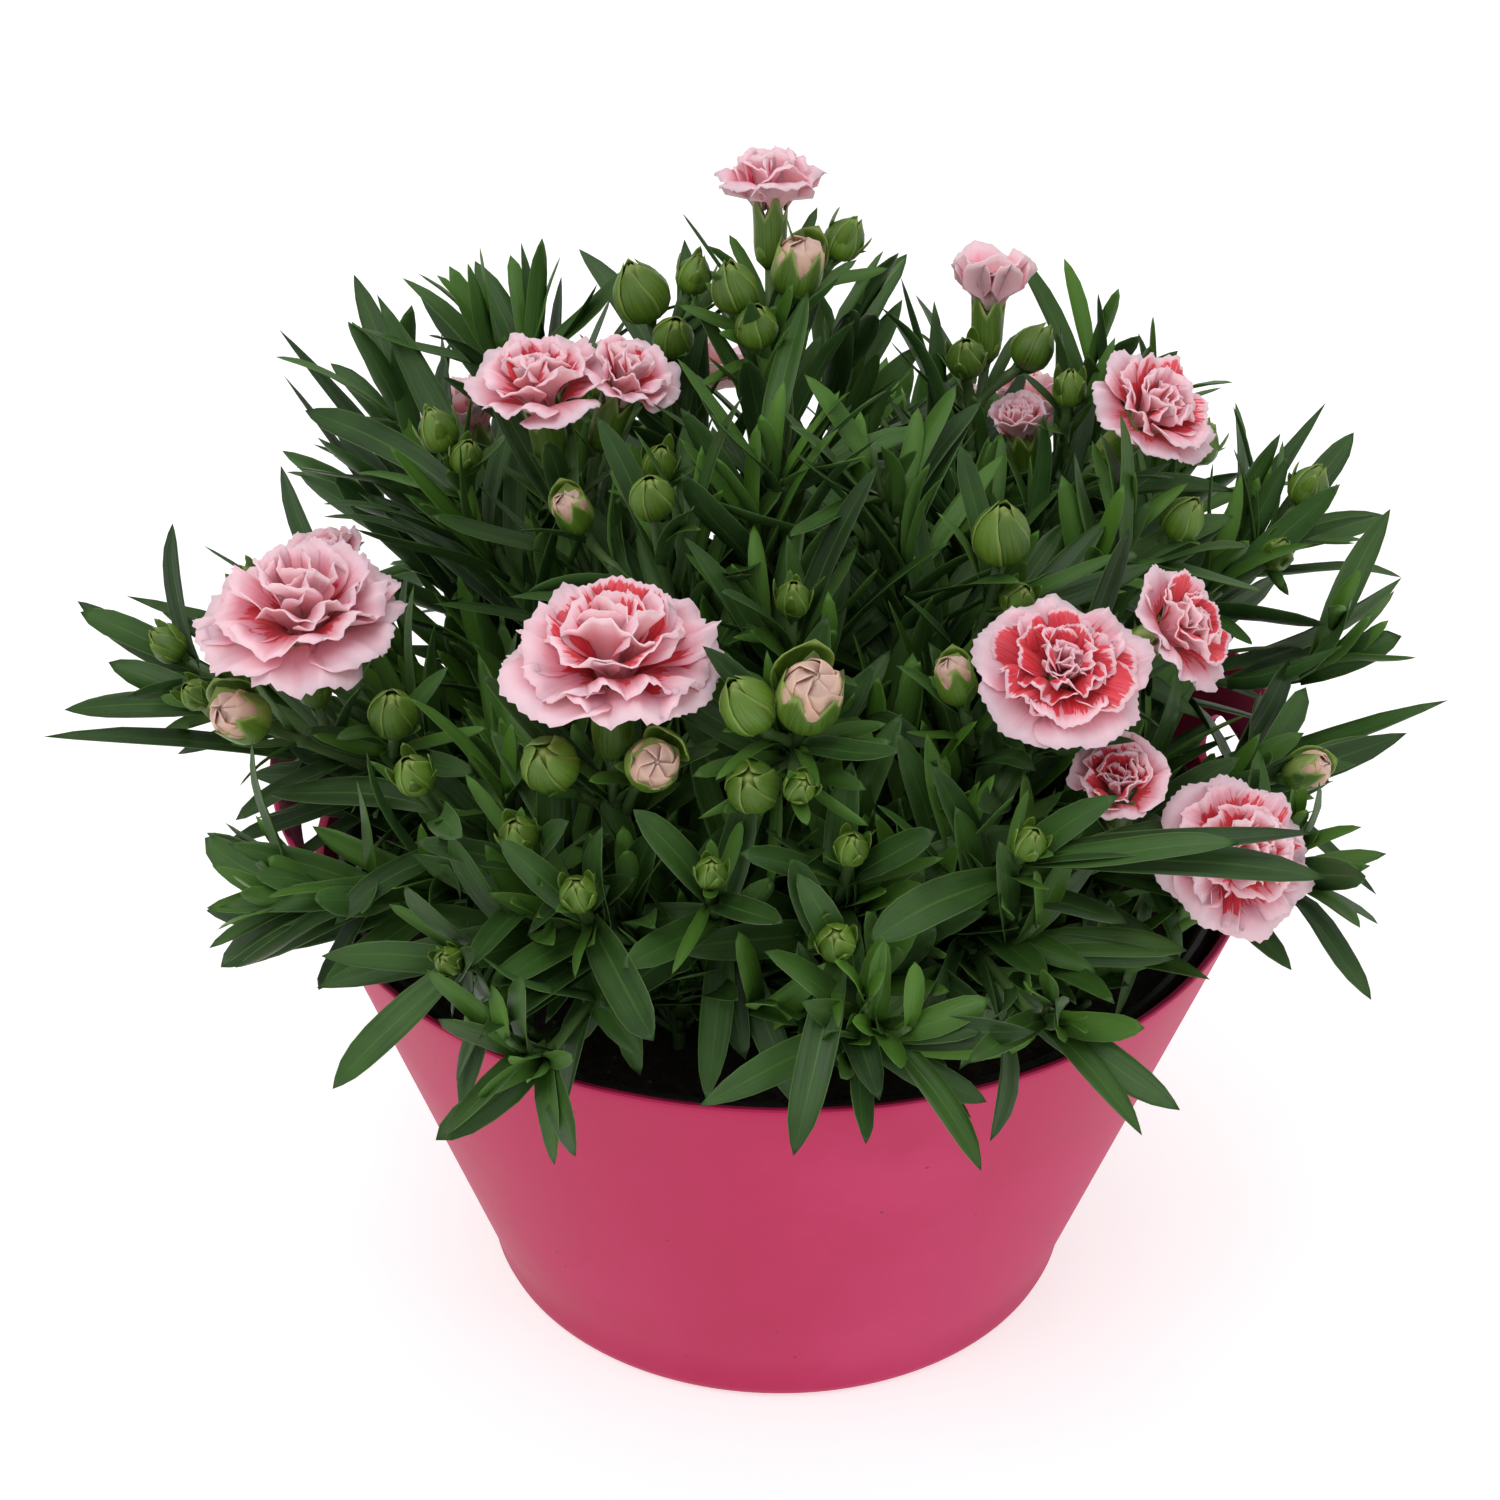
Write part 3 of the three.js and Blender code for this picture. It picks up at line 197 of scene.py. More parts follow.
@dataclass(frozen=True)
class Head:
    """The end of a shoot: its kind, place, direction, size and, for a bloom, how far it is open."""

    kind: HeadKind
    at: Triple
    facing: Triple
    size: float = 0.0
    open: float = 0.0

    @classmethod
    def bloom(cls, at: Triple, facing: Triple, size: float, open_share: float) -> "Head":
        """Return a bloom of a given width that is open by a share."""
        return cls(HeadKind.BLOOM, at, facing, size, open_share)

    @classmethod
    def opening(cls, at: Triple, facing: Triple, size: float) -> "Head":
        """Return a bud whose petals show."""
        return cls(HeadKind.OPENING, at, facing, size)

    @classmethod
    def bud(cls, at: Triple, facing: Triple, size: float) -> "Head":
        """Return a closed green bud."""
        return cls(HeadKind.BUD, at, facing, size)

    @classmethod
    def leaves(cls, at: Triple, facing: Triple) -> "Head":
        """Return the leafy end of a shoot without a flower."""
        return cls(HeadKind.LEAVES, at, facing)

    @property
    def face(self) -> Array:
        """The unit direction that the head points in."""
        return unit(np.array(self.facing, float))

    @property
    def scale(self) -> float:
        """The head's own scale: its size, or for a bloom the size of its calyx."""
        return 0.7 + 0.3 * self.size / 50 if self.kind is HeadKind.BLOOM else self.size

    @property
    def end(self) -> Array:
        """The end of the stalk that carries the head."""
        back = {
            HeadKind.BLOOM: 0.14 * self.size + CALYX_LENGTH * self.scale,
            HeadKind.LEAVES: 0.0,
        }.get(self.kind, 0.6 * BUD_STRETCH * self.size)
        return np.array(self.at, float) - back * self.face


@dataclass(frozen=True)
class Shoot:
    """A stem, or a branch of the plant's first stem that leaves it at the share start of its length."""

    head: Head
    start: float = 0.0
    pairs: int = 0
    leaf: tuple[float, float] = (0.0, 0.0)
    aims: tuple[tuple[float, float, float, float], ...] = ()

    @property
    def places(self) -> Array:
        """The shares of the shoot's length where its pairs of leaves grow."""
        first, last = (0.32, 0.92) if self.start else (0.14, 0.86)
        return np.linspace(first, last, self.pairs) if self.pairs > 1 else np.array([last] * self.pairs)


@dataclass(frozen=True)
class Plant:
    """One rooted plant: its name, where it stands in the soil, and its shoots."""

    name: str
    foot: tuple[float, float]
    shoots: tuple[Shoot, ...]

    @property
    def turn(self) -> float:
        """How far the plant is turned about its stem."""
        return 0.37 * self.foot[0] + 0.23 * self.foot[1]


# Each plant's name, foot and shoots. A head has its place, its direction and its size.
PLANTS: tuple[Plant, ...] = (
    Plant("crown", (1, 14), (
        Shoot(Head.bloom((0.5, 48, 269), (0.02, 0.3, 1), 30, 0.6), pairs=4, leaf=(48, 8)),
        Shoot(Head.opening((6, 32, 256), (0.2, -0.1, 1), 12), start=0.9),
        Shoot(Head.bud((-10, 27, 254), (-0.2, -0.1, 1), 10.5), start=0.84),
        Shoot(Head.bud((-5, 20, 247), (0, -0.4, 1), 9.5), start=0.8),
        Shoot(Head.bud((18, 38, 260), (0.6, 0, 1), 9), start=0.87),
    )),
    Plant("crown_left", (-15, 24), (
        Shoot(Head.bud((-31, 46, 245), (-0.3, -0.1, 1), 13),
              pairs=4, leaf=(52, 8), aims=((-43, 90, 235, 8), (-17, 87, 238, 8))),
        Shoot(Head.bud((-17, 49, 247), (0.3, 0, 1), 8), start=0.9),
        Shoot(Head.bud((-23, 38, 236), (0.1, -0.5, 1), 9.5), start=0.86),
    )),
    Plant("crown_right", (25, 27), (
        Shoot(Head.bloom((55, 57, 237), (0.05, 0.25, 1), 27, 0.3),
              pairs=4, leaf=(54, 9), aims=((37, 77, 226, 8), (43, 66, 229, 8), (47, 64, 238, 8))),
        Shoot(Head.bud((66, 49, 225), (0.6, 0, 1), 10), start=0.84),
        Shoot(Head.bud((48, 44, 225), (-0.1, -0.4, 1), 9), start=0.8),
    )),
    Plant("inner_left", (-26, 6), (
        Shoot(Head.bloom((-56, 8, 238), (-0.15, 0, 1), 38, 0.9), pairs=3, leaf=(56, 9)),
        Shoot(Head.bloom((-36, 11, 238), (0.35, -0.05, 1), 29, 0.8), start=0.66),
        Shoot(Head.bud((-29, -3, 224), (0.1, -0.3, 1), 8), start=0.6),
    )),
    Plant("middle", (-14, -20), (
        Shoot(Head.bud((-33, -32, 231), (-0.1, -0.4, 1), 9.5), pairs=4, leaf=(56, 9)),
        Shoot(Head.opening((-50, -10, 216), (-0.4, -0.2, 1), 9), start=0.6, pairs=1, leaf=(30, 6)),
    )),
    Plant("left_buds", (-42, 12), (
        Shoot(Head.bud((-80, 22, 222), (-0.3, 0, 1), 9),
              pairs=4, leaf=(58, 9), aims=((-112, 62, 207, 9), (-93, 65, 236, 9))),
        Shoot(Head.bud((-73, 15, 218), (0.2, -0.3, 1), 7.5), start=0.88),
    )),
    Plant("right_tall", (42, 6), (
        Shoot(Head.bloom((86, 4, 228), (0.5, -0.35, 0.8), 36, 0.9), pairs=3, leaf=(50, 9)),
        Shoot(Head.bud((93, -9, 208), (0.5, -0.3, 1), 9.5), start=0.74),
        Shoot(Head.leaves((78, -22, 205), (0.4, -0.3, 1)), start=0.3, pairs=3, leaf=(50, 9)),
    )),
    Plant("right_slim", (36, 16), (
        Shoot(Head.bloom((62, 44, 206), (-0.2, -0.1, 1), 20, 0.4), pairs=3, leaf=(52, 8)),
        Shoot(Head.bud((68, 14, 231), (0, -0.1, 1), 7.5), start=0.7, pairs=1, leaf=(26, 5)),
    )),
    Plant("right_centre", (20, -20), (
        Shoot(Head.bud((43, -48, 228), (0, -0.2, 1), 12.5), pairs=4, leaf=(56, 9)),
        Shoot(Head.bud((47, -53, 213), (0.3, -0.6, 1), 7.5), start=0.84),
        Shoot(Head.leaves((24, -14, 214), (0.1, 0.1, 1)), start=0.25, pairs=3, leaf=(58, 9)),
    )),
    Plant("centre", (1, -22), (
        Shoot(Head.bud((-3, -50, 214), (0, -0.3, 1), 7.5), pairs=4, leaf=(56, 9)),
        Shoot(Head.leaves((-4, -8, 218), (0, 0, 1)), start=0.2, pairs=3, leaf=(58, 9)),
    )),
    Plant("left_bloom", (-46, -12), (
        Shoot(Head.bloom((-111, -30, 203), (-0.06, -0.02, 1), 50, 1),
              pairs=3, leaf=(60, 9), aims=((-119, 2, 139, 9), (-117, -19, 136, 9))),
        Shoot(Head.opening((-127, -40, 183), (-0.5, -0.5, 0.6), 12), start=0.7),
        Shoot(Head.bud((-92, -50, 189), (0, -0.4, 1), 10.5), start=0.62, pairs=1, leaf=(26, 6)),
    )),
    Plant("left_back_bloom", (-46, 30), (
        Shoot(Head.bloom((-108, 34, 181), (-0.2, 0.1, 1), 24, 0.6),
              pairs=3, leaf=(54, 9), aims=((-144, 35, 192, 8), (-137, 34, 186, 8), (-123, 53, 196, 8))),
        Shoot(Head.bud((-126, 14, 187), (-0.5, -0.1, 1), 8), start=0.75),
    )),
    Plant("front_left_bloom", (-22, -38), (
        Shoot(Head.bloom((-44, -82, 219), (0.04, -0.04, 1), 52, 1), pairs=3, leaf=(50, 10)),
        Shoot(Head.opening((-37, -98, 202), (0.1, -0.8, 0.6), 11.5), start=0.74),
        Shoot(Head.bud((-59, -90, 199), (-0.2, -0.6, 0.8), 12), start=0.7),
    )),
    Plant("front_opening", (-3, -42), (
        Shoot(Head.opening((-4, -98, 218), (0.1, -0.5, 0.9), 14), pairs=3, leaf=(48, 9)),
        Shoot(Head.bud((-18, -96, 216), (-0.5, -0.2, 1), 11.5), start=0.86),
        Shoot(Head.bud((-17, -104, 200), (-0.2, -0.7, 0.8), 11), start=0.8),
        Shoot(Head.bud((-7, -109, 202), (0.2, -0.8, 0.8), 6.5), start=0.84),
    )),
    Plant("front_right_bloom", (22, -42), (
        Shoot(Head.bloom((51, -86, 214), (0.05, -0.42, 0.9), 41, 0.95), pairs=3, leaf=(48, 10)),
        Shoot(Head.opening((31, -66, 201), (-0.3, 0.1, 1), 9), start=0.45, pairs=1, leaf=(30, 7)),
    )),
    Plant("right_bloom", (40, -32), (
        Shoot(Head.bloom((80, -66, 211), (0.75, -0.3, 0.6), 34, 0.85), pairs=3, leaf=(48, 9)),
    )),
    Plant("hidden_bloom", (36, -54), (
        Shoot(Head.bloom((64, -90, 187), (-0.1, -0.45, 0.9), 26, 0.5), pairs=2, leaf=(44, 9)),
    )),
    Plant("low_right_bloom", (54, -46), (
        Shoot(Head.bloom((90, -96, 171), (0.35, -0.7, 0.62), 39, 0.95), pairs=2, leaf=(46, 9)),
    )),
    Plant("right_low", (58, -26), (
        Shoot(Head.opening((116, -54, 165), (0.8, -0.3, 0.45), 9),
              pairs=4, leaf=(54, 9), aims=((152, -36, 171, 9), (137, -54, 172, 9), (118, -36, 176, 9))),
        Shoot(Head.leaves((104, -76, 150), (0.7, -0.5, 0.6)),
              start=0.3, pairs=2, leaf=(44, 9), aims=((120, -108, 139, 9), (106, -111, 174, 9))),
    )),
    Plant("right_side", (58, 4), (
        Shoot(Head.bud((127, 10, 205), (0.5, 0, 1), 9),
              pairs=4, leaf=(54, 9), aims=((141, -4, 203, 9), (138, 16, 215, 8), (111, 29, 216, 8),
                                           (127, -28, 184, 9))),
        Shoot(Head.bud((119, 4, 190), (0.3, -0.4, 1), 7.5), start=0.86),
        Shoot(Head.leaves((124, -20, 172), (0.8, -0.2, 0.7)),
              start=0.35, pairs=2, leaf=(48, 9), aims=((144, -15, 192, 9), (142, -25, 182, 9))),
    )),
    Plant("back_left_bloom", (-28, 44), (
        Shoot(Head.bloom((-72, 92, 190), (-0.3, 0.4, 1), 32, 0.8), pairs=3, leaf=(54, 9)),
        Shoot(Head.leaves((-58, 68, 206), (-0.2, 0.3, 1)),
              start=0.3, pairs=3, leaf=(56, 9), aims=((-64, 92, 233, 9), (-57, 81, 241, 9),
                                                      (-83, 94, 222, 8))),
    )),
    Plant("back_bloom", (-4, 48), (
        Shoot(Head.bloom((-14, 112, 188), (0, 0.7, 1), 46, 1), pairs=3, leaf=(50, 9)),
        Shoot(Head.leaves((20, 76, 206), (0.2, 0.3, 1)),
              start=0.3, pairs=3, leaf=(58, 9), aims=((37, 77, 237, 9),)),
    )),
    Plant("back_right_bloom", (34, 48), (
        Shoot(Head.bloom((76, 102, 180), (0.4, 0.6, 1), 38, 0.9), pairs=3, leaf=(52, 9)),
        Shoot(Head.leaves((82, 46, 202), (0.4, 0.1, 1)),
              start=0.3, pairs=3, leaf=(56, 9), aims=((79, 42, 241, 9), (98, 36, 228, 9))),
    )),
    Plant("front_tuft_1", (-48, -40), (
        Shoot(Head.bud((-88, -73, 187), (-0.3, -0.4, 1), 8.5),
              pairs=3, leaf=(50, 9), aims=((-122, -40, 162, 9), (-116, -60, 140, 10))),
        Shoot(Head.leaves((-113, -70, 152), (-0.8, -0.4, 0.6)),
              start=0.3, pairs=3, leaf=(46, 9), aims=((-132, -82, 144, 10), (-136, -47, 155, 9),
                                                      (-136, -67, 148, 8))),
    )),
    Plant("front_tuft_2", (-42, -60), (
        Shoot(Head.bud((-66, -96, 185), (-0.2, -0.5, 1), 8), pairs=3, leaf=(42, 9)),
        Shoot(Head.bud((-82, -106, 160), (-0.4, -0.7, 0.8), 6),
              start=0.35, pairs=3, leaf=(44, 10), aims=((-108, -110, 130, 9), (-111, -89, 142, 9))),
    )),
    Plant("front_tuft_3", (-30, -68), (
        Shoot(Head.bud((-54, -110, 179), (-0.1, -0.6, 1), 7.5),
              pairs=3, leaf=(42, 10), aims=((-40, -137, 159, 11), (-76, -128, 155, 9))),
        Shoot(Head.leaves((-62, -118, 142), (-0.3, -0.9, 0.3)),
              start=0.35, pairs=1, leaf=(36, 9), aims=((-86, -132, 132, 9), (-57, -145, 136, 10))),
    )),
    Plant("front_tuft_4", (-14, -66), (
        Shoot(Head.bud((-26, -112, 184), (0, -0.6, 1), 6.5), pairs=3, leaf=(44, 10)),
        Shoot(Head.leaves((8, -126, 151), (0.1, -0.8, 0.8)),
              start=0.1, pairs=3, leaf=(36, 10), aims=((39, -143, 161, 9), (3, -152, 141, 9),
                                                       (-31, -143, 146, 9))),
    )),
    Plant("front_tuft_5", (4, -64), (
        Shoot(Head.bud((4, -108, 186), (0, -0.5, 1), 7), pairs=3, leaf=(44, 10)),
        Shoot(Head.bud((-1, -125, 174), (-0.1, -0.7, 0.9), 8),
              start=0.3, pairs=2, leaf=(42, 10), aims=((-12, -151, 138, 9),)),
    )),
    Plant("front_tuft_6", (26, -70), (
        Shoot(Head.bud((42, -109, 186), (0.2, -0.5, 1), 7),
              pairs=3, leaf=(46, 10), aims=((6, -124, 172, 12),)),
        Shoot(Head.leaves((46, -122, 148), (0.3, -0.8, 0.6)),
              start=0.35, pairs=2, leaf=(42, 10), aims=((70, -146, 141, 9), (29, -152, 140, 9))),
    )),
    Plant("left_side", (-60, 10), (
        Shoot(Head.bud((-146, 6, 176), (-0.7, 0, 0.8), 8),
              pairs=4, leaf=(46, 8), aims=((-176, 8, 158, 7), (-168, 30, 174, 7))),
        Shoot(Head.bud((-139, -8, 170), (-0.5, -0.5, 0.8), 7), start=0.7),
    )),
    Plant("back_tuft_1", (-62, 44), (
        Shoot(Head.leaves((-88, 68, 200), (-0.4, 0.2, 1)),
              pairs=4, leaf=(58, 9), aims=((-117, 72, 212, 8), (-104, 81, 228, 9), (-92, 70, 232, 9))),
        Shoot(Head.bud((-100, 104, 162), (-0.6, 0.6, 0.8), 8), start=0.3, pairs=3, leaf=(46, 9)),
    )),
    Plant("back_tuft_2", (-24, 70), (
        Shoot(Head.bud((-42, 118, 184), (-0.1, 0.6, 1), 9), pairs=4, leaf=(50, 9)),
        Shoot(Head.leaves((-34, 138, 152), (-0.2, 0.8, 0.6)), start=0.35, pairs=2, leaf=(42, 9)),
    )),
    Plant("back_tuft_3", (20, 72), (
        Shoot(Head.opening((28, 128, 180), (0.1, 0.7, 0.8), 11), pairs=4, leaf=(50, 9)),
        Shoot(Head.leaves((48, 128, 152), (0.3, 0.8, 0.6)), start=0.35, pairs=3, leaf=(44, 9)),
    )),
    Plant("back_tuft_4", (60, 44), (
        Shoot(Head.bud((112, 62, 190), (0.5, 0.3, 1), 9), pairs=4, leaf=(52, 9)),
        Shoot(Head.leaves((96, 100, 158), (0.6, 0.6, 0.7)), start=0.3, pairs=3, leaf=(46, 9)),
    )),
)

# -------------------------------------------------------------------------------------------- finishes


Socket = bpy.types.NodeSocket


@dataclass(frozen=True)
class Colour:
    """A colour given as display values from 0 to 255."""

    red: int
    green: int
    blue: int

    @property
    def linear(self) -> tuple[float, float, float, float]:
        """The colour in linear light, opaque."""
        parts = [c / 255 for c in (self.red, self.green, self.blue)]
        return tuple(c / 12.92 if c <= 0.04045 else ((c + 0.055) / 1.055) ** 2.4 for c in parts) + (1.0,)


class Nodes:
    """A node tree, with short calls that add and join its nodes."""

    def __init__(self, tree: bpy.types.NodeTree) -> None:
        """Work on a tree."""
        self.tree = tree

    def feed(self, socket: Socket, value: object) -> None:
        """Set a socket to a value or a colour, or link another socket to it."""
        if isinstance(value, Socket):
            self.tree.links.new(value, socket)
        else:
            socket.default_value = value.linear if isinstance(value, Colour) else value

    def node(self, kind: str, settings: dict[str, object] | None = None, **inputs: object) -> bpy.types.Node:
        """Add a node.

        Args:
            kind: The node's type, without the word that all of them start with.
            settings: Attributes to set on it.
            **inputs: What feeds each input, by the input's name with _ for a space.

        Returns:
            The node.
        """
        node = self.tree.nodes.new("ShaderNode" + kind)
        for name, value in (settings or {}).items():
            setattr(node, name, value)
        for name, value in inputs.items():
            self.feed(node.inputs[name.replace("_", " ")], value)
        return node

    def filled(self, kind: str, settings: dict[str, object], inputs: dict[int, object]) -> bpy.types.Node:
        """Add a node whose inputs are given by their numbers."""
        node = self.node(kind, settings)
        for index, value in inputs.items():
            self.feed(node.inputs[index], value)
        return node

    def maths(self, operation: str, *values: object) -> Socket:
        """Return the result of a sum on one or two values."""
        return self.filled("Math", {"operation": operation}, dict(enumerate(values))).outputs[0]

    def times(self, first: object, second: object) -> Socket:
        """Return a product."""
        return self.maths("MULTIPLY", first, second)

    def plus(self, first: object, second: object) -> Socket:
        """Return a sum."""
        return self.maths("ADD", first, second)

    def minus(self, first: object, second: object) -> Socket:
        """Return a difference."""
        return self.maths("SUBTRACT", first, second)

    def from_middle(self, across: Socket) -> Socket:
        """Return how far a place across a blade is from its middle line, from 0 to 0.5."""
        return self.maths("ABSOLUTE", self.minus(across, 0.5))

    def step(self, value: object, low: object, high: object, out_low: float = 0.0,
             out_high: float = 1.0) -> Socket:
        """Return a smooth step of a value from out_low to out_high."""
        given = dict(enumerate((value, low, high, out_low, out_high)))
        return self.filled("MapRange", {"interpolation_type": "SMOOTHSTEP"}, given).outputs[0]

    def mix(self, share: object, first: object, second: object) -> Socket:
        """Return a mix of two colours."""
        return self.filled("Mix", {"data_type": "RGBA"}, {0: share, 6: first, 7: second}).outputs[2]

    def noise(self, where: Socket, scale: float, detail: float = 2.0, **more: object) -> Socket:
        """Return a soft noise from 0 to 1."""
        return self.node("TexNoise", None, Vector=where, Scale=scale, Detail=detail, **more).outputs[0]

    def split(self, vector: Socket) -> Sequence[Socket]:
        """Return the three parts of a vector."""
        return self.node("SeparateXYZ", None, Vector=vector).outputs


class Effect(Nodes):
    """An effect that several finishes share: a node group with a vector and numbers in, and numbers out."""

    def __init__(self, name: str, **inputs: float) -> None:
        """Start a group.

        Args:
            name: The group's name.
            **inputs: Each number input with its first value, with _ for a space.
        """
        super().__init__(bpy.data.node_groups.new(name, "ShaderNodeTree"))
        face = self.tree.interface
        face.new_socket("Vector", in_out="INPUT", socket_type="NodeSocketVector")
        for label, value in inputs.items():
            made = face.new_socket(label.replace("_", " "), in_out="INPUT", socket_type="NodeSocketFloat")
            made.default_value = value
        self.given = self.tree.nodes.new("NodeGroupInput").outputs

    def give(self, **outputs: Socket) -> bpy.types.NodeTree:
        """Give the group its outputs and return it."""
        for label in outputs:
            self.tree.interface.new_socket(label, in_out="OUTPUT", socket_type="NodeSocketFloat")
        end = self.tree.nodes.new("NodeGroupOutput")
        for label, socket in outputs.items():
            self.feed(end.inputs[label], socket)
        return self.tree


class Effects:
    """The shared effects, each made once."""

    SPECK_PATCH_SCALE = 22.0
    HAZE_SCALE = 9.0
    SCRATCH_TURN = (0.4, 0.2, 0.7)
    SCRATCH_SCALE = (40.0, 900.0, 40.0)

    def __init__(self) -> None:
        """Make the groups."""
        self.veins = self.make_veins()
        self.dust = self.make_dust()

    @staticmethod
    def make_veins() -> bpy.types.NodeTree:
        """Make fine wavy veins that run along a blade, and broad patches."""
        effect = Effect("veins", Count=20.0, Wander=0.4, Stretch=3.0)
        given = effect.given
        across, along, through = effect.split(given["Vector"])
        laid = effect.node("CombineXYZ", None, X=effect.times(across, given["Count"]),
                           Y=effect.times(along, given["Stretch"]), Z=through).outputs[0]
        return effect.give(Veins=effect.noise(laid, 1.0, Distortion=given["Wander"]),
                           Patches=effect.noise(given["Vector"], 3.0, 3.0))

    @classmethod
    def make_dust(cls) -> bpy.types.NodeTree:
        """Make specks of soil, a haze of dust and fine scratches."""
        effect = Effect("dust", Speck_Scale=60.0, Speck_Share=0.06)
        given = effect.given
        where = given["Vector"]
        cells = effect.node("TexVoronoi", {"feature": "F1"}, Vector=where, Scale=given["Speck Scale"])
        size = effect.times(effect.noise(where, cls.SPECK_PATCH_SCALE, 4.0), given["Speck Share"])
        turned = effect.node("Mapping", None, Vector=where, Rotation=cls.SCRATCH_TURN,
                             Scale=cls.SCRATCH_SCALE)
        return effect.give(Specks=effect.maths("LESS_THAN", cells.outputs["Distance"], size),
                           Haze=effect.noise(where, cls.HAZE_SCALE, 6.0, Roughness=0.62),
                           Scratches=effect.noise(turned.outputs[0], 1.0))


class Skin(Nodes):
    """A material's tree round its Principled BSDF."""

    def __init__(self, name: str) -> None:
        """Make the material."""
        self.material = bpy.data.materials.new(name)
        self.material.use_nodes = True
        super().__init__(self.material.node_tree)
        self.shader = self.tree.nodes["Principled BSDF"]

    def group(self, group: bpy.types.NodeTree, **inputs: object) -> Sequence[Socket]:
        """Place an effect's node group with its own values and return its outputs."""
        return self.node("Group", {"node_tree": group}, **inputs).outputs

    def place(self, layer: str) -> Socket:
        """Return the coordinates of one of the piece's own maps."""
        return self.node("UVMap", {"uv_map": layer}).outputs[0]

    def where(self) -> Socket:
        """Return the coordinates of the object."""
        return self.node("TexCoord").outputs["Object"]

    def wear(self, colour: Socket | Colour, roughness: Socket | float, shine: float = 0.5,
             **more: object) -> None:
        """Feed the shader's colour and roughness, and set its other inputs."""
        values = {"Base_Color": colour, "Roughness": roughness, "Specular_IOR_Level": shine, **more}
        for name, value in values.items():
            self.feed(self.shader.inputs[name.replace("_", " ")], value)

    def bump(self, height: Socket, strength: float, distance: float) -> bpy.types.Material:
        """Feed the shader's normal from a height, and return the finished material."""
        bump = self.node("Bump", None, Height=height, Strength=strength, Distance=distance)
        self.feed(self.shader.inputs["Normal"], bump.outputs[0])
        return self.material


@dataclass(frozen=True)
class MouldedPlastic:
    """Moulded plastic with dust, specks of soil and a faint moulded grain."""

    name: str
    body: Colour
    faded: Colour
    speck: Colour
    roughness: float
    speck_share: float
    dust: float
    shine: float

    GRAIN_SCALE = 2600.0
    SPECK_SCALE = 95.0

    def make(self, effects: Effects) -> bpy.types.Material:
        """Make the material."""
        skin = Skin(self.name)
        where = skin.where()
        dust = skin.group(effects.dust, Vector=where, Speck_Scale=self.SPECK_SCALE,
                          Speck_Share=self.speck_share)
        haze = skin.step(dust["Haze"], 0.42, 0.72)
        colour = skin.mix(skin.times(haze, self.dust), self.body, self.faded)
        colour = skin.mix(skin.times(dust["Specks"], 0.75), colour, self.speck)
        rough = skin.step(dust["Haze"], 0.35, 0.75, self.roughness - 0.06, self.roughness + 0.1)
        skin.wear(colour, rough, self.shine)
        height = skin.plus(skin.noise(where, self.GRAIN_SCALE), skin.times(dust["Scratches"], 0.8))
        return skin.bump(height, 0.12, 0.00012)


@dataclass(frozen=True)
class PottingSoil:
    """Moist potting soil with fibres and light grains."""

    name: str = "potting soil"
    deep: Colour = Colour(22, 17, 12)
    crumb: Colour = Colour(58, 44, 32)
    grain: Colour = Colour(120, 108, 92)

    def make(self, effects: Effects) -> bpy.types.Material:
        """Make the material."""
        skin = Skin(self.name)
        where = skin.where()
        lumps = skin.noise(where, 260.0, 6.0, Roughness=0.7)
        colour = skin.mix(skin.step(lumps, 0.38, 0.68), self.deep, self.crumb)
        specks = skin.group(effects.dust, Vector=where, Speck_Scale=210.0, Speck_Share=0.18)["Specks"]
        skin.wear(skin.mix(skin.times(specks, 0.5), colour, self.grain), 0.93)
        return skin.bump(lumps, 0.8, 0.0012)


@dataclass(frozen=True)
class LeafSkin:
    """The waxy skin of a leaf, with a paler midrib and margin."""

    name: str
    deep: Colour
    light: Colour
    fresh: Colour
    rib: Colour
    margin: Colour
    roughness: float

    def make(self, effects: Effects) -> bpy.types.Material:
        """Make the material. The first tint runs from deep to light, the second towards fresh growth."""
        skin = Skin(self.name)
        place = skin.place("place")
        across, along, _ = skin.split(place)
        shade, youth, _ = skin.split(skin.place("tint"))
        patches = skin.noise(skin.where(), 95.0, 3.0)
        veins = skin.group(effects.veins, Vector=place, Count=26.0, Wander=0.3, Stretch=2.5)[0]
        tone = skin.plus(skin.times(shade, 0.75), skin.times(skin.step(patches, 0.3, 0.7), 0.3))
        tone = skin.plus(tone, skin.times(skin.minus(veins, 0.5), 0.5))
        colour = skin.mix(youth, skin.mix(tone, self.deep, self.light), self.fresh)
        off = skin.from_middle(across)
        rib = skin.times(skin.step(off, 0.05, 0.015), skin.step(along, 1.0, 0.2, 0.1, 0.55))
        colour = skin.mix(rib, colour, self.rib)
        colour = skin.mix(skin.times(skin.step(off, 0.455, 0.495), 0.4), colour, self.margin)
        colour = skin.mix(skin.times(skin.step(along, 0.16, 0.0), 0.6), colour, self.rib)
        skin.wear(colour, skin.step(patches, 0.3, 0.7, self.roughness - 0.06, self.roughness + 0.08), 0.3)
        return skin.bump(skin.plus(veins, skin.times(rib, -1.2)), 0.35, 0.0003)


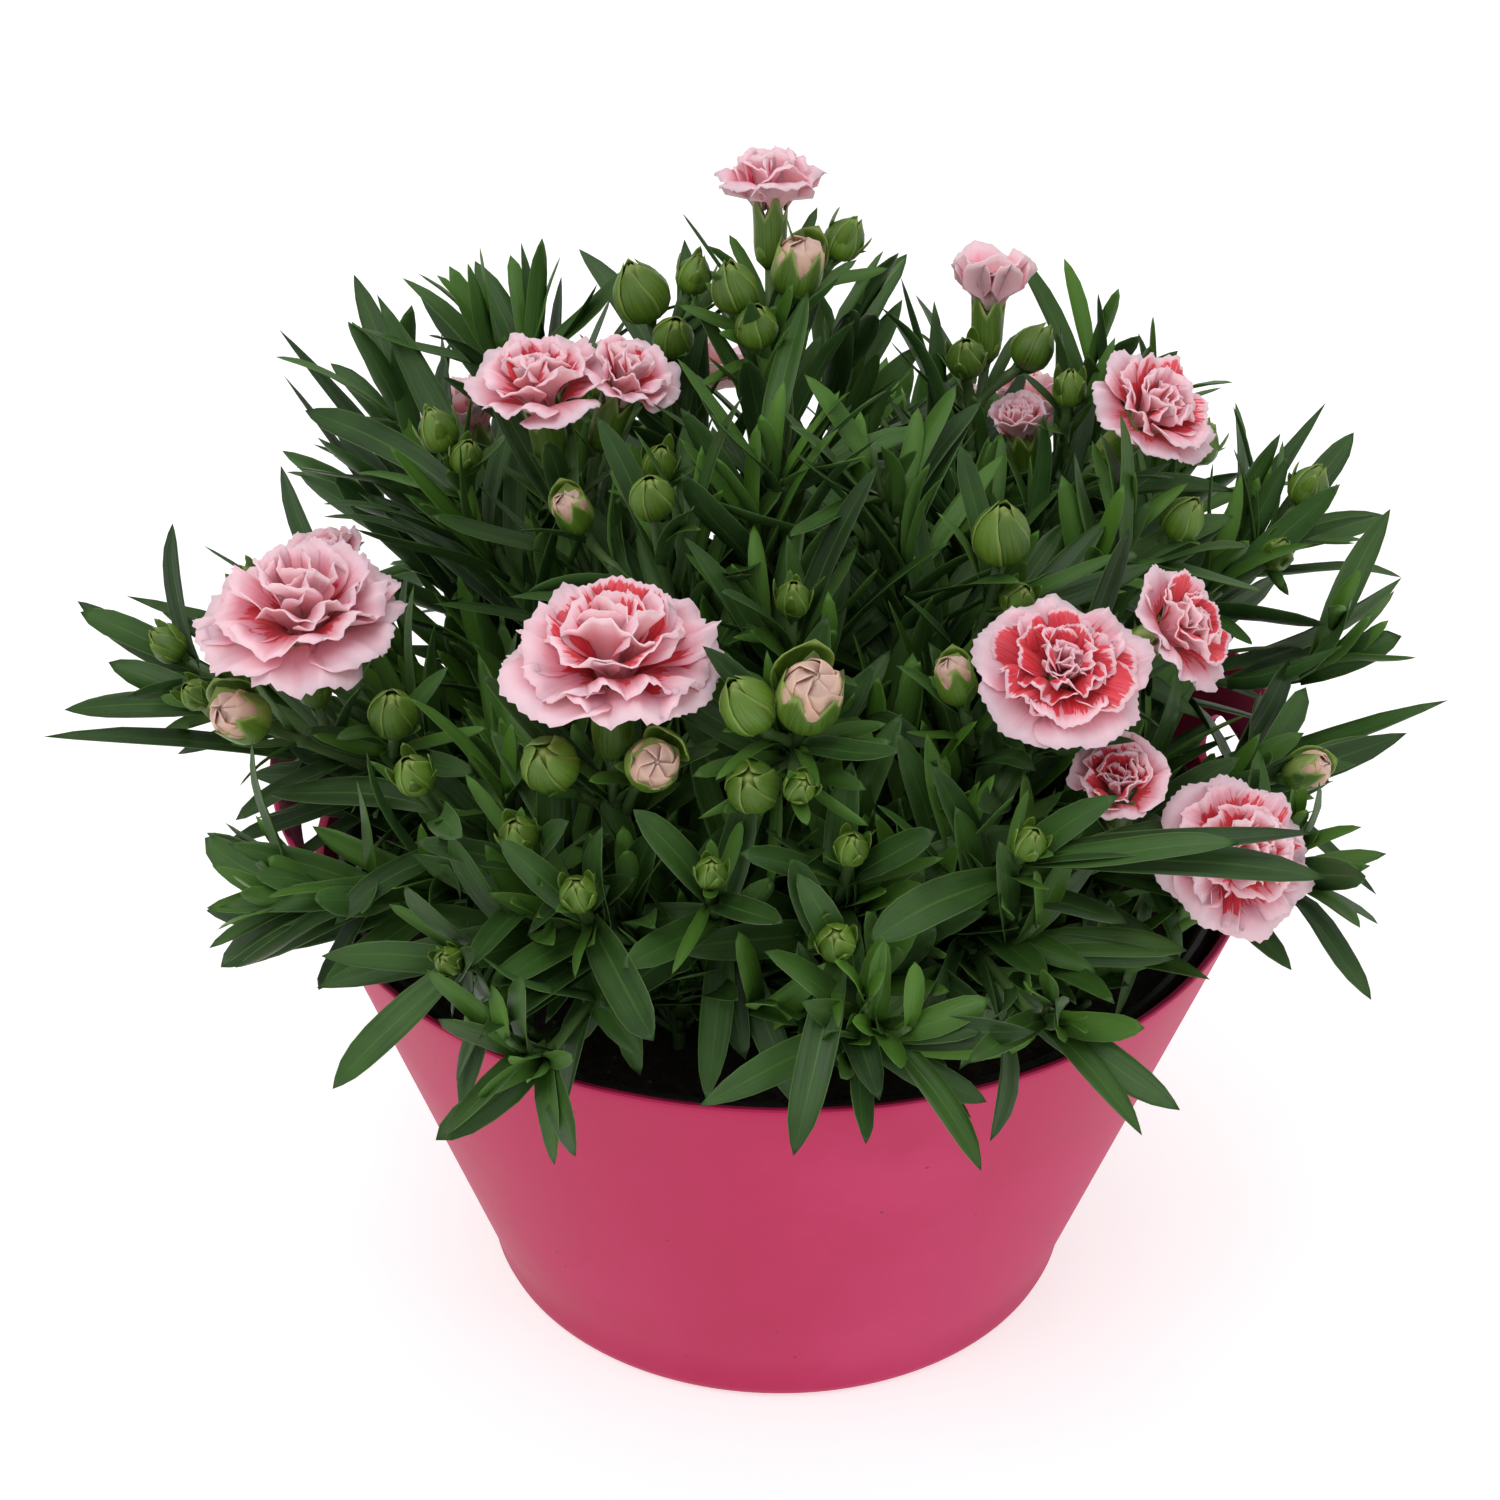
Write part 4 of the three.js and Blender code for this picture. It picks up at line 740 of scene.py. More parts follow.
@dataclass(frozen=True)
class StemSkin:
    """The skin of stems, with a wax bloom and paler swollen nodes."""

    name: str = "stem skin"
    deep: Colour = Colour(46, 66, 34)
    light: Colour = Colour(84, 112, 58)

    def make(self, effects: Effects) -> bpy.types.Material:
        """Make the material. The first tint is the shade and the second makes it paler."""
        skin = Skin(self.name)
        shade, pale, _ = skin.split(skin.place("tint"))
        veins = skin.group(effects.veins, Vector=skin.place("place"), Count=16.0, Wander=0.2, Stretch=14.0)[0]
        tone = skin.plus(skin.times(shade, 0.5), skin.times(veins, 0.6))
        skin.wear(skin.mix(skin.plus(tone, pale), self.deep, self.light), 0.5, 0.4)
        return skin.bump(veins, 0.3, 0.0002)


@dataclass(frozen=True)
class BudSkin:
    """The smooth ribbed skin of buds and calyxes, yellow green, with paler tips."""

    name: str = "bud skin"
    deep: Colour = Colour(54, 82, 18)
    light: Colour = Colour(100, 134, 40)
    tip: Colour = Colour(148, 164, 84)

    def make(self, effects: Effects) -> bpy.types.Material:
        """Make the material. v runs from the base to the tip."""
        skin = Skin(self.name)
        place = skin.place("place")
        across, along, _ = skin.split(place)
        shade = skin.split(skin.place("tint"))[0]
        veins = skin.group(effects.veins, Vector=place, Count=60.0, Wander=0.15, Stretch=1.2)[0]
        tone = skin.plus(skin.times(shade, 0.55), skin.step(veins, 0.35, 0.65, 0.0, 0.55))
        colour = skin.mix(tone, self.deep, self.light)
        colour = skin.mix(skin.times(skin.step(along, 0.8, 1.0), 0.6), colour, self.tip)
        margin = skin.step(skin.from_middle(across), 0.43, 0.48)
        skin.wear(skin.mix(skin.times(margin, 0.5), colour, self.tip), 0.42, 0.45)
        return skin.bump(veins, 0.35, 0.0003)


@dataclass(frozen=True)
class PetalSkin:
    """A petal: pale at its margin, saturated pink low down, and flushed in streaks from its base as deep as
    the first tint says. The pink and the flush low on it are partly its own colour and partly painted warm
    shade.
    """

    name: str
    # pale: the saturated pink low on the petal, partly its own colour and partly painted warm shade between
    # petals
    pale: Colour
    margin: Colour
    flush: Colour
    deep: Colour
    claw: Colour
    reach: float

    GLOW_DEPTHS = (0.005, 0.0022, 0.002)

    def make(self, effects: Effects) -> bpy.types.Material:
        """Make the material. v runs from the claw to the toothed margin."""
        skin = Skin(self.name)
        across, along, _ = skin.split(skin.place("place"))
        flush_share, seed, _ = skin.split(skin.place("tint"))
        moved = skin.node("CombineXYZ", None, X=across, Y=along, Z=skin.times(seed, 40.0)).outputs[0]
        streaks = skin.group(effects.veins, Vector=moved, Count=14.0, Wander=0.5, Stretch=1.4)
        fine = skin.group(effects.veins, Vector=moved, Count=60.0, Wander=0.2, Stretch=1.5)[0]
        wander = skin.plus(skin.times(skin.minus(streaks[0], 0.5), 0.7),
                           skin.times(skin.minus(streaks[1], 0.5), 0.6))
        crisp = skin.minus(fine, 0.5)
        wander = skin.plus(wander, skin.times(crisp, 0.3))
        side = skin.step(skin.from_middle(across), 0.43, 0.5, 0.0, 0.3)
        level = skin.plus(skin.plus(along, side), wander)
        # How deep the red flush reaches: partly the bloom's own red heart and partly painted warm shade deep
        # in the bloom
        limit = skin.times(flush_share, self.reach)
        # Painted warm shade: the saturated pink low on the petal, partly its own colour, stands in for warm
        # shade between petals and pales towards the margin
        ground = skin.mix(skin.step(along, 0.6, 0.95), self.pale, self.margin)
        ground = skin.mix(skin.step(level, skin.plus(limit, 0.3), limit, 0.0, 0.3), ground, self.flush)
        red = skin.mix(skin.step(fine, 0.3, 0.7), self.flush, self.deep)
        colour = skin.mix(skin.step(level, limit, skin.minus(limit, 0.07)), ground, red)
        rim = skin.step(skin.plus(along, skin.times(crisp, 0.08)), 0.925, 0.96)
        colour = skin.mix(skin.times(rim, 0.85), colour, self.margin)
        colour = skin.mix(skin.times(skin.step(along, 0.22, 0.05), 0.7), colour, self.claw)
        skin.wear(colour, 0.55, 0.3, Sheen_Weight=0.1, Subsurface_Weight=0.45,
                  Subsurface_Radius=self.GLOW_DEPTHS,
                  Subsurface_Scale=1.0)
        return skin.bump(fine, 0.25, 0.00035)


@dataclass(frozen=True)
class StudioPaper:
    """Plain pale paper for the floor."""

    name: str = "studio paper"
    body: Colour = Colour(204, 204, 204)
    light: Colour = Colour(255, 255, 255)
    glow: float = 0.6

    def make(self) -> bpy.types.Material:
        """Make the material."""
        skin = Skin(self.name)
        skin.wear(self.body, 0.85, 0.1, Emission_Color=self.light, Emission_Strength=self.glow)
        return skin.bump(skin.noise(skin.where(), 700.0), 0.05, 0.0001)


class Finishes:
    """Every finish of the object, made once."""

    def __init__(self) -> None:
        """Make the materials."""
        effects = Effects()
        self.leaf = LeafSkin("leaf upper side", deep=Colour(24, 48, 15), light=Colour(57, 91, 36),
                             fresh=Colour(94, 142, 42), rib=Colour(74, 112, 44), margin=Colour(116, 144, 82),
                             roughness=0.46).make(effects)
        self.leaf_back = LeafSkin("leaf under side", deep=Colour(34, 62, 26), light=Colour(64, 100, 46),
                                  fresh=Colour(94, 138, 54), rib=Colour(88, 124, 62),
                                  margin=Colour(114, 142, 82), roughness=0.55).make(effects)
        self.stem = StemSkin().make(effects)
        self.bud = BudSkin().make(effects)
        # The petals' saturated pink base and red flush are partly their own colour and partly painted warm
        # shade between the petals
        self.petal = PetalSkin("petal upper side", pale=Colour(244, 154, 172), margin=Colour(247, 194, 206),
                               flush=Colour(228, 66, 82), deep=Colour(210, 26, 38),
                               claw=Colour(210, 160, 118), reach=1.0).make(effects)
        self.petal_back = PetalSkin("petal under side", pale=Colour(246, 184, 194),
                                    margin=Colour(248, 200, 208), flush=Colour(232, 134, 150),
                                    deep=Colour(222, 100, 118), claw=Colour(228, 206, 172),
                                    reach=0.45).make(effects)
        self.cream = PetalSkin("folded petals", pale=Colour(230, 170, 148), margin=Colour(236, 186, 168),
                               flush=Colour(222, 138, 128), deep=Colour(206, 112, 106),
                               claw=Colour(200, 190, 112), reach=0.5).make(effects)
        self.bowl = MouldedPlastic("raspberry plastic", body=Colour(180, 28, 80), faded=Colour(204, 64, 114),
                                   speck=Colour(96, 44, 50), roughness=0.5, speck_share=0.08, dust=0.6,
                                   shine=0.2).make(effects)
        self.liner = MouldedPlastic("black plastic", body=Colour(24, 24, 24), faded=Colour(56, 54, 50),
                                    speck=Colour(110, 96, 80), roughness=0.32, speck_share=0.12, dust=0.6,
                                    shine=0.5).make(effects)
        self.soil = PottingSoil().make(effects)
        self.paper = StudioPaper().make()


# ------------------------------------------------------------------------------------------- modelling


@dataclass
class Pattern:
    """A small mesh that is modelled once and bent into many places.

    Its corners are kept as u across, v along and w through it, and its faces as corner lists, each of a kind.
    """

    u: Array
    v: Array
    w: Array
    loops: Array
    totals: Array
    kinds: Array

    @classmethod
    def take(cls, kind_of: Callable[[Vector], int] = lambda normal: 0) -> "Pattern":
        """Read the active object as a pattern and remove it.

        Args:
            kind_of: Gives a face's kind, such as its upper or lower side, from its normal.

        Returns:
            The pattern.
        """
        piece = bpy.context.object
        mesh = piece.data
        corners = np.array([v.co[:] for v in mesh.vertices])
        loops = np.array([i for p in mesh.polygons for i in p.vertices])
        totals = np.array([len(p.vertices) for p in mesh.polygons])
        kinds = np.array([kind_of(p.normal) for p in mesh.polygons])
        bpy.data.objects.remove(piece)
        bpy.data.meshes.remove(mesh)
        return cls(corners[:, 0], corners[:, 1], corners[:, 2], loops, totals, kinds)


def start_edit() -> None:
    """Open the active object for editing with all of it selected."""
    bpy.ops.object.mode_set(mode="EDIT")
    bpy.ops.mesh.select_all(action="SELECT")


def select_where(test: Callable[[Vector], bool]) -> None:
    """Select the corners of the open mesh that pass a test, and nothing else."""
    bpy.ops.mesh.select_mode(type="VERT")
    bpy.ops.mesh.select_all(action="DESELECT")
    bpy.ops.object.mode_set(mode="OBJECT")
    for corner in bpy.context.object.data.vertices:
        corner.select = test(corner.co)
    bpy.ops.object.mode_set(mode="EDIT")


def blade_pattern(across: int, along: int, pointed: bool) -> Pattern:
    """Model a flat blade: u from -1 to 1, v from 0 at the root to 1 at the end, w 0 above and -1 beneath.

    Args:
        across: Faces across the blade.
        along: Faces along the blade.
        pointed: Whether the end is drawn together to a tip.

    Returns:
        The pattern, whose faces are of kind 0 above and 1 beneath.
    """
    bpy.ops.mesh.primitive_grid_add(x_subdivisions=across, y_subdivisions=along, size=2, location=(0, 0, 0))
    start_edit()
    bpy.ops.transform.translate(value=(0, 1, 0))
    bpy.ops.transform.resize(value=(1, 0.5, 1), center_override=(0, 0, 0))
    bpy.ops.mesh.extrude_region_move(TRANSFORM_OT_translate={"value": (0, 0, -1)})
    if pointed:
        select_where(lambda co: co.y > 0.999)
        bpy.ops.mesh.merge(type="CENTER")
    bpy.ops.mesh.select_all(action="SELECT")
    bpy.ops.mesh.normals_make_consistent(inside=False)
    bpy.ops.object.mode_set(mode="OBJECT")
    return Pattern.take(lambda normal: 1 if normal.z < -0.5 else 0)


def tube_pattern(sides: int, rings: int, pointed: bool = False) -> Pattern:
    """Model a closed tube: u and w on the unit circle, v from 0 to 1 along it.

    Args:
        sides: Faces round the tube.
        rings: Faces along the tube.
        pointed: Whether the far end is drawn together to a tip.

    Returns:
        The pattern.
    """
    bpy.ops.mesh.primitive_circle_add(vertices=sides, radius=1, fill_type="NGON", location=(0, 0, 0))
    start_edit()
    bpy.ops.transform.rotate(value=math.pi / 2, orient_axis="X", center_override=(0, 0, 0))
    for _ in range(rings):
        bpy.ops.mesh.extrude_region_move(TRANSFORM_OT_translate={"value": (0, 1 / rings, 0)})
    if pointed:
        bpy.ops.mesh.merge(type="CENTER")
    bpy.ops.mesh.select_all(action="SELECT")
    bpy.ops.mesh.normals_make_consistent(inside=False)
    bpy.ops.object.mode_set(mode="OBJECT")
    return Pattern.take()


@dataclass
class Batch:
    """Bent copies of patterns that make up one piece."""

    finishes: Sequence[bpy.types.Material]
    points: list[Array] = field(default_factory=list)
    loops: list[Array] = field(default_factory=list)
    totals: list[Array] = field(default_factory=list)
    slots: list[Array] = field(default_factory=list)
    places: list[Array] = field(default_factory=list)
    tints: list[Array] = field(default_factory=list)
    count: int = 0

    def add(self, pattern: Pattern, points: Array, slot: int, tint: tuple[float, float],
            under: int | None = None) -> None:
        """Add one copy.

        Args:
            pattern: What is copied.
            points: The place of each of its corners.
            slot: The finish of its faces, as an index into finishes.
            tint: Two numbers from 0 to 1 that set the copy's own shade.
            under: The finish of the faces of kind 1, where it differs.
        """
        self.points.append(points)
        self.loops.append(pattern.loops + self.count)
        self.totals.append(pattern.totals)
        self.slots.append(np.where(pattern.kinds == 1, slot if under is None else under, slot))
        uv = np.stack([pattern.u * 0.5 + 0.5, pattern.v], axis=1)
        self.places.append(uv[pattern.loops])
        self.tints.append(np.tile(tint, (len(pattern.loops), 1)))
        self.count += len(points)

    def build(self, name: str) -> bpy.types.Object:
        """Make the piece in metres, smooth shaded, with its finishes.

        Args:
            name: The piece's name.

        Returns:
            The object, at the origin.
        """
        mesh = bpy.data.meshes.new(name)
        points = np.concatenate(self.points) * MM
        loops = np.concatenate(self.loops)
        totals = np.concatenate(self.totals)
        mesh.vertices.add(len(points))
        mesh.vertices.foreach_set("co", points.astype(np.float32).ravel())
        mesh.loops.add(len(loops))
        mesh.loops.foreach_set("vertex_index", loops.astype(np.int32))
        mesh.polygons.add(len(totals))
        mesh.polygons.foreach_set("loop_start", (np.cumsum(totals) - totals).astype(np.int32))
        mesh.update(calc_edges=True)
        for layer, rows in (("place", self.places), ("tint", self.tints)):
            flat = np.concatenate(rows).astype(np.float32).ravel()
            mesh.uv_layers.new(name=layer).data.foreach_set("uv", flat)
        for finish in self.finishes:
            mesh.materials.append(finish)
        mesh.polygons.foreach_set("material_index", np.concatenate(self.slots).astype(np.int32))
        mesh.polygons.foreach_set("use_smooth", np.ones(len(totals), bool))
        mesh.update()
        piece = bpy.data.objects.new(name, mesh)
        bpy.context.scene.collection.objects.link(piece)
        return piece


def fit(piece: bpy.types.Object, node: str) -> None:
    """Let a piece stand for a solid and ride on the part's body.

    Args:
        piece: The finished piece.
        node: The solid that it replaces.
    """
    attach(piece, "root")
    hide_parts(node)
    faces = sum(len(p.vertices) - 2 for p in piece.data.polygons)
    log.info("%s stands for %s: %d triangles", piece.name, node, faces)


# ---------------------------------------------------------------------------------- bowl, pot and soil


# The bowl: its rim, its bottom edge, its ears with the angles where their level top and they end, its wall.
RIM_HEIGHT = 121.0
RIM_RADIUS = 115.0
EDGE_RADIUS = 74.4
EDGE_HEIGHT = 7.0
EAR_RISE = 24.0
EAR_FLAT_ANGLE = 15.0
EAR_HALF_ANGLE = 27.0
BOWL_WALL = 2.2
# Radius and height of the grow pot's wall at its foot and under its lip, and the soil in it.
POT_FOOT = (63.0, 3.3)
POT_SHOULDER = (103.8, 107.0)
SOIL_LEVEL = 103.0
SOIL_MOUND = 5.0
MOUND_POWER = 0.7


def bowl_radius(height: float | Array) -> float | Array:
    """Return the bowl's outer radius at a height."""
    return EDGE_RADIUS + (RIM_RADIUS - EDGE_RADIUS) * (height - EDGE_HEIGHT) / (RIM_HEIGHT - EDGE_HEIGHT)


def rim_height(angle: float) -> float:
    """Return the height of the rim round the bowl: level, and swung up into an ear at each end of X."""
    from_ear = math.degrees(math.asin(abs(math.sin(angle))))
    return RIM_HEIGHT + EAR_RISE * (1 - smooth(EAR_FLAT_ANGLE, EAR_HALF_ANGLE, from_ear))


def turned_shell(rows: Sequence[tuple[float, float]], sides: int) -> bpy.types.Object:
    """Model a closed turned shell: a disc, drawn up and back down through rows, that ends in another disc.

    Args:
        rows: The radius and height of each ring, in millimetres, from the underside to the inside.
        sides: Faces round it.

    Returns:
        The object.
    """
    bpy.ops.object.select_all(action="DESELECT")
    radius, height = rows[0]
    bpy.ops.mesh.primitive_circle_add(vertices=sides, radius=radius * MM, fill_type="NGON",
                                      location=(0, 0, height * MM))
    bpy.ops.object.transform_apply(location=True, rotation=False, scale=False)
    start_edit()
    for next_radius, next_height in rows[1:]:
        step = (0, 0, (next_height - height) * MM)
        bpy.ops.mesh.extrude_region_move(TRANSFORM_OT_translate={"value": step})
        scale = next_radius / radius
        bpy.ops.transform.resize(value=(scale, scale, 1), center_override=(0, 0, next_height * MM))
        radius, height = next_radius, next_height
    bpy.ops.mesh.select_all(action="SELECT")
    bpy.ops.mesh.normals_make_consistent(inside=False)
    bpy.ops.object.mode_set(mode="OBJECT")
    return bpy.context.object


@dataclass
class Bowl:
    """The two-eared bowl that the grow pot stands in."""

    sides: int = 180
    foot_radius: float = 69.5
    floor: float = 3.0
    stretch_from: float = 100.0
    hole_low: float = 118.0
    hole_high: float = 131.0
    hole_width: float = 60.0
    hole_segments: int = 10
    edge_width: float = 0.5

    def rows(self) -> list[tuple[float, float]]:
        """Return the shell's rings: base, foot curve, outer wall, rim, inner wall and floor."""
        outer = [(bowl_radius(h), h) for h in (16, 34, 54, 74, 90, 100, 104, 108, 112, 116, 119)]
        inner = [(bowl_radius(h) - BOWL_WALL, h) for h in (119, 116, 112, 108, 104, 100, 80, 50, 20)]
        low, low_radius, high_radius = 120.6, bowl_radius(120.6), bowl_radius(RIM_HEIGHT)
        rim = [(low_radius - 0.15, low), (high_radius - 0.7, RIM_HEIGHT),
               (high_radius - BOWL_WALL + 0.7, RIM_HEIGHT), (low_radius - BOWL_WALL + 0.15, low)]
        foot = [(self.foot_radius, 0), (71.7, 0.35), (73.2, 1.5), (74.0, 3.4), (EDGE_RADIUS, EDGE_HEIGHT)]
        return [*foot, *outer, *rim, *inner, (70.5, 4.6), (self.foot_radius + 1, self.floor)]

    def build(self, finish: bpy.types.Material) -> None:
        """Make the piece."""
        bowl = turned_shell(self.rows(), self.sides)
        self.raise_ears(bowl)
        self.cut_holes(bowl)
        bowl.name = "bowl_shell"
        bowl.data.materials.clear()
        bowl.data.materials.append(finish)
        bpy.context.view_layer.objects.active = bowl
        bowl.select_set(True)
        bpy.ops.object.shade_smooth_by_angle(angle=math.radians(32))
        fit(bowl, "bowl")

    def raise_ears(self, bowl: bpy.types.Object) -> None:
        """Stretch the top of the wall up into the two ears, on along its own slope."""
        for corner in bowl.data.vertices:
            x, y, z = corner.co / MM
            radius = math.hypot(x, y)
            if z > self.stretch_from:
                angle = math.atan2(y, x)
                rise = rim_height(angle) - RIM_HEIGHT
                lift = rise * (z - self.stretch_from) / (RIM_HEIGHT - self.stretch_from)
                grown = radius + bowl_radius(z + lift) - bowl_radius(z)
                corner.co = Vector((grown * math.cos(angle), grown * math.sin(angle), z + lift)) * MM

    def cut_holes(self, bowl: bpy.types.Object) -> None:
        """Cut a finger hole with round ends through both ears, and round its edges."""
        height = self.hole_high - self.hole_low
        level = (self.hole_high + self.hole_low) / 2
        bpy.ops.object.select_all(action="DESELECT")
        bpy.ops.mesh.primitive_cube_add(size=1, location=(0, 0, level * MM))
        bar = bpy.context.object
        bar.scale = (0.3, self.hole_width * MM, height * MM)
        bpy.ops.object.transform_apply(location=True, rotation=False, scale=True)
        start_edit()
        bpy.ops.mesh.select_mode(type="EDGE")
        bpy.ops.mesh.select_all(action="DESELECT")
        bpy.ops.object.mode_set(mode="OBJECT")
        corners = bar.data.vertices
        for edge in bar.data.edges:
            a, b = (corners[i].co for i in edge.vertices)
            edge.select = abs(a.x - b.x) > 0.1
        bpy.ops.object.mode_set(mode="EDIT")
        bpy.ops.mesh.bevel(offset=(height / 2 - 0.05) * MM, segments=self.hole_segments, affect="EDGES")
        bpy.ops.object.mode_set(mode="OBJECT")
        bpy.ops.object.select_all(action="DESELECT")
        bowl.select_set(True)
        bpy.context.view_layer.objects.active = bowl
        cut = bowl.modifiers.new("holes", "BOOLEAN")
        cut.operation, cut.object, cut.solver = "DIFFERENCE", bar, "EXACT"
        bpy.ops.object.modifier_apply(modifier=cut.name)
        bpy.data.objects.remove(bar)
        edge = bowl.modifiers.new("edges", "BEVEL")
        edge.width, edge.segments = self.edge_width * MM, 2
        edge.limit_method, edge.angle_limit = "ANGLE", math.radians(55)
        bpy.ops.object.modifier_apply(modifier=edge.name)


@dataclass
class GrowPot:
    """The thin black pot that the plant grows in: its wall, its rolled lip and its inside, in rings."""

    sides: int = 120

    WALL = ((61.5, 3.3), (63.0, 4.2), (68.0, 16.5), (83.5, 55.5), (97.5, 91.0), POT_SHOULDER)
    LIP = ((105.6, 109.4), (107.8, 112.2), (108.9, 114.3), (108.9, 116.0), (108.1, 117.2), (106.8, 117.5),
           (105.6, 116.7), (104.4, 113.2))
    INSIDE = ((102.3, 107.0), (81.8, 55.5), (61.5, 4.8))

    def build(self, finish: bpy.types.Material) -> None:
        """Make the piece."""
        pot = turned_shell([*self.WALL, *self.LIP, *self.INSIDE], self.sides)
        pot.name = "grow_pot_wall"
        pot.data.materials.append(finish)
        bpy.ops.object.shade_smooth_by_angle(angle=math.radians(40))
        fit(pot, "grow_pot")


@dataclass
class Soil:
    """The potting soil, heaped towards the middle, with loose crumbs on it."""

    sides: int = 110
    rings: int = 26
    crumbs: int = 420
    radius: float = 100.0

    BODY = ((61.4, 5.1), (100.4, 101.4))
    TOP = 103.4
    # How close together the lumps are, and how high.
    WIDE_LUMPS = (0.11, 1.6)
    SMALL_LUMPS = (0.34, 1.1)
    CRUMB_SEED = 4000
    CRUMB_REACH = 98.0

    def build(self, finish: bpy.types.Material) -> None:
        """Make the piece."""
        shares = [i / self.rings for i in range(self.rings)]
        top = [(self.radius * (1 - i) + 0.35, self.TOP + SOIL_MOUND * i ** MOUND_POWER) for i in shares]
        soil = turned_shell([*self.BODY, *top], self.sides)
        for corner in soil.data.vertices:
            x, y, z = corner.co / MM
            if z > self.TOP - 0.9:
                (wide, high), (small, low) = self.WIDE_LUMPS, self.SMALL_LUMPS
                lumps = noise.noise(Vector((x, y, 0)) * wide) * high + noise.noise(Vector((x, y,
                                                                                           5)) * small) * low
                corner.co.z += lumps * MM * min(1.0, (self.radius + 1.5 - math.hypot(x, y)) / 8)
        start_edit()
        bpy.ops.mesh.select_all(action="DESELECT")
        for number in range(self.crumbs):
            self.add_crumb(number)
        bpy.ops.object.mode_set(mode="OBJECT")
        soil.name = "potting_soil"
        soil.data.materials.append(finish)
        bpy.ops.object.shade_smooth()
        fit(soil, "soil")

    def add_crumb(self, number: int) -> None:
        """Add one loose crumb to the open mesh, half sunk."""
        draw = Stream(self.CRUMB_SEED + number)
        radius, angle = self.CRUMB_REACH * math.sqrt(draw()), draw.between(0, 2 * math.pi)
        size = draw.between(0.7, 2.1)
        height = SOIL_LEVEL + 0.6 + SOIL_MOUND * (1 - radius / self.radius) ** MOUND_POWER
        place = (radius * math.cos(angle) * MM, radius * math.sin(angle) * MM, height * MM)
        turn = (draw.between(0, 3), draw.between(0, 3), draw.between(0, 3))
        bpy.ops.mesh.primitive_ico_sphere_add(subdivisions=1, radius=size * MM, location=place, rotation=turn)
        squash = (draw.between(0.7, 1.3), draw.between(0.7, 1.3), draw.between(0.5, 0.9))
        bpy.ops.transform.resize(value=squash, center_override=place)


# ----------------------------------------------------------------------------------- leaves and shoots


STEM_DEPTH = 14.0
STEM_RADII = (1.7, 1.4)
TWIG_RADII = (1.4, 1.4)
STEM_SIDES = 4
TWIG_SIDES = 3
NODE_HALF_HEIGHT = 1.5
NODE_SWELLING = 1.15
STEM_LONGEST_STEP = 0.34
STEM_TRIES = 24
LEAF_TRIES = 60
LEAF_SHORTENING = 0.26
LEAF_SPLAY = (57, 37)
MATCH_GAP = 0.03


@dataclass(frozen=True)
class Leaf:
    """A leaf: an arc from its root to its tip that bulges on its upper side."""

    root: Array
    axis: Array
    tip: Array
    width: float
    bulge: float
    roll: float
    sway: float = 0.0
    curl: float = 0.0
    youth: float = 0.0
    bluntness: float = 0.4

    # Half widths of a sharp and of a blunt leaf at shares of its length. Past the first width, widths grow
    # by the second number only.
    SHARES = (0.0, 0.06, 0.17, 0.3, 0.42, 0.56, 0.68, 0.8, 0.9, 1.0)
    SHARP = (0.48, 0.56, 0.78, 0.95, 1.0, 0.98, 0.9, 0.7, 0.42, 0.0)
    BLUNT = (0.44, 0.52, 0.72, 0.9, 0.98, 1.0, 1.0, 0.93, 0.7, 0.0)
    SLENDER = (7.0, 0.5)
    TIP_CROWDING = 1.35
    # How far the margins fold up all along, and how much further at the root.
    FOLD = (0.2, 0.75)
    THICKNESS = 0.12
    KEEL = 0.55
    SETTLED = 0.15

    @property
    def arc(self) -> Bend:
        """The leaf's middle line."""
        chord = self.tip - self.root
        length = float(np.linalg.norm(chord))
        upper = square(self.axis, chord / length)
        middle = (self.root + self.tip) / 2 + self.bulge * length * upper
        return Bend((self.root, middle, self.tip))

    def points(self, blade: Pattern) -> Array:
        """Bend a flat blade into this leaf.

        Args:
            blade: The pattern of a flat blade.

        Returns:
            The place of each of its corners.
        """
        chord = self.tip - self.root
        length = float(np.linalg.norm(chord))
        upper = square(self.axis, chord / length)
        across = unit(np.cross(upper, chord))
        arc = self.arc
        u, v = blade.u, 1 - (1 - blade.v) ** self.TIP_CROWDING
        along = arc.tangent(v)
        side = swung(np.broadcast_to(across, along.shape), along, self.roll * v)
        up = np.cross(along, side)
        at = arc.at(v)
        at = at + across * (self.sway * length * np.sin(math.pi * v))[:, None]
        at = at + upper * (self.curl * length * np.sin(2 * math.pi * v))[:, None]
        plain, share = self.SLENDER
        width = self.width if self.width < plain else plain + share * (self.width - plain)
        sharp, blunt = np.interp(v, self.SHARES, self.SHARP), np.interp(v, self.SHARES, self.BLUNT)
        half = 0.5 * width * lerp(sharp, blunt, self.bluntness)
        everywhere, at_root = self.FOLD
        fold = half * (everywhere + at_root * (1 - v) ** 4) * np.abs(u) ** 1.5
        rib = self.KEEL * (1 - np.abs(u)) ** 1.2
        keel = self.THICKNESS + min(1.0, self.width / 9) * rib * (1 - 0.6 * v)
        lift = fold - self.SETTLED + np.where(blade.w < -0.5, -keel, 0.0)
        return at - side * (half * u)[:, None] + up * lift[:, None]


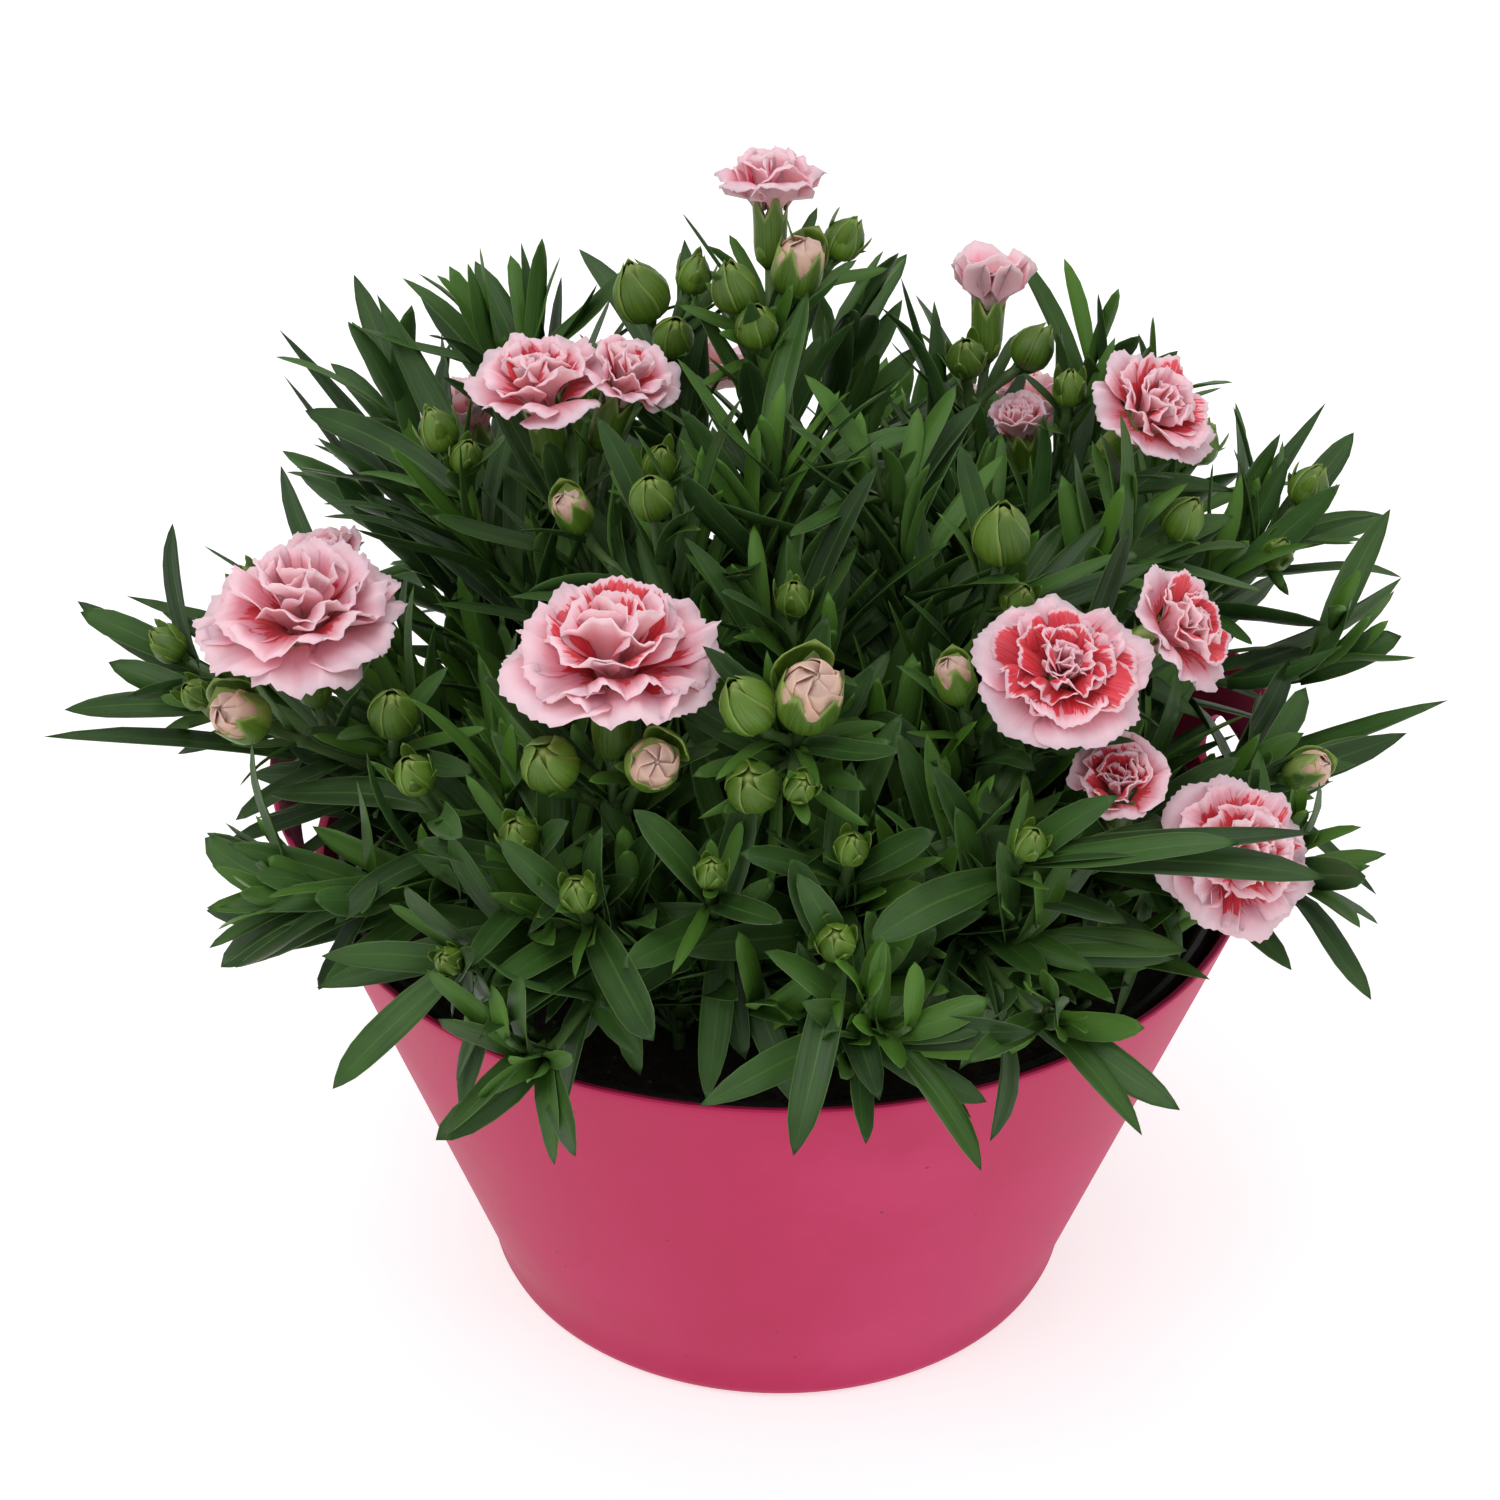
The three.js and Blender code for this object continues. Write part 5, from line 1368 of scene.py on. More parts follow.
@dataclass
class LeafPlan:
    """A leaf before it is bent clear of its neighbours."""

    root: Array
    axis: Array
    out: Array
    length: float
    width: float
    splay: float
    bulge: float
    roll: float
    is_aimed: bool = False

    TURN_STEP = math.radians(9)
    SPLAY_STEP = math.radians(12)
    SHORTER = 0.14

    def tips(self) -> Array:
        """Return each place that the tip could be bent to, the first choice first."""
        n = np.arange(LEAF_TRIES)
        ways = np.array([zigzag(k) for k in range(5)])
        turned = swung(self.out, self.axis, ways[n % 5] * self.TURN_STEP)
        angle = self.splay + ways[n // 5 % 3] * self.SPLAY_STEP
        size = self.length * (1 - self.SHORTER * (n // 15))
        return (self.root + (size * np.cos(angle))[:, None] * self.axis
                + (size * np.sin(angle))[:, None] * turned)

    def leaf(self, tip: Array | None = None, **more: float) -> Leaf:
        """Return the leaf with its tip at a place, or where it was planned."""
        end = self.tips()[0] if tip is None else tip
        return Leaf(self.root, self.axis, end, self.width, self.bulge, self.roll, **more)

    def aim_at(self, aim: tuple[float, float, float, float]) -> None:
        """Point the leaf at x, y, z and give it a width."""
        chord = np.array(aim[:3], float) - self.root
        self.is_aimed = True
        self.out = square(chord, self.axis)
        self.length = float(np.linalg.norm(chord))
        self.width = aim[3]
        self.splay = math.acos(float(unit(chord) @ self.axis))


@dataclass
class Corners:
    """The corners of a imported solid, in millimetres."""

    points: Array

    @classmethod
    def of(cls, node: str) -> "Corners":
        """Read a node's corners."""
        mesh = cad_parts[node].data
        flat = np.empty(len(mesh.vertices) * 3, np.float32)
        mesh.vertices.foreach_get("co", flat)
        return cls(flat.reshape(-1, 3).astype(float) / MM)

    def gaps(self, points: Array) -> Array:
        """Return how far each point is from the nearest corner."""
        return np.linalg.norm(points[:, None] - self.points[None], axis=2).min(axis=1)


def edge_points(node: str) -> Array:
    """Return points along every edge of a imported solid, in millimetres."""
    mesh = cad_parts[node].data
    corners = Corners.of(node).points
    ends = np.empty(len(mesh.edges) * 2, np.int32)
    mesh.edges.foreach_get("vertices", ends)
    first, second = corners[ends[::2]], corners[ends[1::2]]
    return np.concatenate([lerp(first, second, share) for share in np.linspace(0, 1, 7)])


def ring_at(centre: Array, direction: Array, radius: float, sides: int, turn: float) -> Array:
    """Return the corners of a ring round a direction."""
    side, up = frame_of(direction)
    angle = 2 * math.pi * np.arange(sides) / sides + turn
    return centre + radius * (np.cos(angle)[:, None] * side + np.sin(angle)[:, None] * up)


@dataclass
class GrownShoot:
    """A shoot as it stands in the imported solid: its curve and its leaves."""

    shoot: Shoot
    curve: Bend
    radii: tuple[float, float]
    turn: float
    foot: Array | None
    leaves: list[Leaf] = field(default_factory=list)
    nodes: list[float] = field(default_factory=list)

    @property
    def is_main(self) -> bool:
        """Whether the shoot stands in the soil."""
        return self.foot is not None

    def rings(self) -> tuple[list[Array], list[int]]:
        """Return the solid's rings along the shoot, and the row below each pair of leaves."""
        half = NODE_HALF_HEIGHT / self.curve.length()
        places = self.shoot.places
        sides = STEM_SIDES if self.is_main or len(places) else TWIG_SIDES
        stations = [(t + off, NODE_SWELLING) for t in places for off in (-half, half)]
        spaced = [(0.0, 1.0)]
        for t, swelling in [*stations, (1.0, 1.0)]:
            before = spaced[-1][0]
            if t - before > STEM_LONGEST_STEP:
                spaced.append(((t + before) / 2, 1.0))
            spaced.append((t, swelling))
        rings = [ring_at(self.foot, UP, self.radii[0], sides, self.turn)] if self.is_main else []
        rows = []
        for t, swelling in spaced:
            if any(abs(place - half - t) < 1e-9 for place in places):
                rows.append(len(rings))
            radius = swelling * lerp(*self.radii, t)
            rings.append(ring_at(self.curve.at(t), self.curve.tangent(t), radius, sides, self.turn))
        return rings, rows

    def plans(self, seed: int) -> list[LeafPlan]:
        """Plan the leaves: two face each other at each node, and each pair stands square to the last."""
        draw = Stream(seed)
        rings, rows = self.rings()
        places = self.shoot.places
        plans = []
        for i, t in enumerate(places):
            level = i / (len(places) - 1) if len(places) > 1 else 1.0
            axis = self.curve.tangent(t)
            youth = 1 - LEAF_SHORTENING * level * level
            low, high = rings[rows[i]], rings[rows[i] + 1]
            for j in (i % 2, i % 2 + 2):
                k = (j + 1) % STEM_SIDES
                root = (low[j] + low[k] + high[k] + high[j]) / 4
                facing = square(root - self.curve.at(t), axis)
                plans.append(LeafPlan(
                    root=root,
                    axis=axis,
                    out=swung(facing, axis, 0.4 * (draw() - 0.5)),
                    length=self.shoot.leaf[0] * youth * draw.between(0.85, 1.15),
                    width=self.shoot.leaf[1] * youth * draw.between(0.85, 1.1),
                    splay=math.radians(lerp(*LEAF_SPLAY, level) + 24 * (draw() - 0.5)),
                    bulge=draw.between(0.06, 0.18),
                    roll=0.9 * (draw() - 0.5),
                ))
        for aim in self.shoot.aims:
            free = [plan for plan in plans if not plan.is_aimed]
            best = max(free, key=lambda plan: float(plan.out @ unit(np.array(aim[:3]) - plan.root)))
            best.aim_at(aim)
        return plans


def sway_of(n: int) -> Array:
    """Return the n-th way to bend a shoot: each a little further out, on another side."""
    angle = 2.4 * n
    return 3.2 * math.sqrt(n) * np.array([math.cos(angle), math.sin(angle), 0.0])


@dataclass
class GrownPlant:
    """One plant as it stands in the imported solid, with finer growth added to it."""

    index: int
    plant: Plant
    shoots: list[GrownShoot] = field(default_factory=list)

    @property
    def node(self) -> str:
        """The solid that the plant's green parts stand for."""
        return "stem_" + self.plant.name

    @property
    def growth_seed(self) -> int:
        """The seed of the finer growth on it."""
        return 977 * self.index + 13

    def seed(self, shoot_index: int) -> int:
        """Return the seed of one shoot."""
        return 101 * (self.index + 1) + 7 * shoot_index

    def read(self) -> None:
        """Find how each shoot and each leaf was bent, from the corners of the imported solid."""
        corners = Corners.of(self.node)
        foot = np.array([*self.plant.foot, SOIL_LEVEL - STEM_DEPTH])
        main: Bend | None = None
        for i, shoot in enumerate(self.plant.shoots):
            if main is None:
                start, heading = foot + (STEM_DEPTH + SOIL_MOUND) * UP, UP
            else:
                start = main.at(shoot.start)
                heading = unit((main.tangent(shoot.start) + shoot.head.face) / 2)
            ways = [self.way(shoot, start, heading, n, None if main else foot) for n in range(STEM_TRIES)]
            fits = [float((corners.gaps(np.concatenate(way.rings()[0])) < MATCH_GAP).mean()) for way in ways]
            grown = ways[int(np.argmax(fits))]
            plans = grown.plans(self.seed(i) + 3)
            for number, plan in enumerate(plans):
                tips = plan.tips()
                gaps = corners.gaps(tips)
                if gaps.min() < MATCH_GAP:
                    draw = Stream(self.seed(i) * 31 + number)
                    tip = tips[int(gaps.argmin())]
                    grown.leaves.append(plan.leaf(tip, sway=draw.between(-0.035, 0.035),
                                                  curl=draw.between(-0.02,
                                                                    0.03), bluntness=draw.between(0, 1)))
            grown.nodes.extend(shoot.places)
            log.info("%s shoot %d: fit %.2f, %d of %d leaves", self.plant.name, i, max(fits),
                     len(grown.leaves), len(plans))
            self.shoots.append(grown)
            main = main or grown.curve

    def way(self, shoot: Shoot, start: Array, heading: Array, n: int, foot: Array | None) -> GrownShoot:
        """Return a shoot bent in the n-th way."""
        head = shoot.head
        reach = float(np.linalg.norm(head.end - start))
        sway = sway_of(n)
        curve = Bend((start, start + 0.42 * reach * heading + sway,
                      head.end - 0.34 * reach * head.face + 0.6 * sway, head.end))
        radii = TWIG_RADII if foot is None else STEM_RADII
        return GrownShoot(shoot, curve, radii, self.plant.turn + shoot.start, foot)


# ---------------------------------------------------------------------------------------- finer growth


@dataclass
class Room:
    """Where finer growth may stand: in the solids' outline, clear of the pots, the soil and the blooms."""

    box: tuple[Array, Array]
    reach: Array
    discs: list[tuple[Array, Array, float]]

    STEPS = np.linspace(0.12, 1.0, 9)
    BOX_MARGIN = 5.0
    MIDDLE = np.array([0.0, 0.0, 125.0])
    SECTORS = (40, 20)
    SPARE = 4.0
    WALL_GAP = 3.0
    LIP_DEPTH = 4.0
    LIP_RADIUS = 104.0
    SOIL_RADIUS = 105.0
    # The ears' holes are kept clear outwards of the first number.
    HOLE_MIDDLE = (98.0, 0.0, 124.5)
    HOLE_HALF = (25.0, 9.0)
    # The space of a bloom, as shares of its width.
    DISC_RADIUS = 0.5
    DISC_LOW = -0.3
    DISC_HIGH = 0.42

    @classmethod
    def around(cls, plants: Iterable[Plant]) -> "Room":
        """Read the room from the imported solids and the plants' blooms."""
        every = np.concatenate([edge_points(name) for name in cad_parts])
        plant_nodes = [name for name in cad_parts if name.startswith(("stem_", "bloom_"))]
        green = np.concatenate([edge_points(name) for name in plant_nodes])
        reach = np.zeros(cls.SECTORS)
        np.maximum.at(reach, cls.sector(green), np.linalg.norm(green - cls.MIDDLE, axis=1))
        heads = [s.head for plant in plants for s in plant.shoots if s.head.kind is HeadKind.BLOOM]
        discs = [(np.array(h.at, float), h.face, h.size) for h in heads]
        return cls((every.min(0) - cls.BOX_MARGIN, every.max(0) + cls.BOX_MARGIN), reach, discs)

    @classmethod
    def sector(cls, points: Array) -> tuple[Array, Array]:
        """Return the sector of the sky that each point is in, seen from the middle of the plant."""
        off = points - cls.MIDDLE
        around = (np.arctan2(off[:, 1], off[:, 0]) / (2 * math.pi) % 1.0 * cls.SECTORS[0]).astype(int)
        height = (off[:, 2] / np.linalg.norm(off, axis=1) + 1) / 2
        return around % cls.SECTORS[0], np.clip((height * cls.SECTORS[1]).astype(int), 0, cls.SECTORS[1] - 1)

    def holds(self, leaf: Leaf) -> bool:
        """Return whether a leaf keeps clear of all these."""
        way = leaf.arc.at(self.STEPS)
        radius = np.hypot(way[:, 0], way[:, 1])
        height = way[:, 2]
        if (way < self.box[0]).any() or (way > self.box[1]).any():
            return False
        if (np.linalg.norm(way - self.MIDDLE, axis=1) > self.reach[self.sector(way)] + self.SPARE).any():
            return False
        rim = np.array([rim_height(math.atan2(y, x)) for x, y in way[:, :2]])
        rise = (height - POT_FOOT[1]) / (POT_SHOULDER[1] - POT_FOOT[1])
        liner = np.minimum(lerp(POT_FOOT[0], POT_SHOULDER[0], rise), self.LIP_RADIUS) - self.LIP_DEPTH
        shell = bowl_radius(height) + self.WALL_GAP
        in_wall = (radius > liner) & (radius < shell) & (height < rim + self.WALL_GAP)
        in_soil = (radius < self.SOIL_RADIUS) & (height < SOIL_LEVEL + SOIL_MOUND + 0.5)
        off = np.abs(way - (0.0, *self.HOLE_MIDDLE[1:]))
        in_hole = (off[:, 0] > self.HOLE_MIDDLE[0]) & (off[:, 1:] < self.HOLE_HALF).all(axis=1)
        if in_wall.any() or in_soil.any() or in_hole.any():
            return False
        for centre, face, size in self.discs:
            off = way - centre
            lift = off @ face
            out = np.linalg.norm(off - lift[:, None] * face, axis=1)
            is_level = (lift > self.DISC_LOW * size) & (lift < self.DISC_HIGH * size)
            if ((out < self.DISC_RADIUS * size) & is_level).any():
                return False
        return True


@dataclass(frozen=True)
class Twig:
    """A short side shoot of small leaves."""

    curve: Bend
    leaves: tuple[Leaf, ...]

    PAIRS = 3
    RADIUS = 0.9
    STEM_SHARES = (0.4, 0.98)


@dataclass
class Growth:
    """Adds the finer growth to one plant: more leaves, side shoots, young tips and thin bracts."""

    grown: GrownPlant
    room: Room
    draw: Stream
    leaves: list[Leaf] = field(default_factory=list)
    twigs: list[Twig] = field(default_factory=list)

    SKIPPED = 0.35
    FEET = 5
    FOOT_LEAF = (58.0, 8.2)
    SUCKER_LEAF = (50.0, 8.2)
    SUCKER_REACH = 96.0
    # How far below the head each pair of bracts is, their length and width, and their splay.
    BRACTS = ((3.0, (11, 3.0), 26), (13.0, (24, 3.2), 42))

    def run(self) -> None:
        """Add all of it."""
        for shoot in self.grown.shoots:
            if len(shoot.shoot.places):
                self.fill_between(shoot)
                self.add_side_shoots(shoot)
            if shoot.shoot.head.kind is HeadKind.LEAVES:
                self.add_young_tip(shoot)
            else:
                self.add_bracts(shoot)
        self.add_basal_shoots(self.grown.shoots[0])

    def pair(self, curve: Bend, t: float, turn: float, size: tuple[float, float], splay: float, youth: float,
             sink: float = 0.6) -> list[Leaf]:
        """Return two leaves that face each other, where there is room for them.

        Args:
            curve: The shoot's middle line.
            t: Their place on it.
            turn: How far they are turned about it.
            size: Their length and width.
            splay: The angle between the leaves and the shoot, in degrees.
            youth: How fresh their green is, from 0 to 1.
            sink: How far their roots stand off the shoot's middle.

        Returns:
            The leaves.
        """
        draw = self.draw
        axis = curve.tangent(t)
        found = []
        for half in (0.0, math.pi):
            out = outward(axis, turn + half + draw.between(-0.25, 0.25))
            plan = LeafPlan(
                root=curve.at(t) + sink * out,
                axis=axis,
                out=out,
                length=size[0] * draw.between(0.82, 1.15),
                width=size[1] * draw.between(0.85, 1.12),
                splay=math.radians(splay + draw.between(-11, 11)),
                bulge=draw.between(0.04, 0.17),
                roll=draw.between(-0.5, 0.5),
            )
            more = {"sway": draw.between(-0.04, 0.04), "curl": draw.between(-0.02, 0.03), "youth": youth,
                    "bluntness": draw.between(0, 1)}
            for tip in plan.tips()[:LEAF_TRIES // 2:2]:
                leaf = plan.leaf(tip, **more)
                if self.room.holds(leaf):
                    found.append(leaf)
                    break
        return found

    def fill_between(self, shoot: GrownShoot) -> None:
        """Add a pair of leaves halfway between every two pairs, and two below the lowest."""
        places = [float(t) for t in shoot.shoot.places]
        length, width = shoot.shoot.leaf
        below = [0.03, (0.03 + places[0]) / 2] if shoot.is_main else [0.55 * places[0]]
        middles = [(a + b) / 2 for a, b in zip(places, places[1:])]
        for number, t in enumerate([*below, *middles]):
            is_low = t < places[0]
            turn = shoot.turn + number * math.pi / 2 + (0.0 if is_low else math.pi / 4)
            longer, wider = (1.05, 0.92) if is_low else (1.0 - 0.2 * t, 0.88 - 0.15 * t)
            self.leaves += self.pair(shoot.curve, t, turn, (length * longer, width * wider),
                                     lerp(54, 30, t), 0.0)
            shoot.nodes.append(t)

    def add_side_shoots(self, shoot: GrownShoot) -> None:
        """Add short leafy side shoots in the axils of the pairs."""
        places = shoot.shoot.places
        length, width = shoot.shoot.leaf
        for number, t in enumerate(places):
            if number == len(places) - 1 and shoot.shoot.head.kind is not HeadKind.LEAVES:
                continue
            axis = shoot.curve.tangent(t)
            for half in (0.0, math.pi):
                if self.draw() < self.SKIPPED:
                    continue
                out = outward(axis, shoot.turn + math.pi / 4 + number * math.pi / 2 + half)
                self.add_twig(shoot.curve.at(float(t)), unit(axis + out * 0.5), self.draw.between(10, 26),
                              (0.86 * length, 0.76 * width))

    def add_twig(self, start: Array, heading: Array, length: float, leaf: tuple[float, float]) -> None:
        """Add a side shoot that turns upright, with pairs of leaves that shorten towards its tip.

        Args:
            start: Where it starts.
            heading: The direction it starts in.
            length: Its length.
            leaf: The length and width of its lowest leaves.
        """
        end = start + heading * length * 0.75 + UP * length * 0.3
        curve = Bend((start, start + heading * length * 0.5, end))
        leaves: list[Leaf] = []
        turn = self.draw.between(0, math.pi)
        for i in range(Twig.PAIRS):
            share = i / (Twig.PAIRS - 1)
            size = (leaf[0] * (1 - 0.42 * share), leaf[1] * (1 - 0.36 * share))
            leaves += self.pair(curve, lerp(*Twig.STEM_SHARES, share), turn + i * math.pi / 2, size,
                                lerp(40, 13, share), 0.1 + 0.45 * share, 0.3)
        if leaves:
            self.twigs.append(Twig(curve, tuple(leaves)))

    def add_young_tip(self, shoot: GrownShoot) -> None:
        """Add the nested young leaves at the end of a leafy shoot."""
        length, width = 0.8 * shoot.shoot.leaf[0], 0.72 * shoot.shoot.leaf[1]
        turn = self.draw.between(0, math.pi)
        for i in range(Twig.PAIRS):
            share = i / (Twig.PAIRS - 1)
            size = (length * (1 - 0.4 * share), width * (1 - 0.4 * share))
            self.leaves += self.pair(shoot.curve, 1.0 - 0.05 * (1 - share), turn + i * math.pi / 2, size,
                                     lerp(34, 8, share), 0.1 + 0.5 * share, 0.5)

    def add_bracts(self, shoot: GrownShoot) -> None:
        """Add thin bracts under a head, and where its stalk leaves the stem."""
        span = shoot.curve.length()
        draw = self.draw
        for back, size, splay in self.BRACTS:
            t = 1 - back / span
            if t > 0.3:
                self.leaves += self.pair(shoot.curve, t, draw.between(0, math.pi), size, splay, 0.35, 0.7)
                shoot.nodes.append(t)
        if not shoot.is_main:
            main = self.grown.shoots[0]
            t = shoot.shoot.start
            self.leaves += self.pair(main.curve, t, draw.between(0, math.pi), (30, 4.2), 46, 0.15, 0.8)
            main.nodes.append(t)

    def add_basal_shoots(self, main: GrownShoot) -> None:
        """Add short leafy shoots that fan out from the foot of the stem."""
        start = main.curve.at(0.01)
        away = unit(np.array([start[0], start[1], 0.0]) + 1e-3)
        for number in range(self.FEET):
            level = swung(away, UP, number * 1.3 + self.draw.between(-0.5, 0.5))
            heading = unit(level + UP * self.draw.between(0.4, 1.9))
            self.add_twig(start, heading, self.draw.between(18, 62), self.FOOT_LEAF)
        for number in range(self.FEET):
            level = swung(away, UP, (number - 2) * 0.55 + self.draw.between(-0.2, 0.2))
            sucker = start + level * self.draw.between(6, 26)
            if math.hypot(sucker[0], sucker[1]) < self.SUCKER_REACH:
                heading = unit(level + UP * self.draw.between(0.15, 0.8))
                self.add_twig(sucker, heading, self.draw.between(8, 30), self.SUCKER_LEAF)


@dataclass(frozen=True)
class Camera:
    """The camera that the plant is seen through; its picture is as high as it is wide."""

    lens: float = 87.325
    sensor: float = 36.0
    place: Triple = (-0.07529, -0.74127, 0.61135)
    looks: Triple = (0.07673, 0.84265, -0.53296)
    roll: float = 0.348
    picture: int = 1500

    @property
    def turned(self) -> Matrix:
        """How the camera is turned."""
        back = -Vector(self.looks).normalized()
        right = Vector((0, 0, 1)).cross(back).normalized()
        level = Matrix((right, back.cross(right), back)).transposed()
        return level @ Matrix.Rotation(math.radians(self.roll), 3, "Z")

    def seen(self, spot: tuple[float, float], depth: float) -> Array:
        """Find the place that shows at a spot of the picture.

        Args:
            spot: How far right and down it is in the picture.
            depth: How far behind the pot's middle it lies, in millimetres.

        Returns:
            The place in millimetres.
        """
        half, scale = self.picture / 2, self.sensor / self.lens / self.picture
        ray = np.array(self.turned @ Vector(((spot[0] - half) * scale, (half - spot[1]) * scale, -1)))
        level = unit(np.array([*self.looks[:2], 0.0]))
        start = np.array(self.place) / MM
        return start + ray * (depth - start @ level) / (ray @ level)


@dataclass(frozen=True)
class OuterLeaf:
    """A long leaf that stands out: the spots where its root and its tip show, and how far back each is."""

    root: tuple[int, int]
    root_depth: float
    tip: tuple[int, int]
    tip_depth: float
    width: float


OUTER_LEAF_SEED = 7000
# The long leaves over the rim and beside the blooms. Depths are behind the pot's middle, in millimetres.
OUTER_LEAVES = (
    OuterLeaf((205, 615), 10, (172, 523), 15, 7.5),
    OuterLeaf((190, 660), -5, (80, 612), -5, 7),
    OuterLeaf((215, 700), -12, (108, 662), -10, 7.5),
    OuterLeaf((215, 735), -15, (64, 710), -20, 6.5),
    OuterLeaf((310, 900), -55, (206, 833), -60, 8),
    OuterLeaf((320, 905), -55, (206, 911), -65, 6.5),
    OuterLeaf((375, 945), -70, (220, 967), -75, 8.5),
    OuterLeaf((400, 985), -80, (318, 990), -85, 6.5),
    OuterLeaf((300, 850), -45, (235, 820), -45, 7),
    OuterLeaf((385, 850), -30, (285, 742), -35, 8.5),
    OuterLeaf((385, 850), -30, (250, 775), -30, 8),
    OuterLeaf((385, 870), -35, (222, 845), -45, 8.5),
    OuterLeaf((385, 880), -40, (262, 885), -50, 8),
    OuterLeaf((385, 840), -25, (322, 745), -25, 8),
    OuterLeaf((1290, 560), 35, (1388, 516), 40, 8.5),
    OuterLeaf((1270, 620), 15, (1402, 577), 15, 7),
    OuterLeaf((1300, 720), -10, (1402, 636), -5, 7.5),
    OuterLeaf((1250, 560), 40, (1236, 402), 45, 7),
    OuterLeaf((1270, 540), 35, (1354, 432), 40, 7),
    OuterLeaf((1250, 700), -5, (1342, 647), -5, 7),
    OuterLeaf((1270, 800), -30, (1392, 740), -30, 8),
    OuterLeaf((1220, 760), -25, (1290, 660), -15, 7.5),
    OuterLeaf((1235, 775), -30, (1262, 690), -20, 7),
    OuterLeaf((1125, 905), -110, (1328, 878), -119, 9),
    OuterLeaf((1130, 890), -110, (1316, 832), -117, 7),
    OuterLeaf((1150, 850), -106, (1240, 842), -116, 6.5),
    OuterLeaf((1190, 945), -95, (1292, 970), -95, 8),
    OuterLeaf((870, 1025), -115, (1036, 1038), -120, 10),
    OuterLeaf((800, 905), -85, (1032, 830), -85, 10.5),
    OuterLeaf((785, 835), -75, (738, 958), -90, 9),
    OuterLeaf((590, 950), -85, (735, 912), -90, 9),
    OuterLeaf((1025, 870), -80, (1185, 822), -85, 9),
    OuterLeaf((740, 728), -78, (640, 672), -84, 7.5),
    OuterLeaf((690, 960), -92, (706, 1100), -112, 8),
    OuterLeaf((650, 960), -92, (640, 1076), -104, 8),
    OuterLeaf((735, 985), -95, (798, 1108), -114, 8),
    OuterLeaf((620, 950), -85, (560, 1050), -100, 8),
    OuterLeaf((760, 950), -92, (745, 1060), -105, 8),
    OuterLeaf((830, 960), -95, (850, 1075), -108, 8),
    OuterLeaf((1000, 960), -95, (960, 1070), -106, 8),
)


def add_outer_leaves(growths: Sequence[Growth]) -> None:
    """Add the long leaves that stand out, each on the stem nearest to its root.

    Args:
        growths: The growth of every plant.
    """
    camera = Camera()
    for number, leaf in enumerate(OUTER_LEAVES):
        draw = Stream(OUTER_LEAF_SEED + number)
        foot, tip = camera.seen(leaf.root, leaf.root_depth), camera.seen(leaf.tip, leaf.tip_depth)
        spots = [(float(np.linalg.norm(shoot.curve.at(t) - foot)), t, growth, shoot) for growth in growths
                 for shoot in growth.grown.shoots for t in np.arange(1, 20) / 20]
        _, t, growth, shoot = min(spots, key=lambda spot: spot[0])
        start, axis = shoot.curve.at(t), shoot.curve.tangent(t)
        growth.leaves.append(Leaf(
            root=start + 0.6 * square(tip - start, axis),
            axis=axis,
            tip=tip,
            width=leaf.width,
            bulge=draw.between(0.05, 0.13),
            roll=draw.between(-0.5, 0.5),
            sway=draw.between(-0.03, 0.03),
            curl=draw.between(-0.02, 0.03),
            youth=0.9 if leaf.width == 10 else 0.0,
            bluntness=draw.between(0.2, 1),
        ))


# ------------------------------------------------------------------------------------- buds and blooms


@dataclass(frozen=True)
class TurnedForm:
    """A form turned about an axis, given by radii along it."""

    shares: tuple[float, ...]
    radii: tuple[float, ...]

    def points(self, tube: Pattern, base: Array, face: Array, length: float, scale: float,
               shape: Callable[[Array, Array], tuple[Array, Array]] | None = None) -> Array:
        """Bend a tube into this form.

        Args:
            tube: The pattern of a closed tube.
            base: The middle of its base.
            face: Its direction.
            length: Its length.
            scale: What its radii are multiplied by.
            shape: Gives a factor on the radius and a shift along the axis, from each corner's angle and v.

        Returns:
            The place of each corner.
        """
        angle = np.arctan2(-tube.w, tube.u)
        size = np.hypot(tube.u, tube.w)
        radius = scale * np.interp(tube.v, self.shares, self.radii) * size
        along = tube.v * length
        if shape is not None:
            factor, shift = shape(angle, tube.v)
            radius = radius * factor
            along = along + shift * length
        return round_axis(base, face, along, radius, angle)


BUD_FORM = TurnedForm((0, 0.04, 0.14, 0.28, 0.42, 0.56, 0.69, 0.8, 0.9, 1),
                      (0.13, 0.27, 0.41, 0.49, 0.5, 0.46, 0.37, 0.25, 0.12, 0))
CUP_FORM = TurnedForm((0, 0.05, 0.2, 0.42, 0.7, 1), (0.13, 0.28, 0.43, 0.5, 0.49, 0.46))
DOME_FORM = TurnedForm((0, 0.25, 0.5, 0.72, 0.88, 1), (0.4, 0.44, 0.42, 0.34, 0.2, 0.0))
CALYX_FORM = TurnedForm((0, 0.05, 0.15, 0.35, 0.7, 1), (1.5, 2.9, 3.9, 4.5, 4.6, 4.7))
SEPALS = 5
SEPAL_HALF_ANGLE = math.radians(46)
SEPAL_TWIST = 0.35
SEPAL_GAP = 0.22
SEPAL_THICKNESS = 0.35
FOLD_HALF_ANGLE = math.radians(50)
FOLD_TWIST = 1.1
FOLD_THICKNESS = 0.4


def sepal_teeth(turn: float, depth: float, flare: float) -> Callable[[Array, Array], tuple[Array, Array]]:
    """Return the shape of an open calyx: five pointed teeth at its mouth."""
    def shape(angle: Array, v: Array) -> tuple[Array, Array]:
        around = (angle + turn) * SEPALS / (2 * math.pi)
        near = np.abs(around - np.round(around)) * 2
        tooth = (1 - near) ** 1.2 - 0.55
        seam = 1 - 0.08 * smooth(0.2, 0.8, v) * smooth(0.6, 1.0, near)
        return seam * (1 + flare * v ** 4 * (1 - near)), depth * tooth * smooth(0.55, 1.0, v)
    return shape


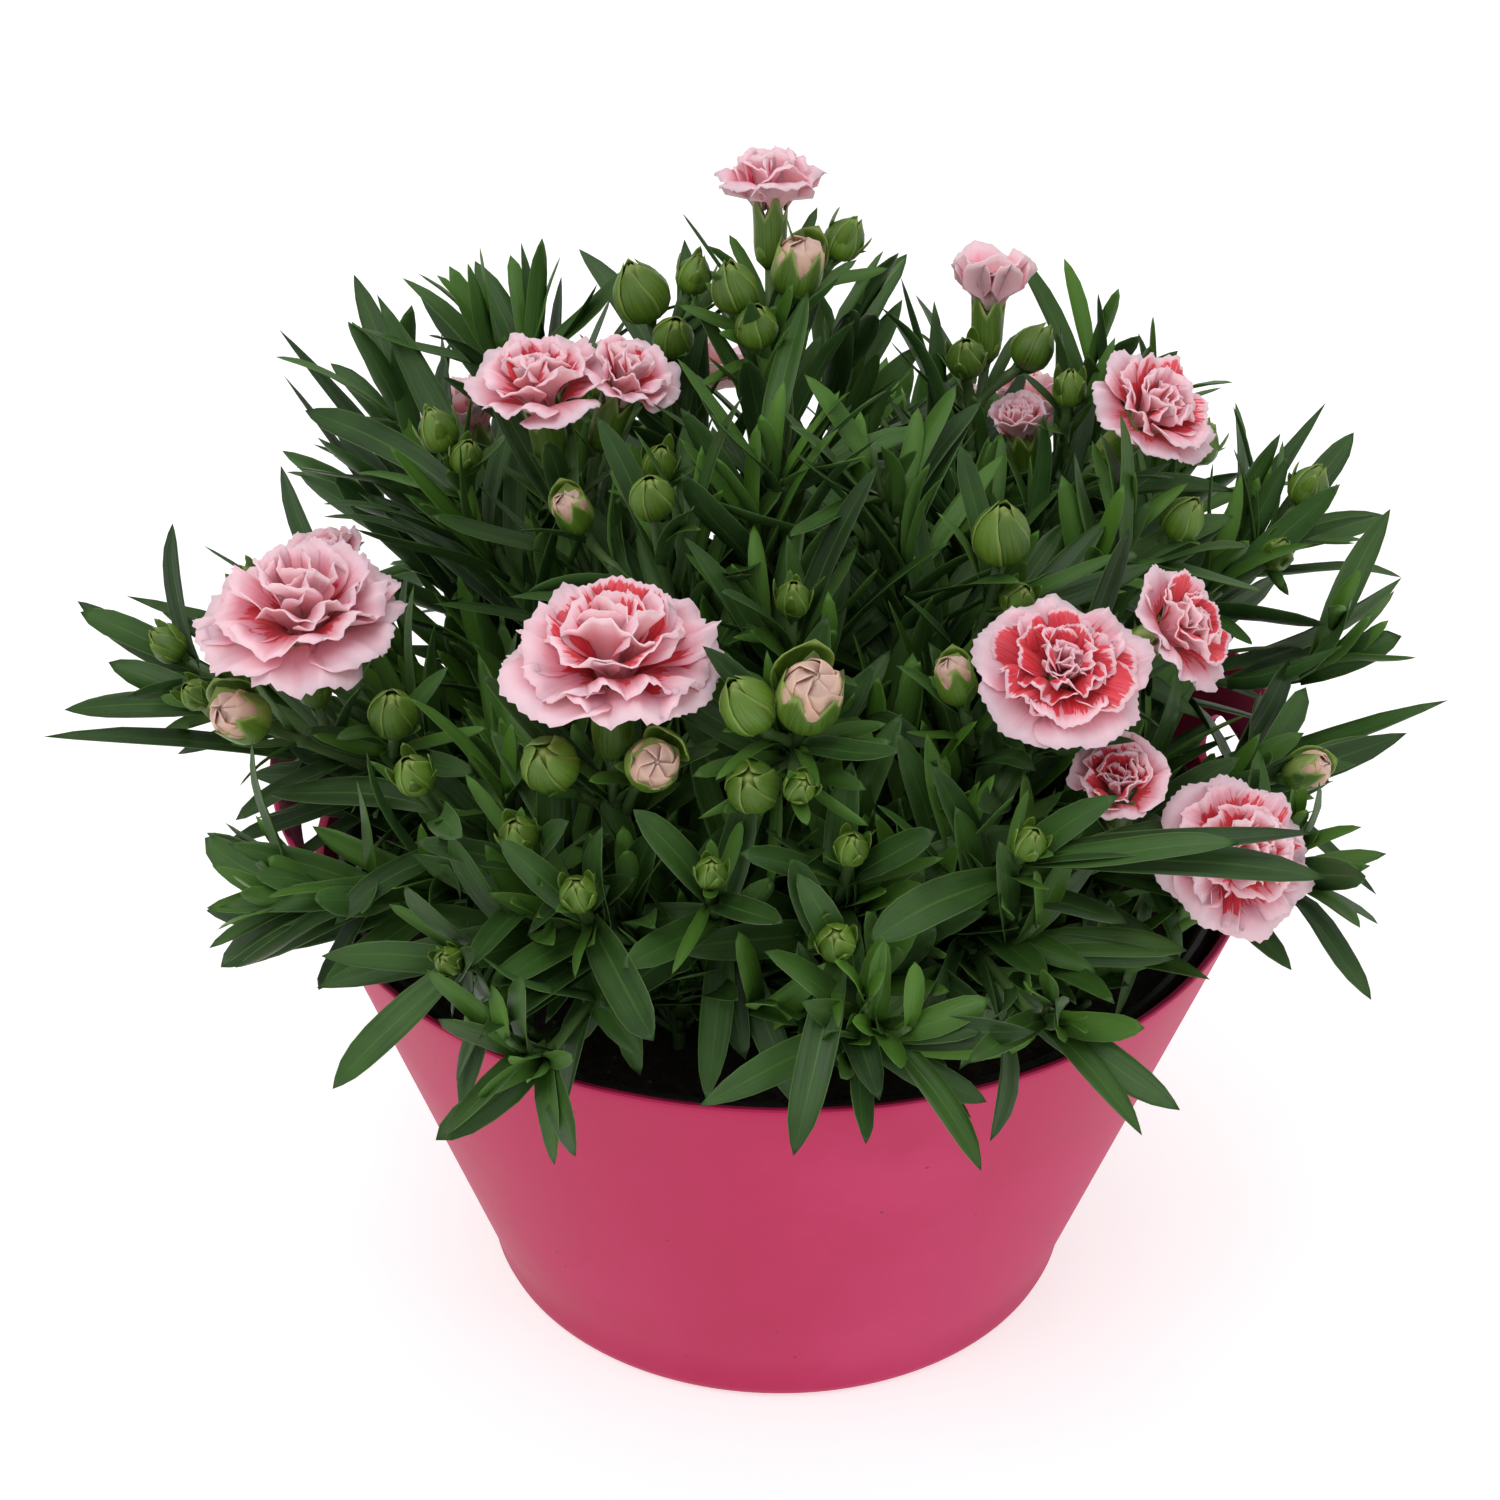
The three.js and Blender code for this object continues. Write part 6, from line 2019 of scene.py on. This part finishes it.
def sepal_points(blade: Pattern, base: Array, face: Array, length: float, size: float, turn: float,
                 free: float = 0.0) -> Array:
    """Wrap a blade round a bud as one of its sepals, with one margin over its neighbour and one under.

    Args:
        blade: The pattern of a flat blade.
        base: The middle of the bud's base.
        face: The bud's direction.
        length: The bud's length.
        size: The bud's width.
        turn: The angle of the sepal's middle.
        free: How far its tip stands off, as a share of the bud's width.

    Returns:
        The place of each corner.
    """
    u, v = blade.u, blade.v
    half = SEPAL_HALF_ANGLE * np.interp(v, (0, 0.15, 0.5, 0.72, 0.88, 1), (1, 1, 1, 0.86, 0.6, 0))
    angle = turn + u * half - SEPAL_TWIST * v
    radius = size * np.interp(v * 0.97, BUD_FORM.shares, BUD_FORM.radii)
    radius = radius * (1.0 + 0.05 * u + 0.03 * (1 - u * u))
    radius += SEPAL_GAP + np.where(blade.w < -0.5, -SEPAL_THICKNESS, 0.0) + 0.05 * size * smooth(0.9, 1.0, v)
    radius += free * size * v * v
    return round_axis(base, face, v * length * 1.03, radius, angle)


def fold_points(blade: Pattern, base: Array, face: Array, length: float, size: float, turn: float) -> Array:
    """Wrap a blade over the top of an opening bud as one of its folded petals, one margin over its neighbour.

    Args:
        blade: The pattern of a flat blade.
        base: The middle of the folded petals' base.
        face: The bud's direction.
        length: How far the petals stand over their base.
        size: The bud's width.
        turn: The angle of the petal's middle.

    Returns:
        The place of each corner.
    """
    u, v = blade.u, blade.v
    angle = turn + u * FOLD_HALF_ANGLE * (1 - 0.25 * v) - FOLD_TWIST * v * v
    radius = size * np.interp(v, DOME_FORM.shares, DOME_FORM.radii) + 0.05 * size
    radius = radius * (1.0 + 0.1 * u + 0.05 * (1 - u * u)) + np.where(blade.w < -0.5, -FOLD_THICKNESS, 0.0)
    radius = np.maximum(radius, 0.0) + 0.03 * size * v
    height = v * length * (1 + 0.05 * u) - 0.16 * length * smooth(0.8, 1.0, v) * (1 - 0.5 * u)
    return round_axis(base, face, height, radius, angle)


@dataclass(frozen=True)
class Petal:
    """One petal: it rises from the calyx, then fans out into a ruffled blade with a toothed margin."""

    seat: Array
    face: Array
    radial: Array
    mouth: float
    neck: float
    length: float
    width: float
    lift: float
    rise: float
    droop: float
    cup: float
    fold: float
    ruffle: float
    waves: float
    phase: float
    seed: int

    TOOTH = 0.022
    NOTCH = 0.024
    # How much shorter the blade is at its sides, and the power that it drops by.
    ROUNDING = (0.24, 2.4)
    CLAW_WIDTH = 0.1
    THICKNESS = 0.28

    def points(self, blade: Pattern) -> Array:
        """Bend a flat blade into this petal.

        Args:
            blade: The pattern of a flat blade.

        Returns:
            The place of each of its corners.
        """
        face, radial = self.face, self.radial
        across = np.cross(radial, face)
        high, out = math.sin(self.rise), math.cos(self.rise)
        start = self.seat + self.mouth * radial
        bend = start + face * self.lift + radial * (0.1 * self.length * out)
        end = self.seat + radial * self.length * out + face * (self.lift + self.length * high)
        far = end + radial * 0.12 * self.length * out - face * self.droop * self.length
        middle = Bend((start, bend, (bend + end) / 2 + (end - bend) * 0.1, far))
        u, v = blade.u, blade.v
        rng = np.random.default_rng(self.seed)
        columns = np.unique(np.round(u, 4))
        jag = np.where(np.arange(len(columns)) % 2 == 1, 1.0, -1.0) * rng.uniform(0.1, 1.0, len(columns))
        notches = np.sin(columns * 3.1 + self.phase) + 0.7 * np.sin(columns * 6.3 + 2 * self.phase)
        edge = np.interp(u, columns, self.TOOTH * jag + self.NOTCH * notches)
        round_off = self.ROUNDING[0] * np.abs(u) ** self.ROUNDING[1]
        share = v * (1 - round_off * smooth(0.3, 1.0, v)) + edge * smooth(0.75, 1.0, v)
        at = middle.at(np.clip(share, 0, 1.06))
        along = middle.tangent(np.clip(share, 0, 1))
        normal = np.cross(np.broadcast_to(across, along.shape), along)
        half = 0.5 * self.width * (self.CLAW_WIDTH + (1 - self.CLAW_WIDTH) * smooth(0.08, self.neck, v))
        bent = self.cup * u
        is_cupped = abs(self.cup) > 1e-3
        reach = np.sin(bent) / self.cup if is_cupped else u
        sag = (1 - np.cos(bent)) / (self.cup if is_cupped else 1.0) + self.fold * np.abs(u) * (1 - 0.5 * v)
        swell = smooth(0.3, 1.0, v)
        ruffle = self.ruffle * swell * np.sin(self.waves * math.pi * u + self.phase)
        ruffle += 0.3 * self.ruffle * swell ** 2 * np.sin(3.3 * self.waves * math.pi * u + 2.1 * self.phase)
        thick = np.where(blade.w < -0.5, -self.THICKNESS, 0.0)
        return at + across * (half * reach)[:, None] + normal * (half * sag + ruffle + thick)[:, None]


@dataclass(frozen=True)
class Ring:
    """One round of petals in a bloom: lengths as shares of the bloom's width, angles in degrees."""

    count: int
    length: float
    width: float
    rise: float
    droop: float
    cup: float
    fold: float
    ruffle: float
    flush: float


# The last number of each ring is how deep its red flush reaches: partly the bloom's own red heart and partly
# painted warm shade deep among the petals
FLAT_RINGS = (
    Ring(6, 0.42, 0.5, -4, 0.08, 0.0, 0.0, 0.02, 0.5),
    Ring(7, 0.345, 0.36, 10, 0.05, 0.0, 0.2, 0.034, 0.88),
    Ring(6, 0.275, 0.3, 24, 0.03, 0.1, 0.5, 0.038, 1.05),
    Ring(5, 0.205, 0.25, 42, 0.0, 0.2, 0.8, 0.038, 1.1),
    Ring(4, 0.13, 0.17, 62, -0.03, 0.5, 0.9, 0.03, 0.5),
)
LOOSE_RINGS = (
    Ring(7, 0.42, 0.48, -2, 0.09, -0.2, 0.0, 0.024, 0.5),
    Ring(7, 0.37, 0.38, 8, 0.05, -0.2, 0.1, 0.034, 0.85),
    Ring(5, 0.3, 0.36, 28, 0.02, -0.1, 0.3, 0.036, 1.0),
    Ring(4, 0.29, 0.36, 56, 0.0, -0.3, 0.6, 0.036, 1.05),
    Ring(3, 0.24, 0.3, 76, -0.03, 0.2, 0.7, 0.03, 1.0),
)
SMALL_RINGS = (
    Ring(6, 0.42, 0.48, 4, 0.1, -0.1, 0.0, 0.03, 0.65),
    Ring(5, 0.34, 0.4, 24, 0.04, 0.0, 0.4, 0.04, 0.95),
    Ring(5, 0.26, 0.34, 48, 0.0, 0.1, 0.7, 0.04, 1.05),
    Ring(3, 0.18, 0.26, 72, 0.0, 0.4, 0.9, 0.035, 1.0),
)
FUNNEL_RINGS = (
    Ring(6, 0.44, 0.5, 8, 0.1, -0.35, 0.0, 0.03, 0.65),
    Ring(5, 0.36, 0.42, 30, 0.5, 0.0, 0.2, 0.035, 0.95),
    Ring(4, 0.28, 0.34, 52, 1.0, 0.1, 0.6, 0.035, 1.05),
)
DOMED_RINGS = (
    Ring(6, 0.5, 0.56, 14, 0.52, -0.7, 0.0, 0.03, 0.3),
    Ring(5, 0.42, 0.48, 32, 0.4, -0.4, 0.0, 0.034, 0.6),
    Ring(5, 0.31, 0.38, 52, 0.12, 0.0, 0.2, 0.034, 1.0),
    Ring(3, 0.21, 0.28, 72, 0.0, 0.4, 0.6, 0.03, 1.0),
)


@dataclass(frozen=True)
class Habit:
    """How a bloom's petals stand, how deep their flush is and where they reach their full width."""

    rings: tuple[Ring, ...]
    flush: float
    neck: float = 0.7


# Each bloom's flush depth is partly its own red heart and partly painted warm shade deep among its petals
HABITS = {
    "crown": Habit(DOMED_RINGS, 0.5, 0.42),
    "crown_right": Habit(FUNNEL_RINGS, 0.62, 0.42),
    "inner_left": Habit(SMALL_RINGS, 0.85),
    "left_bloom": Habit(LOOSE_RINGS, 0.76),
    "left_back_bloom": Habit(SMALL_RINGS, 0.75),
    "front_left_bloom": Habit(LOOSE_RINGS, 0.86),
    "front_right_bloom": Habit(FLAT_RINGS, 1.1),
    "right_bloom": Habit(SMALL_RINGS, 1.1),
    "hidden_bloom": Habit(SMALL_RINGS, 1.1),
    "low_right_bloom": Habit(LOOSE_RINGS, 0.9),
}
USUAL_HABIT = Habit(SMALL_RINGS, 0.9)
FULL_SIZE = 33.0


@dataclass
class Bloom:
    """A double bloom of nested, ruffled petals."""

    head: Head
    seed: int
    habit: Habit

    def petals(self) -> list[tuple[Petal, float]]:
        """Return the petals with how deep each one's flush is."""
        head, draw = self.head, Stream(self.seed * 13 + 5)
        size, face = head.size, head.face
        seat = head.end + CALYX_LENGTH * head.scale * face
        rings = self.habit.rings
        found = []
        for level, ring in enumerate(rings):
            inward = level / (len(rings) - 1)
            start = draw.between(0, 2 * math.pi)
            closed = (1 - head.open) * 58 * (1 - inward)
            for i in range(ring.count):
                angle = start + 2 * math.pi * i / ring.count + draw.between(-0.2, 0.2)
                petal = Petal(
                    seat=seat - 2.0 * face,
                    face=face,
                    radial=outward(face, angle),
                    mouth=lerp(3.4, 0.6, inward) * head.scale,
                    neck=self.habit.neck,
                    length=ring.length * size * draw.between(0.92, 1.1),
                    width=ring.width * size * draw.between(0.88, 1.15),
                    lift=2.0 + size * (0.13 + 0.04 * inward),
                    rise=math.radians(ring.rise + closed + draw.between(-6, 10)),
                    droop=ring.droop + draw.between(-0.03, 0.05),
                    cup=ring.cup + draw.between(-0.25, 0.35),
                    fold=ring.fold * draw.between(0.0, 1.5),
                    ruffle=ring.ruffle * size * draw.between(0.7, 1.4),
                    waves=draw.between(0.9, 2.2),
                    phase=draw.between(0, 6.28),
                    seed=int(draw() * 1e6),
                )
                depth = self.habit.flush * ring.flush * draw.between(0.62, 1.12)
                found.append((petal, min(depth, 1.15)))
        return found


@dataclass
class Shapes:
    """The shapes that are modelled once and copied into every plant."""

    blade: Pattern = field(default_factory=lambda: blade_pattern(4, 8, pointed=True))
    slip: Pattern = field(default_factory=lambda: blade_pattern(2, 6, pointed=True))
    stem: Pattern = field(default_factory=lambda: tube_pattern(8, 36))
    twig: Pattern = field(default_factory=lambda: tube_pattern(6, 5))
    bud: Pattern = field(default_factory=lambda: tube_pattern(30, 11, pointed=True))
    cup: Pattern = field(default_factory=lambda: tube_pattern(30, 8))
    dome: Pattern = field(default_factory=lambda: tube_pattern(44, 9, pointed=True))
    petal: Pattern = field(default_factory=lambda: blade_pattern(20, 7, pointed=False))
    small_petal: Pattern = field(default_factory=lambda: blade_pattern(14, 5, pointed=False))


@dataclass
class PlantPiece:
    """The green parts of one plant: stems, leaves, buds and calyxes."""

    growth: Growth
    shapes: Shapes
    finishes: Finishes

    TOP, BACK, STEM, BUD = range(4)
    NODE_REACH = 1.6
    # The stems' thickness as a share of the solids', and how much they swell at a node.
    STEM_SHAPE = (0.86, 0.3)
    SLIP_LENGTH = 34.0
    SMALL_BUD = 9.2
    SCALES = 4
    LONG_SCALES = (0.8, 1.1)
    SHORT_SCALES = (0.36, 0.52)

    def build(self) -> None:
        """Make the piece."""
        made = self.finishes
        batch = Batch((made.leaf, made.leaf_back, made.stem, made.bud))
        draw = Stream(self.growth.grown.seed(0) + 77)
        for shoot in self.growth.grown.shoots:
            self.add_stem(batch, shoot, draw())
            for leaf in shoot.leaves:
                self.add_leaf(batch, leaf, draw())
            self.add_head(batch, shoot.shoot.head, draw)
        for leaf in self.growth.leaves:
            self.add_leaf(batch, leaf, draw())
        for twig in self.growth.twigs:
            tube = self.shapes.twig
            way, along = twig.curve.at(tube.v), twig.curve.tangent(tube.v)
            batch.add(tube, self.tube_points(tube, way, along, Twig.RADIUS), self.STEM, (draw(), 0.2))
            for leaf in twig.leaves:
                self.add_leaf(batch, leaf, draw())
        name = self.growth.grown.plant.name
        fit(batch.build("plant_" + name), self.growth.grown.node)

    def add_leaf(self, batch: Batch, leaf: Leaf, shade: float) -> None:
        """Add one leaf, of the fine shape if it is long."""
        span = float(np.linalg.norm(leaf.tip - leaf.root))
        blade = self.shapes.blade if span > self.SLIP_LENGTH else self.shapes.slip
        batch.add(blade, leaf.points(blade), self.TOP, (shade, leaf.youth), under=self.BACK)

    @staticmethod
    def tube_points(tube: Pattern, way: Array, along: Array, radius: float | Array) -> Array:
        """Bend a tube along a way, given for each of its corners."""
        side = square(np.broadcast_to([1.0, 0.0, 0.0], along.shape), along)
        up = np.cross(along, side)
        radius = np.broadcast_to(radius, tube.v.shape)
        return way + side * (radius * tube.u)[:, None] - up * (radius * tube.w)[:, None]

    def add_stem(self, batch: Batch, shoot: GrownShoot, shade: float) -> None:
        """Add a stem that swells at each of its nodes."""
        tube = self.shapes.stem
        count = int(round(1 / float(np.min(tube.v[tube.v > 1e-6]))))
        span = shoot.curve.length()
        half = self.NODE_REACH / span
        nodes = sorted(set(round(t, 5) for t in shoot.nodes))[:(count - 6) // 3]
        close = [min(max(t + off, 0.0), 1.0) for t in nodes for off in (-half, 0.0, half)]
        stops = np.sort(np.concatenate([np.linspace(0, 1, count - len(close)), close]))
        first = -(STEM_DEPTH + SOIL_MOUND) / span if shoot.is_main else 0.0
        t = np.concatenate([[first], stops])[np.round(tube.v * count).astype(int)]
        inside = np.clip(t, 0, 1)
        way = shoot.curve.at(inside) + np.minimum(t, 0)[:, None] * span * UP
        swelling = sum((np.exp(-(((inside - node) / half) ** 2)) for node in nodes), np.zeros_like(t))
        slim, swell = self.STEM_SHAPE
        radius = slim * lerp(*shoot.radii, inside) * (1 + swell * np.minimum(swelling, 1.0))
        along = shoot.curve.tangent(inside)
        batch.add(tube, self.tube_points(tube, way, along, radius), self.STEM, (shade, 0.1))

    def add_head(self, batch: Batch, head: Head, draw: Stream) -> None:
        """Add the green part of a head and the small scales at its base."""
        if head.kind is HeadKind.LEAVES:
            return
        shade = (draw(), draw())
        turn = draw.between(0, 2 * math.pi)
        base, face, cup, blade = head.end, head.face, self.shapes.cup, self.shapes.blade
        length, radius = BUD_STRETCH * head.size, 0.42 * head.size
        if head.kind is HeadKind.BUD:
            points = BUD_FORM.points(self.shapes.bud, base, face, 0.97 * length, 0.97 * head.size)
            batch.add(self.shapes.bud, points, self.BUD, shade)
            for i in range(SEPALS):
                middle = turn + i * 2 * math.pi / SEPALS
                points = sepal_points(blade, base, face, length, head.size, middle)
                batch.add(blade, points, self.BUD, (draw(), shade[1]))
        elif head.kind is HeadKind.OPENING:
            teeth = sepal_teeth(turn, 0.62, -0.05)
            points = CUP_FORM.points(cup, base, face, 0.8 * length, 1.03 * head.size, teeth)
            batch.add(cup, points, self.BUD, shade)
            side, up = frame_of(face)
            back = math.atan2(up[1], side[1]) + draw.between(-0.5, 0.5)
            points = sepal_points(blade, base, face, 1.04 * length, 1.12 * head.size, back, 0.42)
            batch.add(blade, points, self.BUD, (draw(), shade[1]))
        else:
            length, radius = CALYX_LENGTH * head.scale, 3.9 * head.scale
            points = CALYX_FORM.points(cup, base, face, length, head.scale, sepal_teeth(turn, 0.42, 0.1))
            batch.add(cup, points, self.BUD, (0.3 * shade[0], shade[1]))
        is_small = head.size < self.SMALL_BUD and head.kind is HeadKind.BUD
        reach = self.LONG_SCALES if is_small else self.SHORT_SCALES
        for i in range(self.SCALES):
            out = outward(face, turn + i * math.pi / 2)
            tip = base + face * length * draw.between(*reach) + out * radius * (1.0 + 0.5 * reach[0] ** 2)
            leaf = Leaf(base + out * 0.9, face, tip, 0.95 * radius, -0.26, 0.0, youth=0.6)
            batch.add(self.shapes.slip, leaf.points(self.shapes.slip), self.BUD, shade)


@dataclass
class BloomPiece:
    """The petals of one bloom."""

    name: str
    bloom: Bloom
    shapes: Shapes
    finishes: Finishes

    def build(self) -> None:
        """Make the piece."""
        batch = Batch((self.finishes.petal, self.finishes.petal_back))
        draw = Stream(self.bloom.seed + 3)
        pattern = self.shapes.petal if self.bloom.head.size > FULL_SIZE else self.shapes.small_petal
        for petal, depth in self.bloom.petals():
            batch.add(pattern, petal.points(pattern), 0, (depth, draw()), under=1)
        fit(batch.build("flower_" + self.name), "bloom_" + self.name)


@dataclass
class FoldedPetals:
    """The folded petals that show in one bud as it opens."""

    name: str
    head: Head
    seed: int
    shapes: Shapes
    finishes: Finishes

    FOLDS = 6

    def build(self) -> None:
        """Make the piece."""
        draw = Stream(self.seed + 9)
        batch = Batch((self.finishes.cream,))
        head, dome, petal = self.head, self.shapes.dome, self.shapes.small_petal
        length = BUD_STRETCH * head.size
        base = head.end + 0.45 * length * head.face
        points = DOME_FORM.points(dome, base, head.face, 0.5 * length, 0.82 * head.size)
        batch.add(dome, points, 0, (0.9, draw()))
        turn = draw.between(0, 6.28)
        for i in range(self.FOLDS):
            angle = turn + 2 * math.pi * i / self.FOLDS + draw.between(-0.2, 0.2)
            height = 0.6 * length * draw.between(0.92, 1.03)
            points = fold_points(petal, base, head.face, height, 0.88 * head.size, angle)
            batch.add(petal, points, 0, (draw.between(0.1, 0.5), draw()))
        fit(batch.build("folded_petals_" + self.name), "tip_" + self.name)


# ----------------------------------------------------------------------------------------------- stage


@dataclass
class Studio:
    """A plain pale studio: white paper, a white surround and large soft lights."""

    view: Camera = Camera()
    surround: float = 0.62
    floor_size: float = 12.0
    lit: Triple = (0.0, 0.0, 0.15)

    # Each light's name, place and width in metres, and power in watts.
    LIGHTS = (("key", (-0.7, -0.9, 1.8), 1.0, 13), ("fill", (1.3, -0.9, 1.0), 1.4, 3.5),
              ("top", (0.1, 0.5, 1.9), 1.5, 9))

    def build(self, paper: bpy.types.Material) -> None:
        """Make the floor, the surround, the lights and the camera."""
        bpy.ops.object.select_all(action="DESELECT")
        bpy.ops.mesh.primitive_plane_add(size=self.floor_size, location=(0, 0, 0))
        floor = bpy.context.object
        floor.name = "paper_floor"
        start_edit()
        bpy.ops.transform.translate(value=(0, 1.2, -0.0004))
        bpy.ops.mesh.subdivide(number_cuts=6)
        bpy.ops.object.mode_set(mode="OBJECT")
        floor.data.materials.append(paper)
        scene = bpy.context.scene
        scene.view_settings.view_transform = "Standard"
        world = bpy.data.worlds.new("studio surround")
        world.use_nodes = True
        sky = world.node_tree.nodes["Background"].inputs
        sky["Color"].default_value, sky["Strength"].default_value = (1.0, 1.0, 1.0, 1.0), self.surround
        scene.world = world
        for light in self.LIGHTS:
            self.add_light(*light)
        self.add_camera()

    def add_light(self, name: str, at: Triple, size: float, power: float) -> None:
        """Add a square soft light that faces the plant."""
        data = bpy.data.lights.new(name, "AREA")
        data.size, data.energy = size, power
        light = bpy.data.objects.new(name, data)
        light.location = at
        light.rotation_euler = (Vector(self.lit) - Vector(at)).to_track_quat("-Z", "Y").to_euler()
        bpy.context.scene.collection.objects.link(light)

    def add_camera(self) -> None:
        """Add the camera and make it the scene's own."""
        data = bpy.data.cameras.new("camera")
        data.lens, data.sensor_width = self.view.lens, self.view.sensor
        data.clip_end = 20.0
        camera = bpy.data.objects.new("camera", data)
        camera.matrix_world = Matrix.Translation(self.view.place) @ self.view.turned.to_4x4()
        bpy.context.scene.collection.objects.link(camera)
        bpy.context.scene.camera = camera


def main() -> None:
    """Build the pieces in order."""
    logging.basicConfig(level=logging.INFO, format="%(message)s")
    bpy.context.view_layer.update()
    finishes = Finishes()
    shapes = Shapes()
    Bowl().build(finishes.bowl)
    GrowPot().build(finishes.liner)
    Soil().build(finishes.soil)
    room = Room.around(PLANTS)
    plants = [GrownPlant(index, plant) for index, plant in enumerate(PLANTS)]
    growths = [Growth(grown, room, Stream(grown.growth_seed)) for grown in plants]
    for growth in growths:
        growth.grown.read()
        growth.run()
    add_outer_leaves(growths)
    for growth in growths:
        PlantPiece(growth, shapes, finishes).build()
        grown, plant = growth.grown, growth.grown.plant
        heads = [(grown.seed(number), shoot.head) for number, shoot in enumerate(plant.shoots)]
        for seed, head in heads:
            if head.kind is HeadKind.BLOOM:
                bloom = Bloom(head, seed, HABITS.get(plant.name, USUAL_HABIT))
                BloomPiece(plant.name, bloom, shapes, finishes).build()
        for number, (seed, head) in enumerate(heads, 1):
            if head.kind is HeadKind.OPENING:
                FoldedPetals(f"{plant.name}_{number}", head, seed, shapes, finishes).build()
    Studio().build(finishes.paper)
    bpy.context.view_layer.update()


if __name__ == "__main__":
    main()
